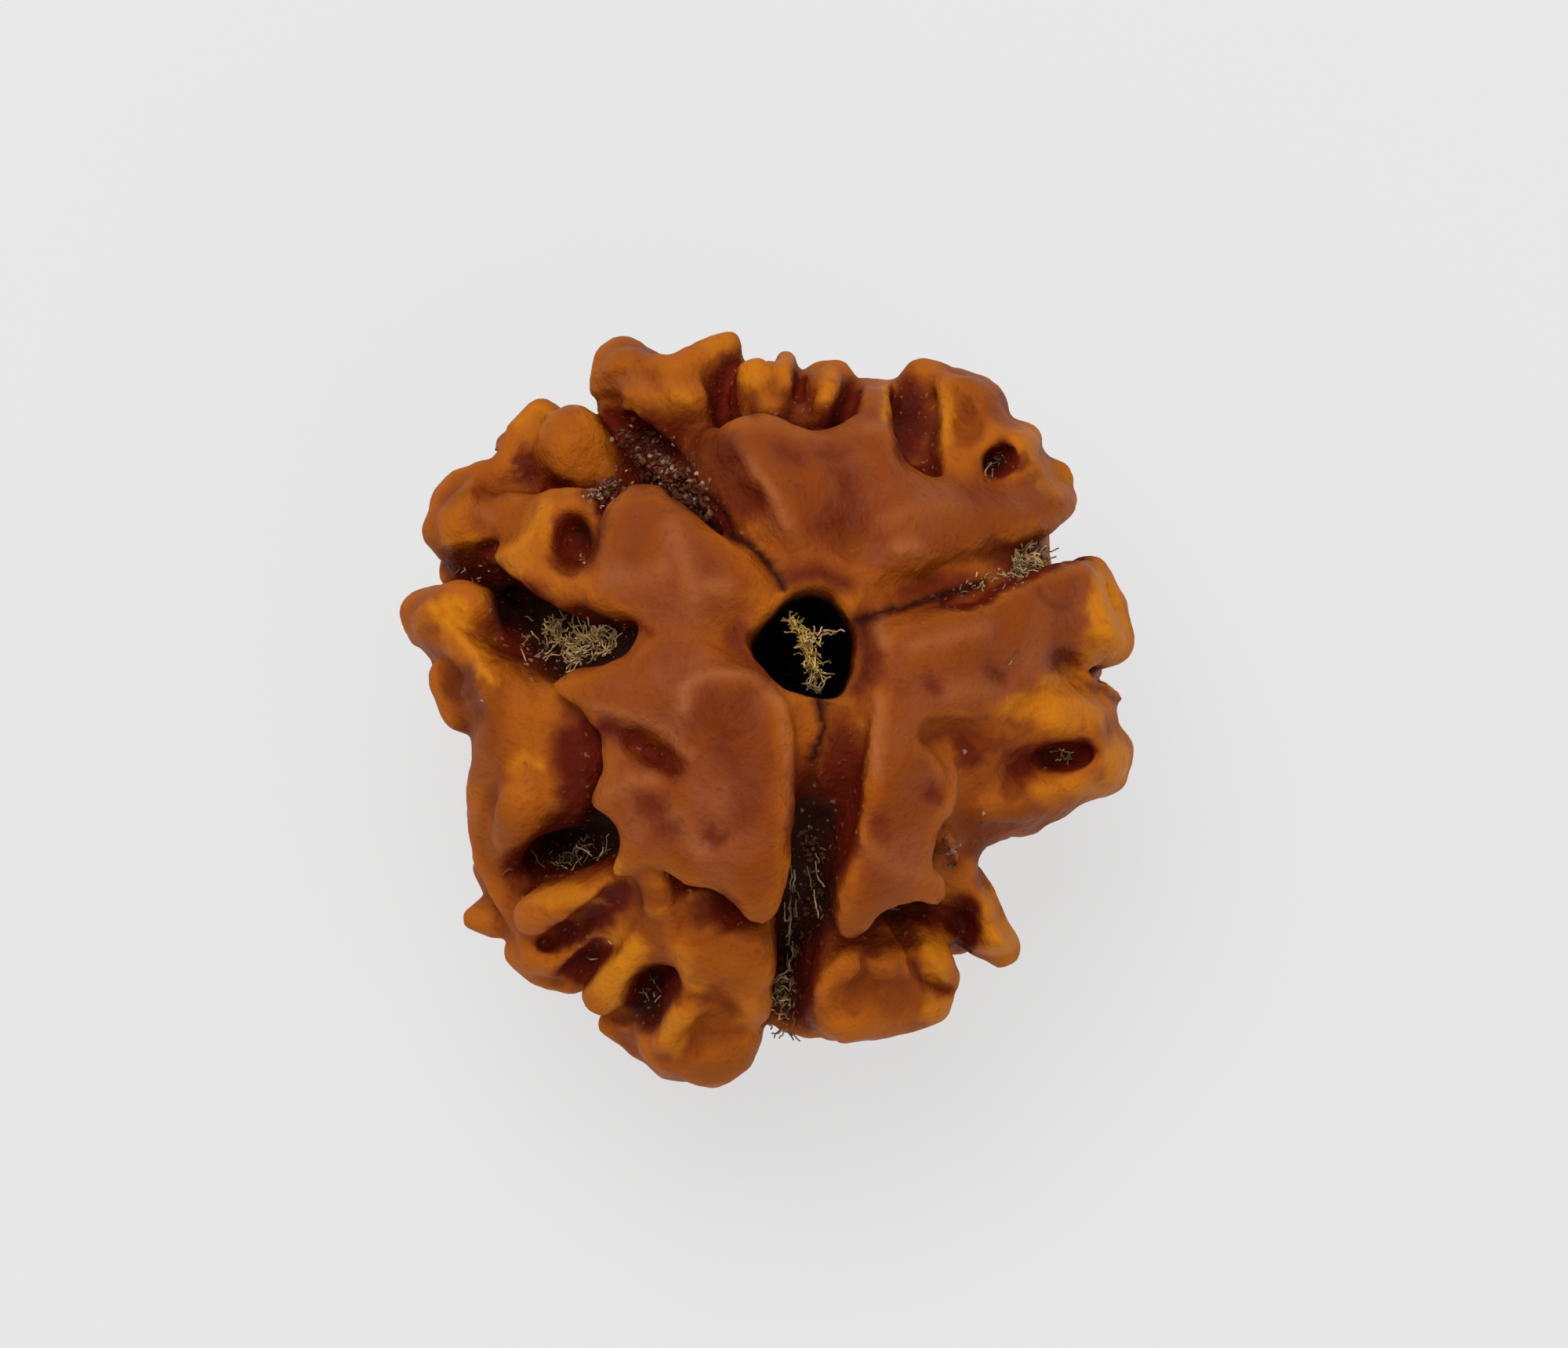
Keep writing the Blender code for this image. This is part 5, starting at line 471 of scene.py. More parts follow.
def addObject(name, data):
    obj = bpy.data.objects.new(name, data)
    bpy.context.scene.collection.objects.link(obj)
    return obj


def upInView(y, z):
    return y * math.cos(viewLean) + z * math.sin(viewLean)


def seen(across, up, reach):
    # the point at this distance from the middle that is seen at this place of the view
    toward = math.sqrt(max(reach * reach - across * across - up * up, 0.0))
    return Vector((
        across,
        up * math.cos(viewLean) - toward * math.sin(viewLean),
        up * math.sin(viewLean) + toward * math.cos(viewLean)))


def beneath(across, back, reach):
    return Vector((across, back, -math.sqrt(max(reach * reach - across * across - back * back, 0.0))))


def onGlobe(longitude, latitude, reach):
    lon, lat = math.radians(longitude), math.radians(latitude)
    return Vector((math.cos(lon) * math.cos(lat), math.sin(lon) * math.cos(lat), math.sin(lat))) * reach


def girthAt(bearing):
    bearing %= 360
    for (a, low), (b, high) in zip(girth, girth[1:]):
        if a <= bearing <= b:
            return low + (high - low) * (bearing - a) / (b - a)
    return girth[0][1]


def heldIn(point, radius, margin=0.1, looked=5):
    # the point, drawn in so far that a ball of this radius round it stays inside the outline
    across = point.x
    up = upInView(point.y, point.z)
    bearing = math.degrees(math.atan2(up, across))
    limit = min(girthAt(bearing + turn) for turn in (-looked, 0, looked))
    return point * min(1, (limit - margin - radius) / math.hypot(across, up))


def between(stations, spacing=0.45, least=0.15):
    # balls along the stations, close enough for their fused surface to look smooth
    filled = []
    for (start, r0), (end, r1) in zip(stations, stations[1:]):
        parts = max(1, math.ceil((end - start).length / max(spacing * min(r0, r1), least)))
        filled += [(start.lerp(end, i / parts), r0 + (r1 - r0) * i / parts) for i in range(parts)]
    return filled + [stations[-1]]


def gapToLoop(p, loop):
    best = 1e9
    for a, b in zip(loop, loop[1:] + loop[:1]):
        ab = b - a
        t = min(max((p - a).dot(ab) / max(ab.length_squared, 1e-9), 0), 1)
        best = min(best, (a + ab * t - p).length)
    return best


def isInside(p, loop):
    odd = False
    for a, b in zip(loop, loop[1:] + loop[:1]):
        if (a.y > p.y) != (b.y > p.y) and p.x < a.x + (b.x - a.x) * (p.y - a.y) / (b.y - a.y):
            odd = not odd
    return odd


# How a land's surface runs between the points of its outline, over its rim and over its swells
landForm = {
    "nearness": 0.05,
    "falloff": 1.5,
    "rimDrop": 0.8,
    "swellFall": 1.5,
    "step": 0.3,
    "inset": 0.4,
}


def landReach(p, loop, outline, rim, swells):
    # the land's height here: a mean of the outline's heights, rounded off at the rim, with its swells
    weights = [1 / ((p - q).length_squared + landForm["nearness"]) ** landForm["falloff"] for q in loop]
    total = sum(weights)
    reach = sum(w * point[2] for w, point in zip(weights, outline)) / total
    rounding = sum(w * point[3] for w, point in zip(weights, outline)) / total
    gap = min(gapToLoop(p, rim) / rounding, 1)
    reach -= rounding * landForm["rimDrop"] * (1 - math.sqrt(max(1 - (1 - gap) ** 2, 0)))
    for across, up, width, height in swells:
        away = (p - Vector((across, up))).length_squared
        reach += height * math.exp(-landForm["swellFall"] * away / width ** 2)
    return reach


class Heap:
    # closed shapes that are piled into one mesh, and fused later

    def __init__(self):
        self.points = []
        self.faces = []
        bm = bmesh.new()
        bmesh.ops.create_icosphere(bm, subdivisions=2, radius=1)
        self.ballPoints = [vert.co.copy() for vert in bm.verts]
        self.ballFaces = [[vert.index for vert in face.verts] for face in bm.faces]
        bm.free()

    def add(self, points, faces):
        start = len(self.points)
        self.points += points
        self.faces += [[start + i for i in face] for face in faces]

    def addBall(self, middle, radius, axis, tail, head):
        turn = axis.to_track_quat("Z", "Y").to_matrix()
        points = []
        for co in self.ballPoints:
            stretch = head if co.z > 0 else tail
            points.append(middle + turn @ Vector((co.x * radius, co.y * radius, co.z * stretch)))
        self.add(points, self.ballFaces)

    def addRidge(self, stations):
        # each ball has a tail that is rooted in the core
        for middle, radius in between(stations):
            self.addBall(middle, radius, middle, max(middle.length - stone["rootRadius"], radius), radius)

    def addHollow(self, stations, wayOut=9):
        viewer = seen(0, 0, 1)
        for middle, radius in between(stations):
            self.addBall(middle, radius, viewer, radius, wayOut)

    def addLand(self, outline, swells, place):
        # a plate over a grid of points inside the outline, with sides that run down into the core
        step = landForm["step"]
        loop = [Vector(point[:2]) for point in outline]
        rim = []
        for a, b in zip(loop, loop[1:] + loop[:1]):
            parts = max(1, math.ceil((b - a).length / step))
            rim += [a.lerp(b, i / parts) for i in range(parts)]
        left, low = min(p.x for p in rim), min(p.y for p in rim)
        columns = int((max(p.x for p in rim) - left) / step) + 1
        rows = int((max(p.y for p in rim) - low) / step) + 1
        cells = [(i + 0.5, j + 0.5) for i in range(columns) for j in range(rows)]
        grid = [Vector((left + i * step, low + j * step)) for i, j in cells]
        grid = [p for p in grid if isInside(p, rim) and gapToLoop(p, rim) > landForm["inset"] * step]
        edges = [(i, (i + 1) % len(rim)) for i in range(len(rim))]
        flat, _, faces, _, _, _ = delaunay_2d_cdt(rim + grid, edges, [list(range(len(rim)))], 1, 1e-6)
        tops = [place(p.x, p.y, landReach(p, loop, outline, rim, swells)) for p in flat]
        roots = [top.normalized() * stone["rootRadius"] for top in tops]
        count = len(tops)
        sides = set()
        solid = []
        for face in faces:
            solid.append(list(face))
            solid.append([count + i for i in reversed(face)])
            sides.update(zip(face, face[1:] + face[:1]))
        solid += [[b, a, count + a, count + b] for a, b in sides if (b, a) not in sides]
        if place is beneath:
            solid = [list(reversed(face)) for face in solid]
        self.add(tops + roots, solid)

    def toObject(self, name):
        mesh = bpy.data.meshes.new(name)
        mesh.from_pydata([(point + shift) * mm for point in self.points], [], self.faces)
        return addObject(name, mesh)


# Below each knob near the outline, the knob runs on down the flank past the widest part
skirts = {
    "highest": 42,
    "thinnest": 0.45,
    "end": (-9, -3),
    "step": 6,
    "sway": 1.5,
    "widths": (0.8, 1.05),
    "reach": 10.2,
    "sink": (0.1, 0.6),
}


def addSkirts(heap, draw):
    for stations in ridges.values():
        for across, up, reach, radius in stations[::2]:
            top = seen(across, up, reach)
            latitude = math.degrees(math.asin(top.z / top.length))
            longitude = math.degrees(math.atan2(top.y, top.x))
            if latitude > skirts["highest"] or radius < skirts["thinnest"]:
                continue
            path = [(top, radius)]
            while latitude > draw.uniform(*skirts["end"]):
                latitude -= skirts["step"]
                longitude += draw.uniform(-skirts["sway"], skirts["sway"])
                width = radius * draw.uniform(*skirts["widths"])
                reached = min(reach, skirts["reach"]) - draw.uniform(*skirts["sink"])
                path.append((heldIn(onGlobe(longitude, latitude, reached), width), width))
            heap.addRidge(path)


phaseEnd = 6  # a wave starts anywhere on its first turn, in radians


def lobes():
    # the bearings of the two seams that each lobe lies between
    seams = stone["seams"]
    return zip(seams, seams[1:] + (seams[0] + 360,))


def around(bearing, radius, *more):
    return (radius * math.cos(bearing), radius * math.sin(bearing), *more)


# The three plates of the hidden lower end, which mirror the upper ones in kind
lowerLands = {
    "alongSeam": (1.6, 3.0, 4.4),
    "halfSeam": 0.55,
    "inner": (10, 0.6),
    "outer": (10.15, 0.45),
    "outerPoints": 9,
    "outerRadius": 5.2,
    "fromSeam": 8,
    "waves": 0.9,
    "waveTurn": 2.4,
    "unevenness": 0.3,
    "swells": 5,
    "swellWidth": 0.8,
    "swellsFromSeam": 15,
    "swellRadii": (2.5, 4.8),
    "swellHeights": (-0.5, 0.1),
}


def addLowerLands(heap, draw):
    look = lowerLands
    uneven = look["unevenness"]
    for first, last in lobes():
        outline = []
        for radius in look["alongSeam"]:
            outline.append(around(math.radians(first) + look["halfSeam"] / radius, radius, *look["inner"]))
        phase = draw.uniform(0, phaseEnd)
        span = last - first - 2 * look["fromSeam"]
        for k in range(look["outerPoints"]):
            bearing = math.radians(first + look["fromSeam"] + span * k / (look["outerPoints"] - 1))
            radius = look["outerRadius"] + look["waves"] * math.sin(phase + look["waveTurn"] * k)
            outline.append(around(bearing, radius + draw.uniform(-uneven, uneven), *look["outer"]))
        for radius in reversed(look["alongSeam"]):
            outline.append(around(math.radians(last) - look["halfSeam"] / radius, radius, *look["inner"]))
        swells = []
        for _ in range(look["swells"]):
            bearing = draw.uniform(first + look["swellsFromSeam"], last - look["swellsFromSeam"])
            radius = draw.uniform(*look["swellRadii"])
            height = draw.uniform(*look["swellHeights"])
            swells.append(around(math.radians(bearing), radius, look["swellWidth"], height))
        heap.addLand(outline, swells, beneath)


# The ridges that run down the flanks to the lower end, and join in pairs on the way
flank = {
    "fromSeam": 8,
    "spacing": 19,
    "stations": 11,
    "top": 6,
    "step": 6.4,
    "mergeFrom": 20,
    "mergeOver": 38,
    "sway": 4,
    "swayTurn": 0.9,
    "besideSeam": 0.15,
    "radius": 0.82,
    "radiusChange": (-0.2, 0.25),
    "reach": 10.55,
    "taper": 0.0045,
    "reachChange": (-0.5, 0.3),
    "links": 3,
    "linkRadius": 0.65,
    "linkSink": (0.1, 0.6),
    "linkMiddle": (0.5, 0.75),
    "knobs": 3,
    "knobPlace": (-0.5, 0.5),
    "knobGrowth": (0.05, 0.3),
    "knobRise": 1.01,
}


def flankPath(k, starts, first, last, draw):
    partner = starts[k ^ 1] if (k ^ 1) < len(starts) else starts[k]
    phase = draw.uniform(0, phaseEnd)
    path = []
    for step in range(flank["stations"]):
        latitude = flank["top"] - flank["step"] * step
        merge = min(max((-latitude - flank["mergeFrom"]) / flank["mergeOver"], 0), 1)
        sway = flank["sway"] * math.sin(phase + step * flank["swayTurn"])
        longitude = starts[k] + (partner - starts[k]) * 0.5 * merge + sway
        beside = math.degrees(flank["besideSeam"] / math.cos(math.radians(latitude)))
        if k == 0:
            longitude = first + beside
        elif k == len(starts) - 1:
            longitude = last - beside
        radius = flank["radius"] + draw.uniform(*flank["radiusChange"])
        reach = flank["reach"] - flank["taper"] * abs(latitude) - radius + draw.uniform(*flank["reachChange"])
        path.append((heldIn(onGlobe(longitude, latitude, reach), radius), radius))
    return path


def addFlankRidges(heap, draw):
    for first, last in lobes():
        span = last - first - 2 * flank["fromSeam"]
        count = round(span / flank["spacing"]) + 1
        starts = [first + flank["fromSeam"] + span * k / (count - 1) for k in range(count)]
        paths = []
        for k in range(count):
            paths.append(flankPath(k, starts, first, last, draw))
            heap.addRidge(paths[-1])
        for left, right in zip(paths, paths[1:]):
            for step in draw.sample(range(flank["stations"] - 2), flank["links"]):
                a = left[step][0]
                b = right[min(step + draw.choice((0, 1, 2)), flank["stations"] - 1)][0]
                middle = (a + b).normalized() * (min(a.length, b.length) - draw.uniform(*flank["linkSink"]))
                width = draw.uniform(*flank["linkMiddle"])
                heap.addRidge([(a, flank["linkRadius"]), (middle, width), (b, flank["linkRadius"])])
        for path in paths:
            for step in draw.sample(range(1, flank["stations"] - 1), flank["knobs"]):
                middle, radius = path[step]
                knob = middle + Vector([draw.uniform(*flank["knobPlace"]) for _ in range(3)])
                width = radius + draw.uniform(*flank["knobGrowth"])
                heap.addRidge([(middle, radius), (heldIn(knob * flank["knobRise"], width), width)])


def placed(stations):
    return [(seen(*station[:3]), station[3]) for station in stations]


def makeRawStone():
    draw = random.Random(stone["seed"])
    heap = Heap()
    core = bmesh.new()
    bmesh.ops.create_icosphere(core, subdivisions=5, radius=1)
    height, pace = stone["coreWaves"]
    points = [vert.co * (stone["coreRadius"] + height * noise.noise(vert.co * pace)) for vert in core.verts]
    heap.add(points, [[vert.index for vert in face.verts] for face in core.faces])
    core.free()
    for land in lands.values():
        outline = [(*point, land["rim"])[:4] for point in land["outline"]]
        heap.addLand(outline, land["swells"], seen)
    for stations in (*ridges.values(), *fineKnobs.values()):
        heap.addRidge(placed(stations))
    addSkirts(heap, draw)
    addLowerLands(heap, draw)
    addFlankRidges(heap, draw)
    return heap.toObject("rawStone")


def makeHollowCutter():
    heap = Heap()
    for stations in (*hollows.values(), *finePits.values()):
        heap.addHollow(placed(stations))
    return heap.toObject("hollowCutter")


# The bore's upper mouth as corners round its middle, and its levels as (height from the mouth, scale of
# the mouth's outline, how round it has become)
bore = {
    "corners": [
        (-1.7, 0), (-1.4, -0.5), (-1, -1), (-0.4, -1.5), (0.2, -1.65), (0.8, -1.7), (1.2, -1.5), (1.5, -0.7),
        (1.55, 0.3), (1.2, 1.1), (0.9, 1.6), (0.3, 1.75), (-0.3, 1.6), (-0.8, 1.2), (-1.4, 0.5)],
    "levels": [
        (3, 1.7, 0), (0.4, 1.3, 0), (0.1, 1.12, 0), (-0.4, 1, 0), (-1.8, 0.88, 0.1), (-4.5, 0.8, 0.6),
        (-9, 1, 1), (-17.5, 1, 1), (-18.6, 1.2, 1), (-20.5, 1.9, 1)],
}


def makeBoreCutter():
    mouth = seen(*stone["mouth"])
    lowerMouth = stone["lowerMouth"]
    lean = (mouth - lowerMouth) / (mouth.z - lowerMouth.z)
    points = []
    for rise, scale, roundness in bore["levels"]:
        for x, y in bore["corners"]:
            corner = Vector((x, y, 0))
            spot = (corner * scale).lerp(corner.normalized() * stone["boreRadius"] * scale, roundness)
            points.append(mouth + lean * rise + spot)
    count = len(bore["corners"])
    faces = [list(range(count)), [len(points) - 1 - i for i in range(count)]]
    for ring in range(0, len(points) - count, count):
        for i in range(count):
            j = (i + 1) % count
            faces.append([ring + i, ring + count + i, ring + count + j, ring + j])
    heap = Heap()
    heap.add(points, faces)
    return heap.toObject("boreCutter")


def addRemesh(obj):
    remesh = obj.modifiers.new("fuse", "REMESH")
    remesh.mode = "VOXEL"
    remesh.voxel_size = stone["voxel"] * mm


def takeAway(obj, cutter):
    cut = obj.modifiers.new("take away " + cutter.name, "BOOLEAN")
    cut.operation = "DIFFERENCE"
    cut.solver = "MANIFOLD"
    cut.object = cutter


def evaluatedMesh(obj, name):
    mesh = bpy.data.meshes.new_from_object(obj.evaluated_get(bpy.context.evaluated_depsgraph_get()))
    mesh.name = name
    return mesh


def numbersOf(items, name, width, kind=np.float32):
    values = np.empty(len(items) * width, dtype=kind)
    items.foreach_get(name, values)
    return values.reshape(-1, width)


def placesInView(points):
    # in millimetres: each point from the stone's middle, its (across, up), and its distance from the middle
    local = points / mm - np.array(shift)
    flat = np.stack([local[:, 0], upInView(local[:, 1], local[:, 2])], axis=1)
    return local, flat, np.linalg.norm(local, axis=1)


def distanceToPath(points, path):
    best = np.full(len(points), 1e9)
    for a, b in zip(path, path[1:]):
        a, b = np.array(a), np.array(b)
        along = np.clip((points - a) @ (b - a) / max((b - a) @ (b - a), 1e-9), 0, 1)
        best = np.minimum(best, np.linalg.norm(points - a - along[:, None] * (b - a), axis=1))
    return best


def distanceToHollow(points, name):
    return distanceToPath(points, [station[:2] for station in hollows[name]])


def smoothed(values, edges, steps):
    # each vertex takes the mean of its neighbours, a number of times over
    count = np.zeros(len(values))
    np.add.at(count, edges[:, 0], 1)
    np.add.at(count, edges[:, 1], 1)
    result = values.astype(np.float64)
    shape = (-1,) + (1,) * (result.ndim - 1)
    for _ in range(steps):
        total = np.zeros_like(result)
        np.add.at(total, edges[:, 0], result[edges[:, 1]])
        np.add.at(total, edges[:, 1], result[edges[:, 0]])
        result = total / np.maximum(count, 1).reshape(shape)
    return result


def fusedStone():
    raw = makeRawStone()
    cutters = (makeHollowCutter(), makeBoreCutter())
    addRemesh(cutters[0])
    addRemesh(raw)
    for cutter in cutters:
        takeAway(raw, cutter)
    addRemesh(raw)
    soften = raw.modifiers.new("soften", "SMOOTH")
    soften.factor = 0.5
    soften.iterations = stone["softenSteps"]
    mesh = evaluatedMesh(raw, "stoneSkin")
    for obj in (raw, *cutters):
        bpy.data.objects.remove(obj)
    print("stage: stone fused,", len(mesh.polygons), "faces")
    return mesh


def addRelief(mesh):
    # small waves of the skin, the strokes, and the worn rims of the open pits
    points = numbersOf(mesh.vertices, "co", 3)
    normals = numbersOf(mesh.vertices, "normal", 3)
    heights = np.array([
        sum(height * noise.noise(Vector(p) * scale) for height, scale in stone["waves"]) for p in points])
    local, flat, distance = placesInView(points)
    inReach = (local[:, 2] > stone["reliefAbove"]) & (distance > stone["reliefBeyond"])
    for kind in strokes.values():
        for width, height, _, path in kind:
            heights += np.where(inReach, height * np.exp(-(distanceToPath(flat, path) / width) ** 2), 0)
    points = points + normals * heights[:, None] * mm

    worn = np.zeros(len(points))
    for name in stone["wornPits"]:
        width = max(station[3] for station in hollows[name])
        worn = np.maximum(worn, np.clip(stone["wearWidth"] - distanceToHollow(flat, name) / width, 0, 1))
    worn = np.where(inReach, worn, 0)
    edges = numbersOf(mesh.edges, "vertices", 2, np.int32)
    nearPits = edges[(worn[edges] > 0).any(axis=1)]
    points = points + worn[:, None] * (smoothed(points, nearPits, stone["wearSteps"]) - points)
    points[:, 2] = np.maximum(points[:, 2], 0)
    mesh.vertices.foreach_set("co", points.ravel())


def makeStone():
    mesh = fusedStone()
    addRelief(mesh)
    skin = addObject("rudrakshaStone", mesh)
    thin = skin.modifiers.new("thin out", "DECIMATE")
    thin.ratio = min(1, stone["triangles"] / (2 * len(mesh.polygons)))
    thinMesh = evaluatedMesh(skin, "stoneSkin")
    skin.modifiers.clear()
    skin.data = thinMesh
    bpy.data.meshes.remove(mesh)
    print("stage: stone thinned,", len(thinMesh.polygons), "faces")
    return skin


# What the stone's material reads off each point. The rays are measured in metres, and places in millimetres.
# A pair says where a mark starts to show, and how much further on it is full.
marks = {
    "rays": 20,
    "raySeed": 5,
    "rayLength": 0.004,
    "rayLift": 0.00005,
    "crestSteps": 14,
    "crestGain": 3,
    "plates": ("leftUpper", "leftLower", "top", "rightUpper", "rightLower"),
    "plateHeight": (2, 2),
    "plateReach": (9.2, 0.5),
    "waver": ((0.25, 1.1), (0.14, 3.5)),  # size, and how many to the millimetre
    "waverSeed": 7,
    "strokeWaver": 0.4,
    "blotchEdge": 1.4,
    "brightEdge": 1.5,
    "paintHeight": (-1.2, 2.4),
    "paintReach": {"maroonAndShade": 7.5, "bright": 9, "sheen": 9},
    "sheenHeight": 2,
    "lowReach": (8.35, -0.55),
    "lowOpenness": (0.62, -0.15),
    "cracks": ("upperLeftCrack", "rightCrack", "lowerCrack"),
    "crackGap": (0.195, -0.13),
    "crackHeight": 6,
    "boreDepth": (-0.35, -0.9),
    "boreAside": (2.3, -0.3),
    "boreEnd": -16.5,
}


def setAttribute(mesh, name, values):
    attribute = mesh.attributes.new(name, "FLOAT", "POINT")
    attribute.data.foreach_set("value", np.asarray(values, dtype=np.float32))


def fade(values, start, width):
    # 0 at the start, and 1 from this far beyond it
    return np.clip((values - start) / width, 0, 1)


def opennessOf(skin, points, normals):
    # the share of rays that meet nothing near, weighted by how straight they leave the surface
    tree = BVHTree.FromObject(skin, bpy.context.evaluated_depsgraph_get())
    draw = random.Random(marks["raySeed"])
    rays = [Vector([draw.gauss(0, 1) for _ in range(3)]).normalized() for _ in range(marks["rays"])]
    openness = np.zeros(len(points))
    for i, (point, normal) in enumerate(zip(points, normals)):
        normal = Vector(normal)
        start = Vector(point) + normal * marks["rayLift"]
        total = clear = 0.0
        for ray in rays:
            facing = ray.dot(normal)
            total += abs(facing)
            gap = tree.ray_cast(start, ray if facing > 0 else -ray, marks["rayLength"])[3]
            clear += abs(facing) * (1 if gap is None else min(gap / marks["rayLength"], 1) ** 2)
        openness[i] = clear / max(total, 1e-6)
    return openness


def withinOutline(flat, loop):
    # how far inside the loop each place of the view is, up to 1 mm, and 0 outside it
    across, up = flat[:, 0], flat[:, 1]
    inside = np.zeros(len(flat), dtype=bool)
    for a, b in zip(loop, np.roll(loop, -1, axis=0)):
        crosses = (a[1] > up) != (b[1] > up)
        at = a[0] + (b[0] - a[0]) * (up - a[1]) / (b[1] - a[1] if b[1] != a[1] else 1e-9)
        inside ^= crosses & (across < at)
    return np.where(inside, fade(distanceToPath(flat, list(loop) + [loop[0]]), 0, 1), 0)


def blotched(spots, places, edge):
    result = np.zeros(len(places))
    for x, y, wide, tall, strength in spots:
        spread = ((places[:, 0] - x) / wide) ** 2 + ((places[:, 1] - y) / tall) ** 2
        result = np.maximum(result, strength * np.clip(edge - spread, 0, 1))
    return result


def inBoreOf(local):
    # 0 on the skin, and 1 from just inside the mouth to the lower mouth's rim
    mouth, lowerMouth = np.array(seen(*stone["mouth"])), np.array(stone["lowerMouth"])
    lean = (mouth - lowerMouth) / np.linalg.norm(mouth - lowerMouth)
    beyond = (local - mouth) @ lean
    aside = np.linalg.norm(local - mouth - beyond[:, None] * lean, axis=1)
    inBore = fade(beyond, *marks["boreDepth"]) * fade(aside, *marks["boreAside"])
    return np.where(beyond > marks["boreEnd"], inBore, 0)


def addSkinAttributes(skin):
    mesh = skin.data
    points = numbersOf(mesh.vertices, "co", 3).astype(np.float64)
    normals = numbersOf(mesh.vertices, "normal", 3)
    edges = numbersOf(mesh.edges, "vertices", 2, np.int32)
    local, flat, reach = placesInView(points)
    height = local[:, 2]

    openness = smoothed(opennessOf(skin, points, normals), edges, 2)
    bulge = ((points - smoothed(points, edges, marks["crestSteps"])) * normals).sum(axis=1) / mm
    land = np.zeros(len(points))
    for name in marks["plates"]:
        loop = np.array([point[:2] for point in lands[name]["outline"]])
        land = np.maximum(land, withinOutline(flat, loop))
    land *= fade(height, *marks["plateHeight"]) * fade(reach, *marks["plateReach"])

    noise.seed_set(marks["waverSeed"])
    waver = np.array([
        sum((noise.noise_vector(Vector(p) * scale) * size for size, scale in marks["waver"]), Vector())
        for p in local])[:, :2]
    # maroon patches: partly the stone's own colour, partly painted shade
    maroonAndShade = blotched(maroonAndShadePlaces, flat + waver, marks["blotchEdge"])
    bright = blotched(brights, flat + waver, marks["brightEdge"])
    # painted sheen along the sheen strokes, only on the upper part of the stone
    sheen = np.zeros(len(points))
    wavy = flat + marks["strokeWaver"] * waver
    for kind, values in (("maroon", maroonAndShade), ("yellow", bright), ("sheen", sheen)):
        for width, _, strength, path in strokes[kind]:
            np.maximum(values, strength * np.exp(-(distanceToPath(wavy, path) / width) ** 2), out=values)
    # painted shade: darker where the skin lies deep, and at the bottoms of pits where they are least open
    pitBottomShade = blotched(pitBottomShades, flat + waver, marks["blotchEdge"]) * fade(openness, *marks["lowOpenness"])
    low = np.maximum(fade(reach, *marks["lowReach"]), pitBottomShade)
    crackGap = np.min([distanceToHollow(flat, name) for name in marks["cracks"]], axis=0)
    crack = fade(crackGap, *marks["crackGap"])
    sheen = np.where(height > marks["sheenHeight"], sheen, 0)

    setAttribute(mesh, "openness", openness)
    # lighter on convex crests: partly worn edges, partly painted glow of light through the thin crests
    setAttribute(mesh, "crestWearAndGlow", np.clip(0.5 + smoothed(bulge, edges, 3) * marks["crestGain"], 0, 1))
    setAttribute(mesh, "land", smoothed(land, edges, 6))
    for name, values in (("maroonAndShade", maroonAndShade), ("bright", bright), ("sheen", sheen)):
        shown = np.where(reach > marks["paintReach"][name], values, 0)
        setAttribute(mesh, name, shown * fade(height, *marks["paintHeight"]))
    setAttribute(mesh, "low", smoothed(np.where(height > 0, low, 0), edges, 2))
    # where the inside of the bore is painted near black, as shade
    setAttribute(mesh, "inBore", inBoreOf(local))
    setAttribute(mesh, "crack", np.where(height > marks["crackHeight"], crack, 0))
    print("stage: stone attributes")


def addNode(tree, kind, inputs=None, **settings):
    node = tree.nodes.new(kind)
    for key, value in settings.items():
        setattr(node, key, value)
    for key, value in (inputs or {}).items():
        if isinstance(value, bpy.types.NodeSocket):
            tree.links.new(value, node.inputs[key])
        else:
            node.inputs[key].default_value = value
    return node


def mathNode(tree, operation, a, b=0.0, clamp=False):
    node = addNode(tree, "ShaderNodeMath", {0: a, 1: b}, operation=operation, use_clamp=clamp)
    return node.outputs[0]


def mixColour(tree, factor, a, b):
    return addNode(tree, "ShaderNodeMix", {0: factor, 6: a, 7: b}, data_type="RGBA").outputs[2]


def mapRange(tree, value, low, high, toLow=0.0, toHigh=1.0):
    node = addNode(tree, "ShaderNodeMapRange", {0: value, 1: low, 2: high, 3: toLow, 4: toHigh})
    return node.outputs[0]


def noiseNode(tree, where, scale, detail=3.0, roughness=0.5, distortion=0.0):
    node = addNode(tree, "ShaderNodeTexNoise", {
        "Vector": where, "Scale": scale, "Detail": detail, "Roughness": roughness, "Distortion": distortion})
    return node.outputs["Fac"]


def attributeNode(tree, name):
    return addNode(tree, "ShaderNodeAttribute", attribute_name=name).outputs["Fac"]


def newMaterial(name, values):
    # a material whose shader has these constants
    material = bpy.data.materials.new(name)
    material.use_nodes = True
    shader = material.node_tree.nodes["Principled BSDF"]
    for key, value in values.items():
        shader.inputs[key].default_value = value
    return material, material.node_tree, shader


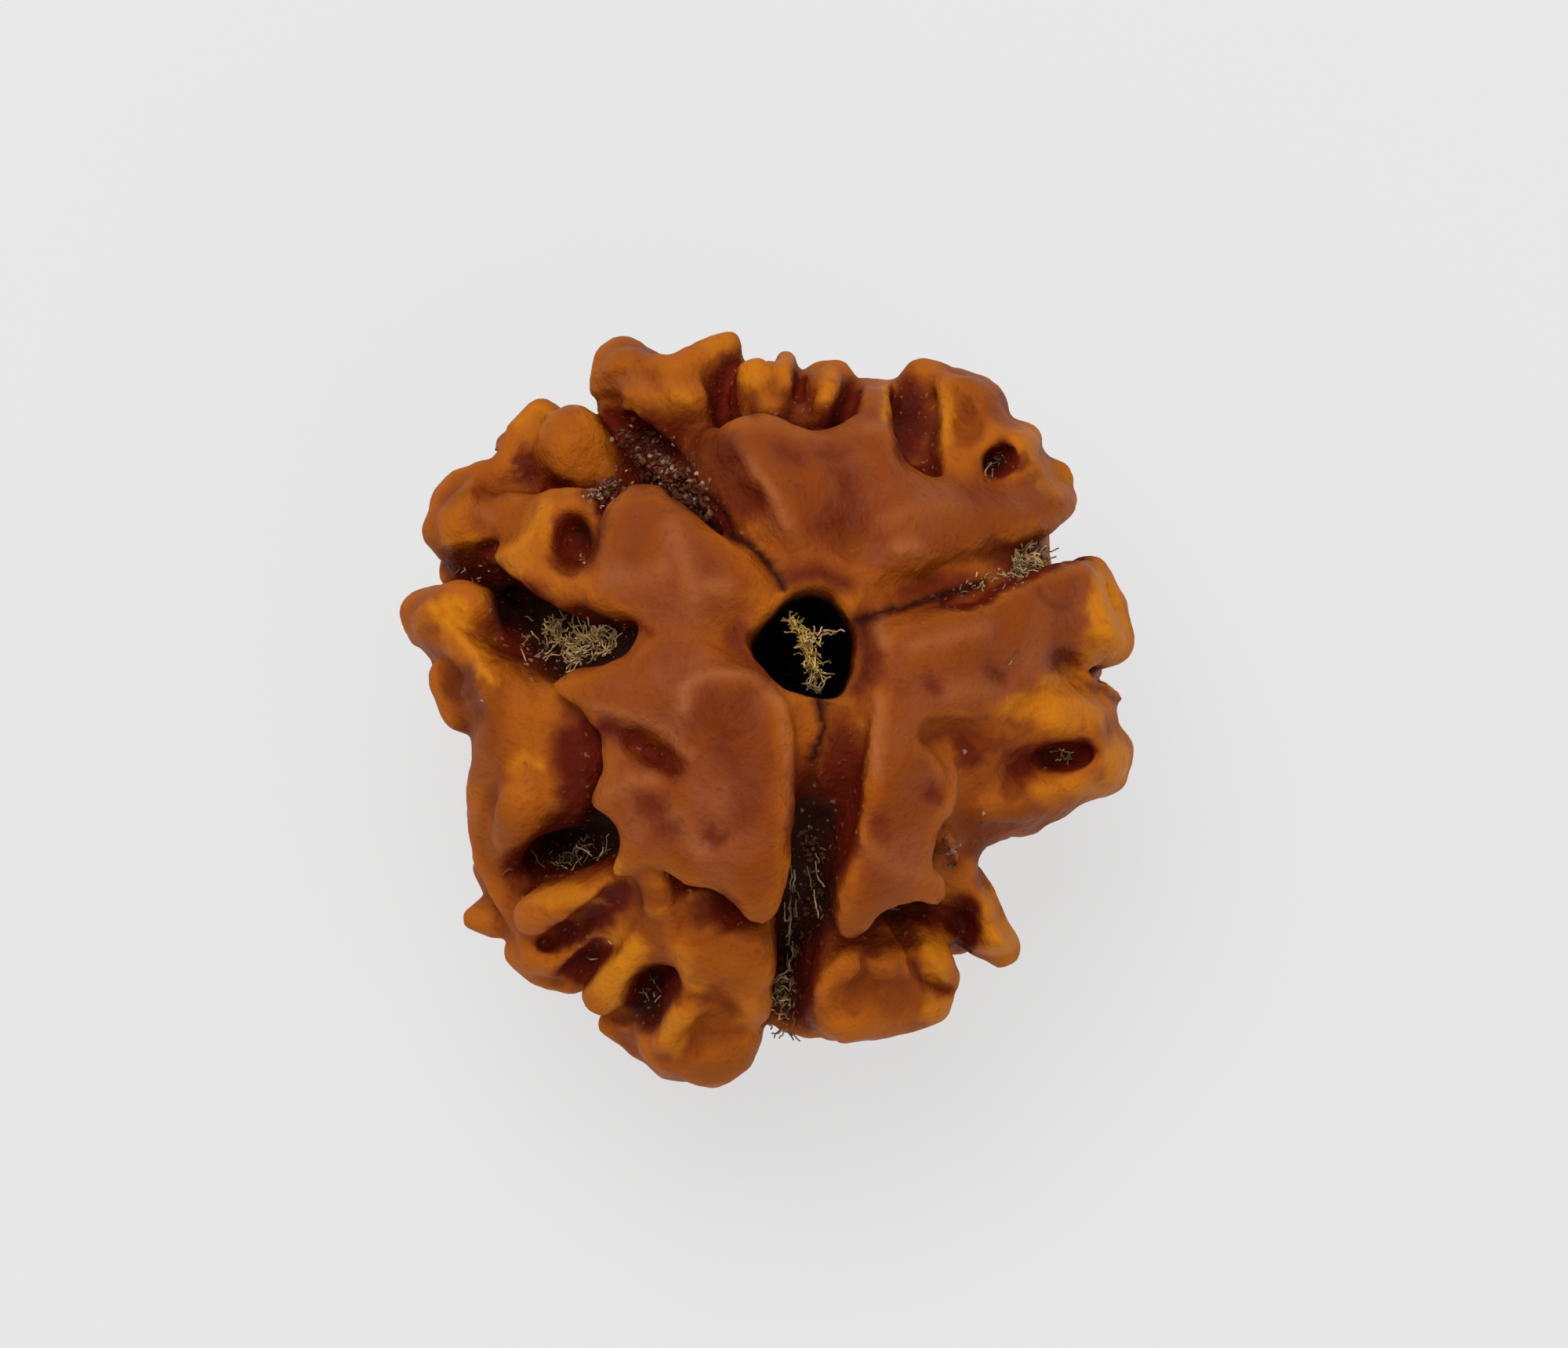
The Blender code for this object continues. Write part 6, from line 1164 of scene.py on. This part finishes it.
stoneLook = {
    "knob": (0.24, 0.048, 0.004, 1),
    "knobBright": (0.44, 0.112, 0.006, 1),
    "yellow": (0.565, 0.180, 0.005, 1),
    # painted sheen of the rims and crests
    "sheen": (0.36, 0.108, 0.034, 1),
    "land": (0.21, 0.040, 0.008, 1),
    # paler mottling of the plates, and also their painted sheen in broad patches
    "landPaleAndSheen": (0.30, 0.082, 0.028, 1),
    "maroon": (0.095, 0.0075, 0.002, 1),
    # painted glow of red light through the stone, in the less open places
    "paintedGlow": (0.16, 0.013, 0.004, 1),
    # painted shade of deep places and pit bottoms
    "depthShade": (0.020, 0.005, 0.002, 1),
    # painted shade: the inside of the bore, near black
    "bore": (0.002, 0.001, 0.0008, 1),
    "crack": (0.032, 0.004, 0.0015, 1),
    "paleSpecks": (0.42, 0.20, 0.12, 1),
    "noises": {  # how many to the metre, detail, roughness, distortion
        "broad": (200, 3, 0.5, 0), "mottle": (650, 4, 0.6, 0), "patch": (330, 2, 0.5, 0.4),
        "fine": (2600, 3, 0.6, 0), "grit": (5200, 1, 0.4, 0)},
    "roughness": (0.44, 0.6),
    "bump": {"Strength": 0.8, "Distance": 0.2 * mm},
    "shader": {"IOR": 1.1, "Specular IOR Level": 0.95},
}


def makeStoneMaterial():
    look = stoneLook
    material, tree, shader = newMaterial("rudrakshaStone", look["shader"])
    where = addNode(tree, "ShaderNodeTexCoord").outputs["Object"]
    openness, crestWearAndGlow, land = (attributeNode(tree, name) for name in ("openness", "crestWearAndGlow", "land"))
    crack, maroonAndShade, inBore = (attributeNode(tree, name) for name in ("crack", "maroonAndShade", "inBore"))
    bright, low, sheen = (attributeNode(tree, name) for name in ("bright", "low", "sheen"))
    broad, mottle, patch, fine, grit = (noiseNode(tree, where, *values) for values in look["noises"].values())

    def band(value, low, high, strength=1.0):
        return mapRange(tree, value, low, high, 0.0, strength)

    def times(value, factor):
        return mathNode(tree, "MULTIPLY", value, factor)

    def plus(value, more, clamp=False):
        return mathNode(tree, "ADD", value, more, clamp)

    def layered(colour, layers):
        for mask, name in layers:
            colour = mixColour(tree, mask, colour, look[name])
        return colour

    knob = layered(look["knob"], [
        (band(broad, 0.35, 0.75, 0.35), "knobBright"),
        # crests lighter: partly worn edges, partly painted glow
        (band(crestWearAndGlow, 0.5, 0.8, 0.8), "knobBright"),
        (band(mottle, 0.5, 0.72, 0.5), "knobBright"),
        (band(patch, 0.46, 0.3, 0.35), "maroon"),
        (bright, "yellow")])
    plate = layered(look["land"], [
        # paler mottling of the plate's own colour
        (band(mottle, 0.4, 0.7, 0.6), "landPaleAndSheen"),
        # painted sheen in broad patches on the plates
        (band(patch, 0.52, 0.72, 0.8), "landPaleAndSheen"),
        (band(patch, 0.45, 0.3, 0.45), "maroon"),
        # plate crests lighter: partly worn edges, partly painted glow
        (band(crestWearAndGlow, 0.58, 0.8), "knob")])
    onPlate = mathNode(tree, "SUBTRACT", band(land, 0.05, 0.6), times(bright, 0.9), True)
    # how open each place is, with some mottling; the less open places get painted shade and a painted glow
    mottledOpenness = plus(openness, times(mottle, 0.16))
    # pale specks from fine noise, more of them in the less open places
    paleSpecks = times(band(grit, 0.68, 0.74), band(openness, 0.85, 0.6))
    skin = layered(mixColour(tree, onPlate, knob, plate), [
        # painted sheen on raised rims and crests
        (sheen, "sheen"),
        (band(fine, 0.62, 0.72, 0.3), "maroon"),
        # painted shade: maroon in the less open places
        (band(mottledOpenness, 0.84, 0.5), "maroon"),
        # maroon patches: partly the stone's own colour, partly painted shade
        (maroonAndShade, "maroon"),
        # painted glow: brighter red deeper in, standing in for light that passes through the red stone
        (band(mottledOpenness, 0.55, 0.3), "paintedGlow"),
        # painted shade where the skin lies deep and at the bottoms of pits
        (low, "depthShade"),
        # painted shade: near black where the skin is least open
        (band(mottledOpenness, 0.2, 0.08, 0.6), "depthShade"),
        (crack, "crack"),
        (times(paleSpecks, 0.35), "paleSpecks"),
        # painted shade: the inside of the bore near black
        (inBore, "bore")])
    tree.links.new(skin, shader.inputs["Base Color"])

    rough = plus(mapRange(tree, mottle, 0.3, 0.7, *look["roughness"]), band(openness, 0.6, 0.2, 0.3), True)
    tree.links.new(rough, shader.inputs["Roughness"])
    height = plus(plus(times(mottle, 0.6), times(fine, 0.5)), times(grit, 0.12))
    bump = addNode(tree, "ShaderNodeBump", {"Height": height, **look["bump"]})
    tree.links.new(bump.outputs[0], shader.inputs["Normal"])
    return material


# Tufts of dried fibre. Each has a path of (across, up), how far off it the fibres stand, how many there are,
# how long they are, how much they follow the path, and a tone: 0 gold, 0.5 cream, 1 grey. A tuft with a reach
# hangs there; the others lie on the skin. With "below", no fibre stands on skin that reaches further out.
tufts = {
    "inBore": {"path": [(0.75, 2.75), (0.95, 2.35), (1.15, 1.85), (1.4, 1.4), (1.6, 0.9)], "reach": 8.3,
        "spread": 0.07, "count": 120, "length": 0.42, "along": 0.5, "tone": 0.05},
    "inBoreFork": {"path": [(1.2, 1.95), (1.55, 2.2), (2.05, 2.35)], "reach": 8.3, "spread": 0.05,
        "count": 36, "length": 0.32, "along": 0.5, "tone": 0.25},
    "inBoreEnd": {"path": [(1.3, 0.75), (1.6, 0.6)], "reach": 8.4, "spread": 0.1, "count": 12,
        "length": 0.35, "along": 0.2, "tone": 0.8},
    "leftPit": {"path": [(-6.3, 1.9), (-6, 2.5), (-5.6, 1.5), (-5.2, 2.2), (-4.8, 1.9), (-4.4, 2.3)],
        "spread": 0.2, "count": 220, "length": 0.6, "along": 0.1, "tone": 0.32, "below": 9.5},
    "leftPitEdge": {"path": [(-6.9, 1.4), (-6.7, 2.3)], "spread": 0.25, "count": 20, "length": 0.3,
        "along": 0.1, "tone": 0.8, "below": 9.5},
    "lowLeftPit": {"path": [(-6.5, -4.85), (-6.1, -4.4), (-5.7, -4.3), (-5.2, -3.7), (-5, -4.2)],
        "spread": 0.2, "count": 50, "length": 0.6, "along": 0.3, "tone": 0.85, "below": 9.3},
    "rightSeam": {"path": [(7.35, 4.15), (7.6, 4.35), (7.9, 4.5), (8.2, 4.65)], "spread": 0.16, "count": 130,
        "length": 0.45, "along": 0.1, "tone": 0.72, "below": 11},
    "rightSeamFilm": {"path": [(5.9, 3.6), (6.9, 3.95)], "spread": 0.16, "count": 26, "length": 0.2,
        "along": 0.7, "tone": 0.9, "below": 9.9},
    "lowerSeamStreaks": {"path": [(1.25, -3.2), (1.35, -4.2), (1.5, -4.9), (1.55, -5.9)], "spread": 0.1,
        "count": 16, "length": 0.8, "along": 0.95, "tone": 0.85, "below": 9.2},
    "lowerSeamThreads": {"path": [(0.8, -4), (0.85, -5.2), (0.8, -6.2), (0.85, -8)], "spread": 0.12,
        "count": 40, "length": 0.8, "along": 0.95, "tone": 1, "below": 9.6},
    "lowerSeamTuft": {"path": [(0.75, -7.9), (0.45, -8.4), (0.6, -8.9)], "spread": 0.16, "count": 90,
        "length": 0.4, "along": 0.2, "tone": 0.7, "below": 10.2},
    "lowerSeamEnd": {"path": [(0.15, -9.45), (0.6, -9.6)], "spread": 0.15, "count": 50, "length": 0.35,
        "along": 0.2, "tone": 0.9, "below": 11},
    "bottomPit": {"path": [(-3.5, -7.9), (-3.3, -8.3), (-3.5, -8.6)], "spread": 0.18, "count": 14,
        "length": 0.35, "along": 0.3, "tone": 0.95, "below": 10.4},
    "rightEndPit": {"path": [(6.5, 7.15), (6.9, 7.3), (7, 7.7)], "spread": 0.15, "count": 14, "length": 0.35,
        "along": 0.2, "tone": 1, "below": 11},
    "hookPit": {"path": [(8.6, -1.2), (8.9, -1.5)], "spread": 0.1, "count": 10, "length": 0.35, "along": 0.3,
        "tone": 0.9, "below": 10.3},
    "gapByFinger": {"path": [(-8.9, 4.2), (-8.2, 4.1)], "spread": 0.15, "count": 8, "length": 0.3,
        "along": 0.3, "tone": 1, "below": 10.6},
    "leftSheetPit": {"path": [(-5.4, -6.9), (-4.6, -7)], "spread": 0.15, "count": 6, "length": 0.3,
        "along": 0.3, "tone": 0.9, "below": 10},
}

# Crumbs of dried flesh on the skin, in the same way; size is the half width of the largest
crumbs = {
    "upperLeftSeam": {"path": [(-4.2, 8.5), (-3.7, 8), (-3.3, 7.2), (-2.6, 6.7), (-2.1, 6.1), (-1.5, 5.6)],
        "spread": 0.34, "count": 210, "size": 0.13, "tone": 0.3, "below": 9.7},
    "byLeftBall": {"path": [(-5.1, 6.2), (-4.7, 6.5), (-4.2, 6.85)], "spread": 0.17, "count": 60,
        "size": 0.11, "tone": 0.7, "below": 9.9},
    "seamPale": {"path": [(-3.9, 8.35), (-3.35, 7.9), (-3, 7.2), (-2.4, 6.8), (-2, 6.5)], "spread": 0.3,
        "count": 60, "size": 0.11, "tone": 1, "below": 9.6},
    "behindFinger": {"path": [(-5.5, 4.55), (-5.25, 4.4)], "spread": 0.05, "count": 9, "size": 0.07,
        "tone": 1, "below": 10},
    "leftPit": {"path": [(-6.95, 1.8), (-6.7, 1.4)], "spread": 0.2, "count": 26, "size": 0.08, "tone": 0.8,
        "below": 9.6},
    "rightSeam": {"path": [(7.2, 3.95), (7.7, 4.1)], "spread": 0.2, "count": 40, "size": 0.09, "tone": 0.9,
        "below": 11},
    "lowerSeam": {"path": [(1.3, -3.4), (1.4, -5.6), (0.8, -7.6), (0.6, -9.3)], "spread": 0.28, "count": 150,
        "size": 0.1, "tone": 0, "below": 9.5},
    "lowLeftPit": {"path": [(-6.4, -4.6), (-5.2, -3.9)], "spread": 0.3, "count": 60, "size": 0.07,
        "tone": 0.3, "below": 9.2},
    "rightFlake": {"path": [(5.3, -3.7), (5.6, -4.4)], "spread": 0.18, "count": 22, "size": 0.1, "tone": 0.6,
        "below": 10},
    "specks": {"path": [(-7.8, -0.9), (6.4, -3), (5.85, -1.2), (-8.3, 0.3), (7.2, 1.4), (8.8, 1.4)],
        "spread": 0, "count": 6, "size": 0.08, "tone": 1, "below": 12, "atPoints": True},
}

# What every tuft and crumb shares
scatter = {
    "lookFrom": 0.03,  # metres
    "lifted": 0.35,
    "depthSpread": 0.12,
    "lengths": (0.35, 1.15),
    "toneSpread": 0.22,
}


def scatteredRoots(skin, areas, name, seed):
    # one point for each fibre or crumb, with the way it stands, its size and its tone
    draw = random.Random(seed)
    tree = BVHTree.FromObject(skin, bpy.context.evaluated_depsgraph_get())
    viewer = seen(0, 0, 1)
    points, ways, sizes, tones = [], [], [], []
    for area in areas.values():
        path = [Vector(point) for point in area["path"]]
        for number in range(area["count"]):
            if "atPoints" in area:
                step, part = number, 0.0
            else:
                step = draw.randrange(len(path) - 1)
                part = draw.random()
            after = path[min(step + 1, len(path) - 1)]
            spot = path[step].lerp(after, part)
            spot += Vector((draw.gauss(0, area["spread"]), draw.gauss(0, area["spread"])))
            if "reach" in area:
                reach = area["reach"] + draw.gauss(0, scatter["depthSpread"])
                place = (seen(spot.x, spot.y, reach) + shift) * mm
                outward = viewer
            else:
                onSight = (seen(spot.x, spot.y, 0) + shift) * mm
                place, outward = tree.ray_cast(onSight + viewer * scatter["lookFrom"], -viewer)[:2]
                if place is None or (place / mm - shift).length > area["below"]:
                    continue
            ahead = after - path[step]
            course = Vector((ahead.x, ahead.y * math.cos(viewLean), ahead.y * math.sin(viewLean)))
            course = course.normalized() * draw.choice((-1, 1)) if course.length else Vector()
            loose = Vector([draw.gauss(0, 1) for _ in range(3)]).normalized() + outward * scatter["lifted"]
            along = area.get("along", 0)
            points.append(place)
            ways.append((loose.normalized() * (1 - along) + course * along).normalized())
            sizes.append(area.get("length", area.get("size")) * draw.uniform(*scatter["lengths"]))
            tones.append(min(max(area["tone"] + draw.gauss(0, scatter["toneSpread"]), 0), 1))
    mesh = bpy.data.meshes.new(name)
    mesh.from_pydata(points, [], [])
    attribute = mesh.attributes.new("way", "FLOAT_VECTOR", "POINT")
    attribute.data.foreach_set("vector", np.array(ways, dtype=np.float32).ravel())
    setAttribute(mesh, "size", sizes)
    setAttribute(mesh, "tone", tones)
    return addObject(name, mesh)


def newGroup(name, kind, inputs, output):
    # inputs are named sockets, each with its kind and, where it has one, its value
    tree = bpy.data.node_groups.new(name, kind)
    for key, (socketKind, value) in inputs.items():
        socket = tree.interface.new_socket(key, in_out="INPUT", socket_type="NodeSocket" + socketKind)
        if value is not None:
            socket.default_value = value
    tree.interface.new_socket(output, in_out="OUTPUT", socket_type="NodeSocket" + output)
    return tree, addNode(tree, "NodeGroupInput").outputs


def readOff(tree, name, kind="FLOAT"):
    node = addNode(tree, "GeometryNodeInputNamedAttribute", {"Name": name}, data_type=kind)
    return node.outputs["Attribute"]


def placedOnRoots(tree, given, shape, instance):
    # one instance on each root, standing the way the root says, as real geometry
    way = addNode(tree, "FunctionNodeAlignRotationToVector", {"Vector": readOff(tree, "way", "FLOAT_VECTOR")},
                  axis="Z").outputs[0]
    size = mathNode(tree, "MULTIPLY", readOff(tree, "size"), given["Scale"])
    scale = addNode(tree, "ShaderNodeVectorMath", {0: shape, "Scale": size}, operation="SCALE").outputs[0]
    instances = addNode(tree, "GeometryNodeInstanceOnPoints", {
        "Points": given["Geometry"], "Instance": instance, "Rotation": way, "Scale": scale}).outputs[0]
    return addNode(tree, "GeometryNodeRealizeInstances", {"Geometry": instances}).outputs[0]


def bentBy(tree, geometry, scale, amount):
    # moves every point by noise that depends on where it is
    where = addNode(tree, "GeometryNodeInputPosition").outputs[0]
    waves = addNode(tree, "ShaderNodeTexNoise", {"Vector": where, "Scale": scale, "Detail": 2.0})
    centred = addNode(tree, "ShaderNodeVectorMath", {0: waves.outputs["Color"], 1: (0.5, 0.5, 0.5)},
                      operation="SUBTRACT").outputs[0]
    moved = addNode(tree, "ShaderNodeVectorMath", {0: centred, "Scale": amount}, operation="SCALE").outputs[0]
    return addNode(tree, "GeometryNodeSetPosition", {"Geometry": geometry, "Offset": moved}).outputs[0]


def endGroup(tree, geometry, material):
    real = addNode(tree, "GeometryNodeRealizeInstances", {"Geometry": geometry}).outputs[0]
    dressed = addNode(tree, "GeometryNodeSetMaterial", {"Geometry": real, "Material": material}).outputs[0]
    addNode(tree, "NodeGroupOutput", {"Geometry": dressed})
    return tree


def makeFibreGroup(material):
    tree, given = newGroup("driedFibres", "GeometryNodeTree", {
        "Geometry": ("Geometry", None), "Scale": ("Float", mm), "Thickness": ("Float", 0.03 * mm),
        "Curl": ("Float", 0.5 * mm)}, "Geometry")
    line = addNode(tree, "GeometryNodeCurvePrimitiveLine", {"End": (0, 0, 1)}).outputs[0]
    strand = addNode(tree, "GeometryNodeResampleCurve", {"Curve": line, "Count": 8}).outputs[0]
    loose = placedOnRoots(tree, given, (1, 1, 1), strand)
    along = addNode(tree, "GeometryNodeSplineParameter").outputs["Factor"]
    curled = bentBy(tree, loose, fibreLook["curls"], mathNode(tree, "MULTIPLY", along, given["Curl"]))
    profile = addNode(tree, "GeometryNodeCurvePrimitiveCircle", {
        "Resolution": 4, "Radius": given["Thickness"]}).outputs[0]
    body = addNode(tree, "GeometryNodeCurveToMesh", {
        "Curve": curled, "Profile Curve": profile, "Fill Caps": True}).outputs[0]
    return endGroup(tree, body, material)


def makeCrumbGroup(material):
    tree, given = newGroup("seamCrumbs", "GeometryNodeTree", {
        "Geometry": ("Geometry", None), "Scale": ("Float", mm), "Roughness": ("Float", 0.2 * mm)}, "Geometry")
    ball = addNode(tree, "GeometryNodeMeshIcoSphere", {"Radius": 1.0, "Subdivisions": 2}).outputs[0]
    loose = placedOnRoots(tree, given, crumbLook["shape"], ball)
    return endGroup(tree, bentBy(tree, loose, crumbLook["dents"], given["Roughness"]), material)


def grown(roots, group, values, name):
    # what the group grows on the roots, as a plain mesh
    modifier = roots.modifiers.new("grow", "NODES")
    modifier.node_group = group
    for item in group.interface.items_tree:
        if item.item_type == "SOCKET" and item.in_out == "INPUT" and item.name in values:
            modifier[item.identifier] = values[item.name]
    mesh = evaluatedMesh(roots, name)
    bpy.data.objects.remove(roots)
    print("stage:", name, len(mesh.polygons), "faces")
    return addObject(name, mesh)


# Each look has the colours at tone 0, 0.5 and 1, and the shade of its darker patches
fibreLook = {
    "tones": {
        "First": (0.47, 0.29, 0.045, 1), "Middle": (0.74, 0.50, 0.235, 1), "Last": (0.20, 0.14, 0.08, 1),
        "Shade": (0.10, 0.055, 0.018, 1)},
    "patches": {"Patch Scale": 3000, "Patch End": 0.35, "Patch Strength": 0.8},
    "shader": {"Roughness": 0.8, "IOR": 1.1, "Specular IOR Level": 0.3},
    "sizes": {"Scale": mm, "Thickness": 0.024 * mm, "Curl": 0.95 * mm},
    "curls": 2200,
}
crumbLook = {
    "tones": {
        "First": (0.075, 0.022, 0.012, 1), "Middle": (0.15, 0.05, 0.026, 1), "Last": (0.48, 0.29, 0.20, 1),
        "Shade": (0.075, 0.022, 0.012, 1)},
    "patches": {"Patch Scale": 4500, "Patch End": 0.4, "Patch Strength": 0.7},
    "shader": {"Roughness": 0.6, "IOR": 1.1, "Specular IOR Level": 0.3},
    "sizes": {"Scale": mm, "Roughness": 0.24 * mm},
    "shape": (1, 0.8, 0.5),
    "dents": 7000,
}


def makeTonesGroup():
    # the colour of dried matter: three tones that run into each other, with darker patches
    colours = {name: ("Color", None) for name in ("First", "Middle", "Last", "Shade")}
    numbers = {name: ("Float", None) for name in ("Tone", "Patch Scale", "Patch End", "Patch Strength")}
    sockets = {"Where": ("Vector", None), **colours, **numbers}
    tree, given = newGroup("driedTones", "ShaderNodeTree", sockets, "Color")
    patches = noiseNode(tree, given["Where"], given["Patch Scale"], 2.0)
    colour = mixColour(tree, mapRange(tree, given["Tone"], 0.0, 0.5), given["First"], given["Middle"])
    colour = mixColour(tree, mapRange(tree, given["Tone"], 0.5, 1.0), colour, given["Last"])
    patchy = mapRange(tree, patches, 0.55, given["Patch End"], 0.0, given["Patch Strength"])
    addNode(tree, "NodeGroupOutput", {"Color": mixColour(tree, patchy, colour, given["Shade"])})
    return tree


def makeDriedMaterial(name, look, tonesGroup):
    material, tree, shader = newMaterial(name, look["shader"])
    colour = addNode(tree, "ShaderNodeGroup", {
        "Where": addNode(tree, "ShaderNodeTexCoord").outputs["Object"], "Tone": attributeNode(tree, "tone"),
        **look["tones"], **look["patches"]}, node_tree=tonesGroup).outputs["Color"]
    tree.links.new(colour, shader.inputs["Base Color"])
    return material


floorLook = {
    "reach": 1.5,  # metres
    "shader": {
        "Base Color": (0.16, 0.16, 0.16, 1), "Emission Color": (1, 1, 1, 1), "Emission Strength": 0.63,
        "Roughness": 0.9, "Specular IOR Level": 0.1},
}


def makeStage():
    reach = floorLook["reach"]
    floor = bpy.data.meshes.new("floor")
    floor.from_pydata([(-reach, -reach, 0), (reach, -reach, 0), (reach, reach, 0), (-reach, reach, 0)], [],
                      [(0, 1, 2, 3)])
    floor.materials.append(newMaterial("paleFloor", floorLook["shader"])[0])
    addObject("floor", floor)


# Each lamp is given by its place and size, in metres, and its power in watts
lights = {
    "key": {"from": (-0.06, 0.10, 0.44), "size": 0.26, "power": 1.25},
    "fill": {"from": (0.2, -0.25, 0.35), "size": 0.3, "power": 0.25},
}
lightsAimAt = (0, 0, 0.01)
surround = {"Color": (1, 1, 1, 1), "Strength": 0.52}


def makeLights():
    for name, lamp in lights.items():
        data = bpy.data.lights.new(name, "AREA")
        data.size = lamp["size"]
        data.energy = lamp["power"]
        obj = addObject(name, data)
        place = Vector(lamp["from"])
        obj.location = place
        obj.rotation_mode = "QUATERNION"
        obj.rotation_quaternion = (Vector(lightsAimAt) - place).to_track_quat("-Z", "Y")
    world = bpy.data.worlds.new("studio")
    world.use_nodes = True
    for key, value in surround.items():
        world.node_tree.nodes["Background"].inputs[key].default_value = value
    bpy.context.scene.world = world


view = {
    "pixelsPerMm": 43,
    "imageWidth": 2000,
    "imageHeight": 1719,
    "middlePixel": (976, 906),
    "distance": 600,  # millimetres
    "sensor": 36,
    "clips": (0.01, 10),  # metres
}


def makeCamera():
    data = bpy.data.cameras.new("camera")
    data.sensor_width = view["sensor"]
    data.lens = view["distance"] * view["sensor"] * view["pixelsPerMm"] / view["imageWidth"]
    data.clip_start, data.clip_end = view["clips"]
    back = Vector((0, -math.sin(viewLean), math.cos(viewLean)))
    upward = Vector((0, math.cos(viewLean), math.sin(viewLean)))
    aside = (view["imageWidth"] / 2 - view["middlePixel"][0]) / view["pixelsPerMm"]
    lift = (view["middlePixel"][1] - view["imageHeight"] / 2) / view["pixelsPerMm"]
    obj = addObject("camera", data)
    obj.location = (shift + back * view["distance"] + Vector((aside, 0, 0)) + upward * lift) * mm
    obj.rotation_mode = "QUATERNION"
    obj.rotation_quaternion = (-back).to_track_quat("-Z", "Y")
    bpy.context.scene.camera = obj


makeCamera()
makeLights()
makeStage()
bpy.context.scene.view_settings.view_transform = "Standard"

skin = makeStone()
addSkinAttributes(skin)
skin.data.materials.clear()
skin.data.materials.append(makeStoneMaterial())
skin.data.shade_smooth()
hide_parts("rudraksha_stone")
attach(skin, "root")

tonesGroup = makeTonesGroup()
fibreMaterial = makeDriedMaterial("driedFibre", fibreLook, tonesGroup)
crumbMaterial = makeDriedMaterial("driedCrumb", crumbLook, tonesGroup)
fibres = grown(scatteredRoots(skin, tufts, "fibreRoots", 3), makeFibreGroup(fibreMaterial),
               fibreLook["sizes"], "driedFibres")
flesh = grown(scatteredRoots(skin, crumbs, "crumbRoots", 4), makeCrumbGroup(crumbMaterial),
              crumbLook["sizes"], "driedCrumbs")
for piece in (fibres, flesh):
    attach(piece, "root")
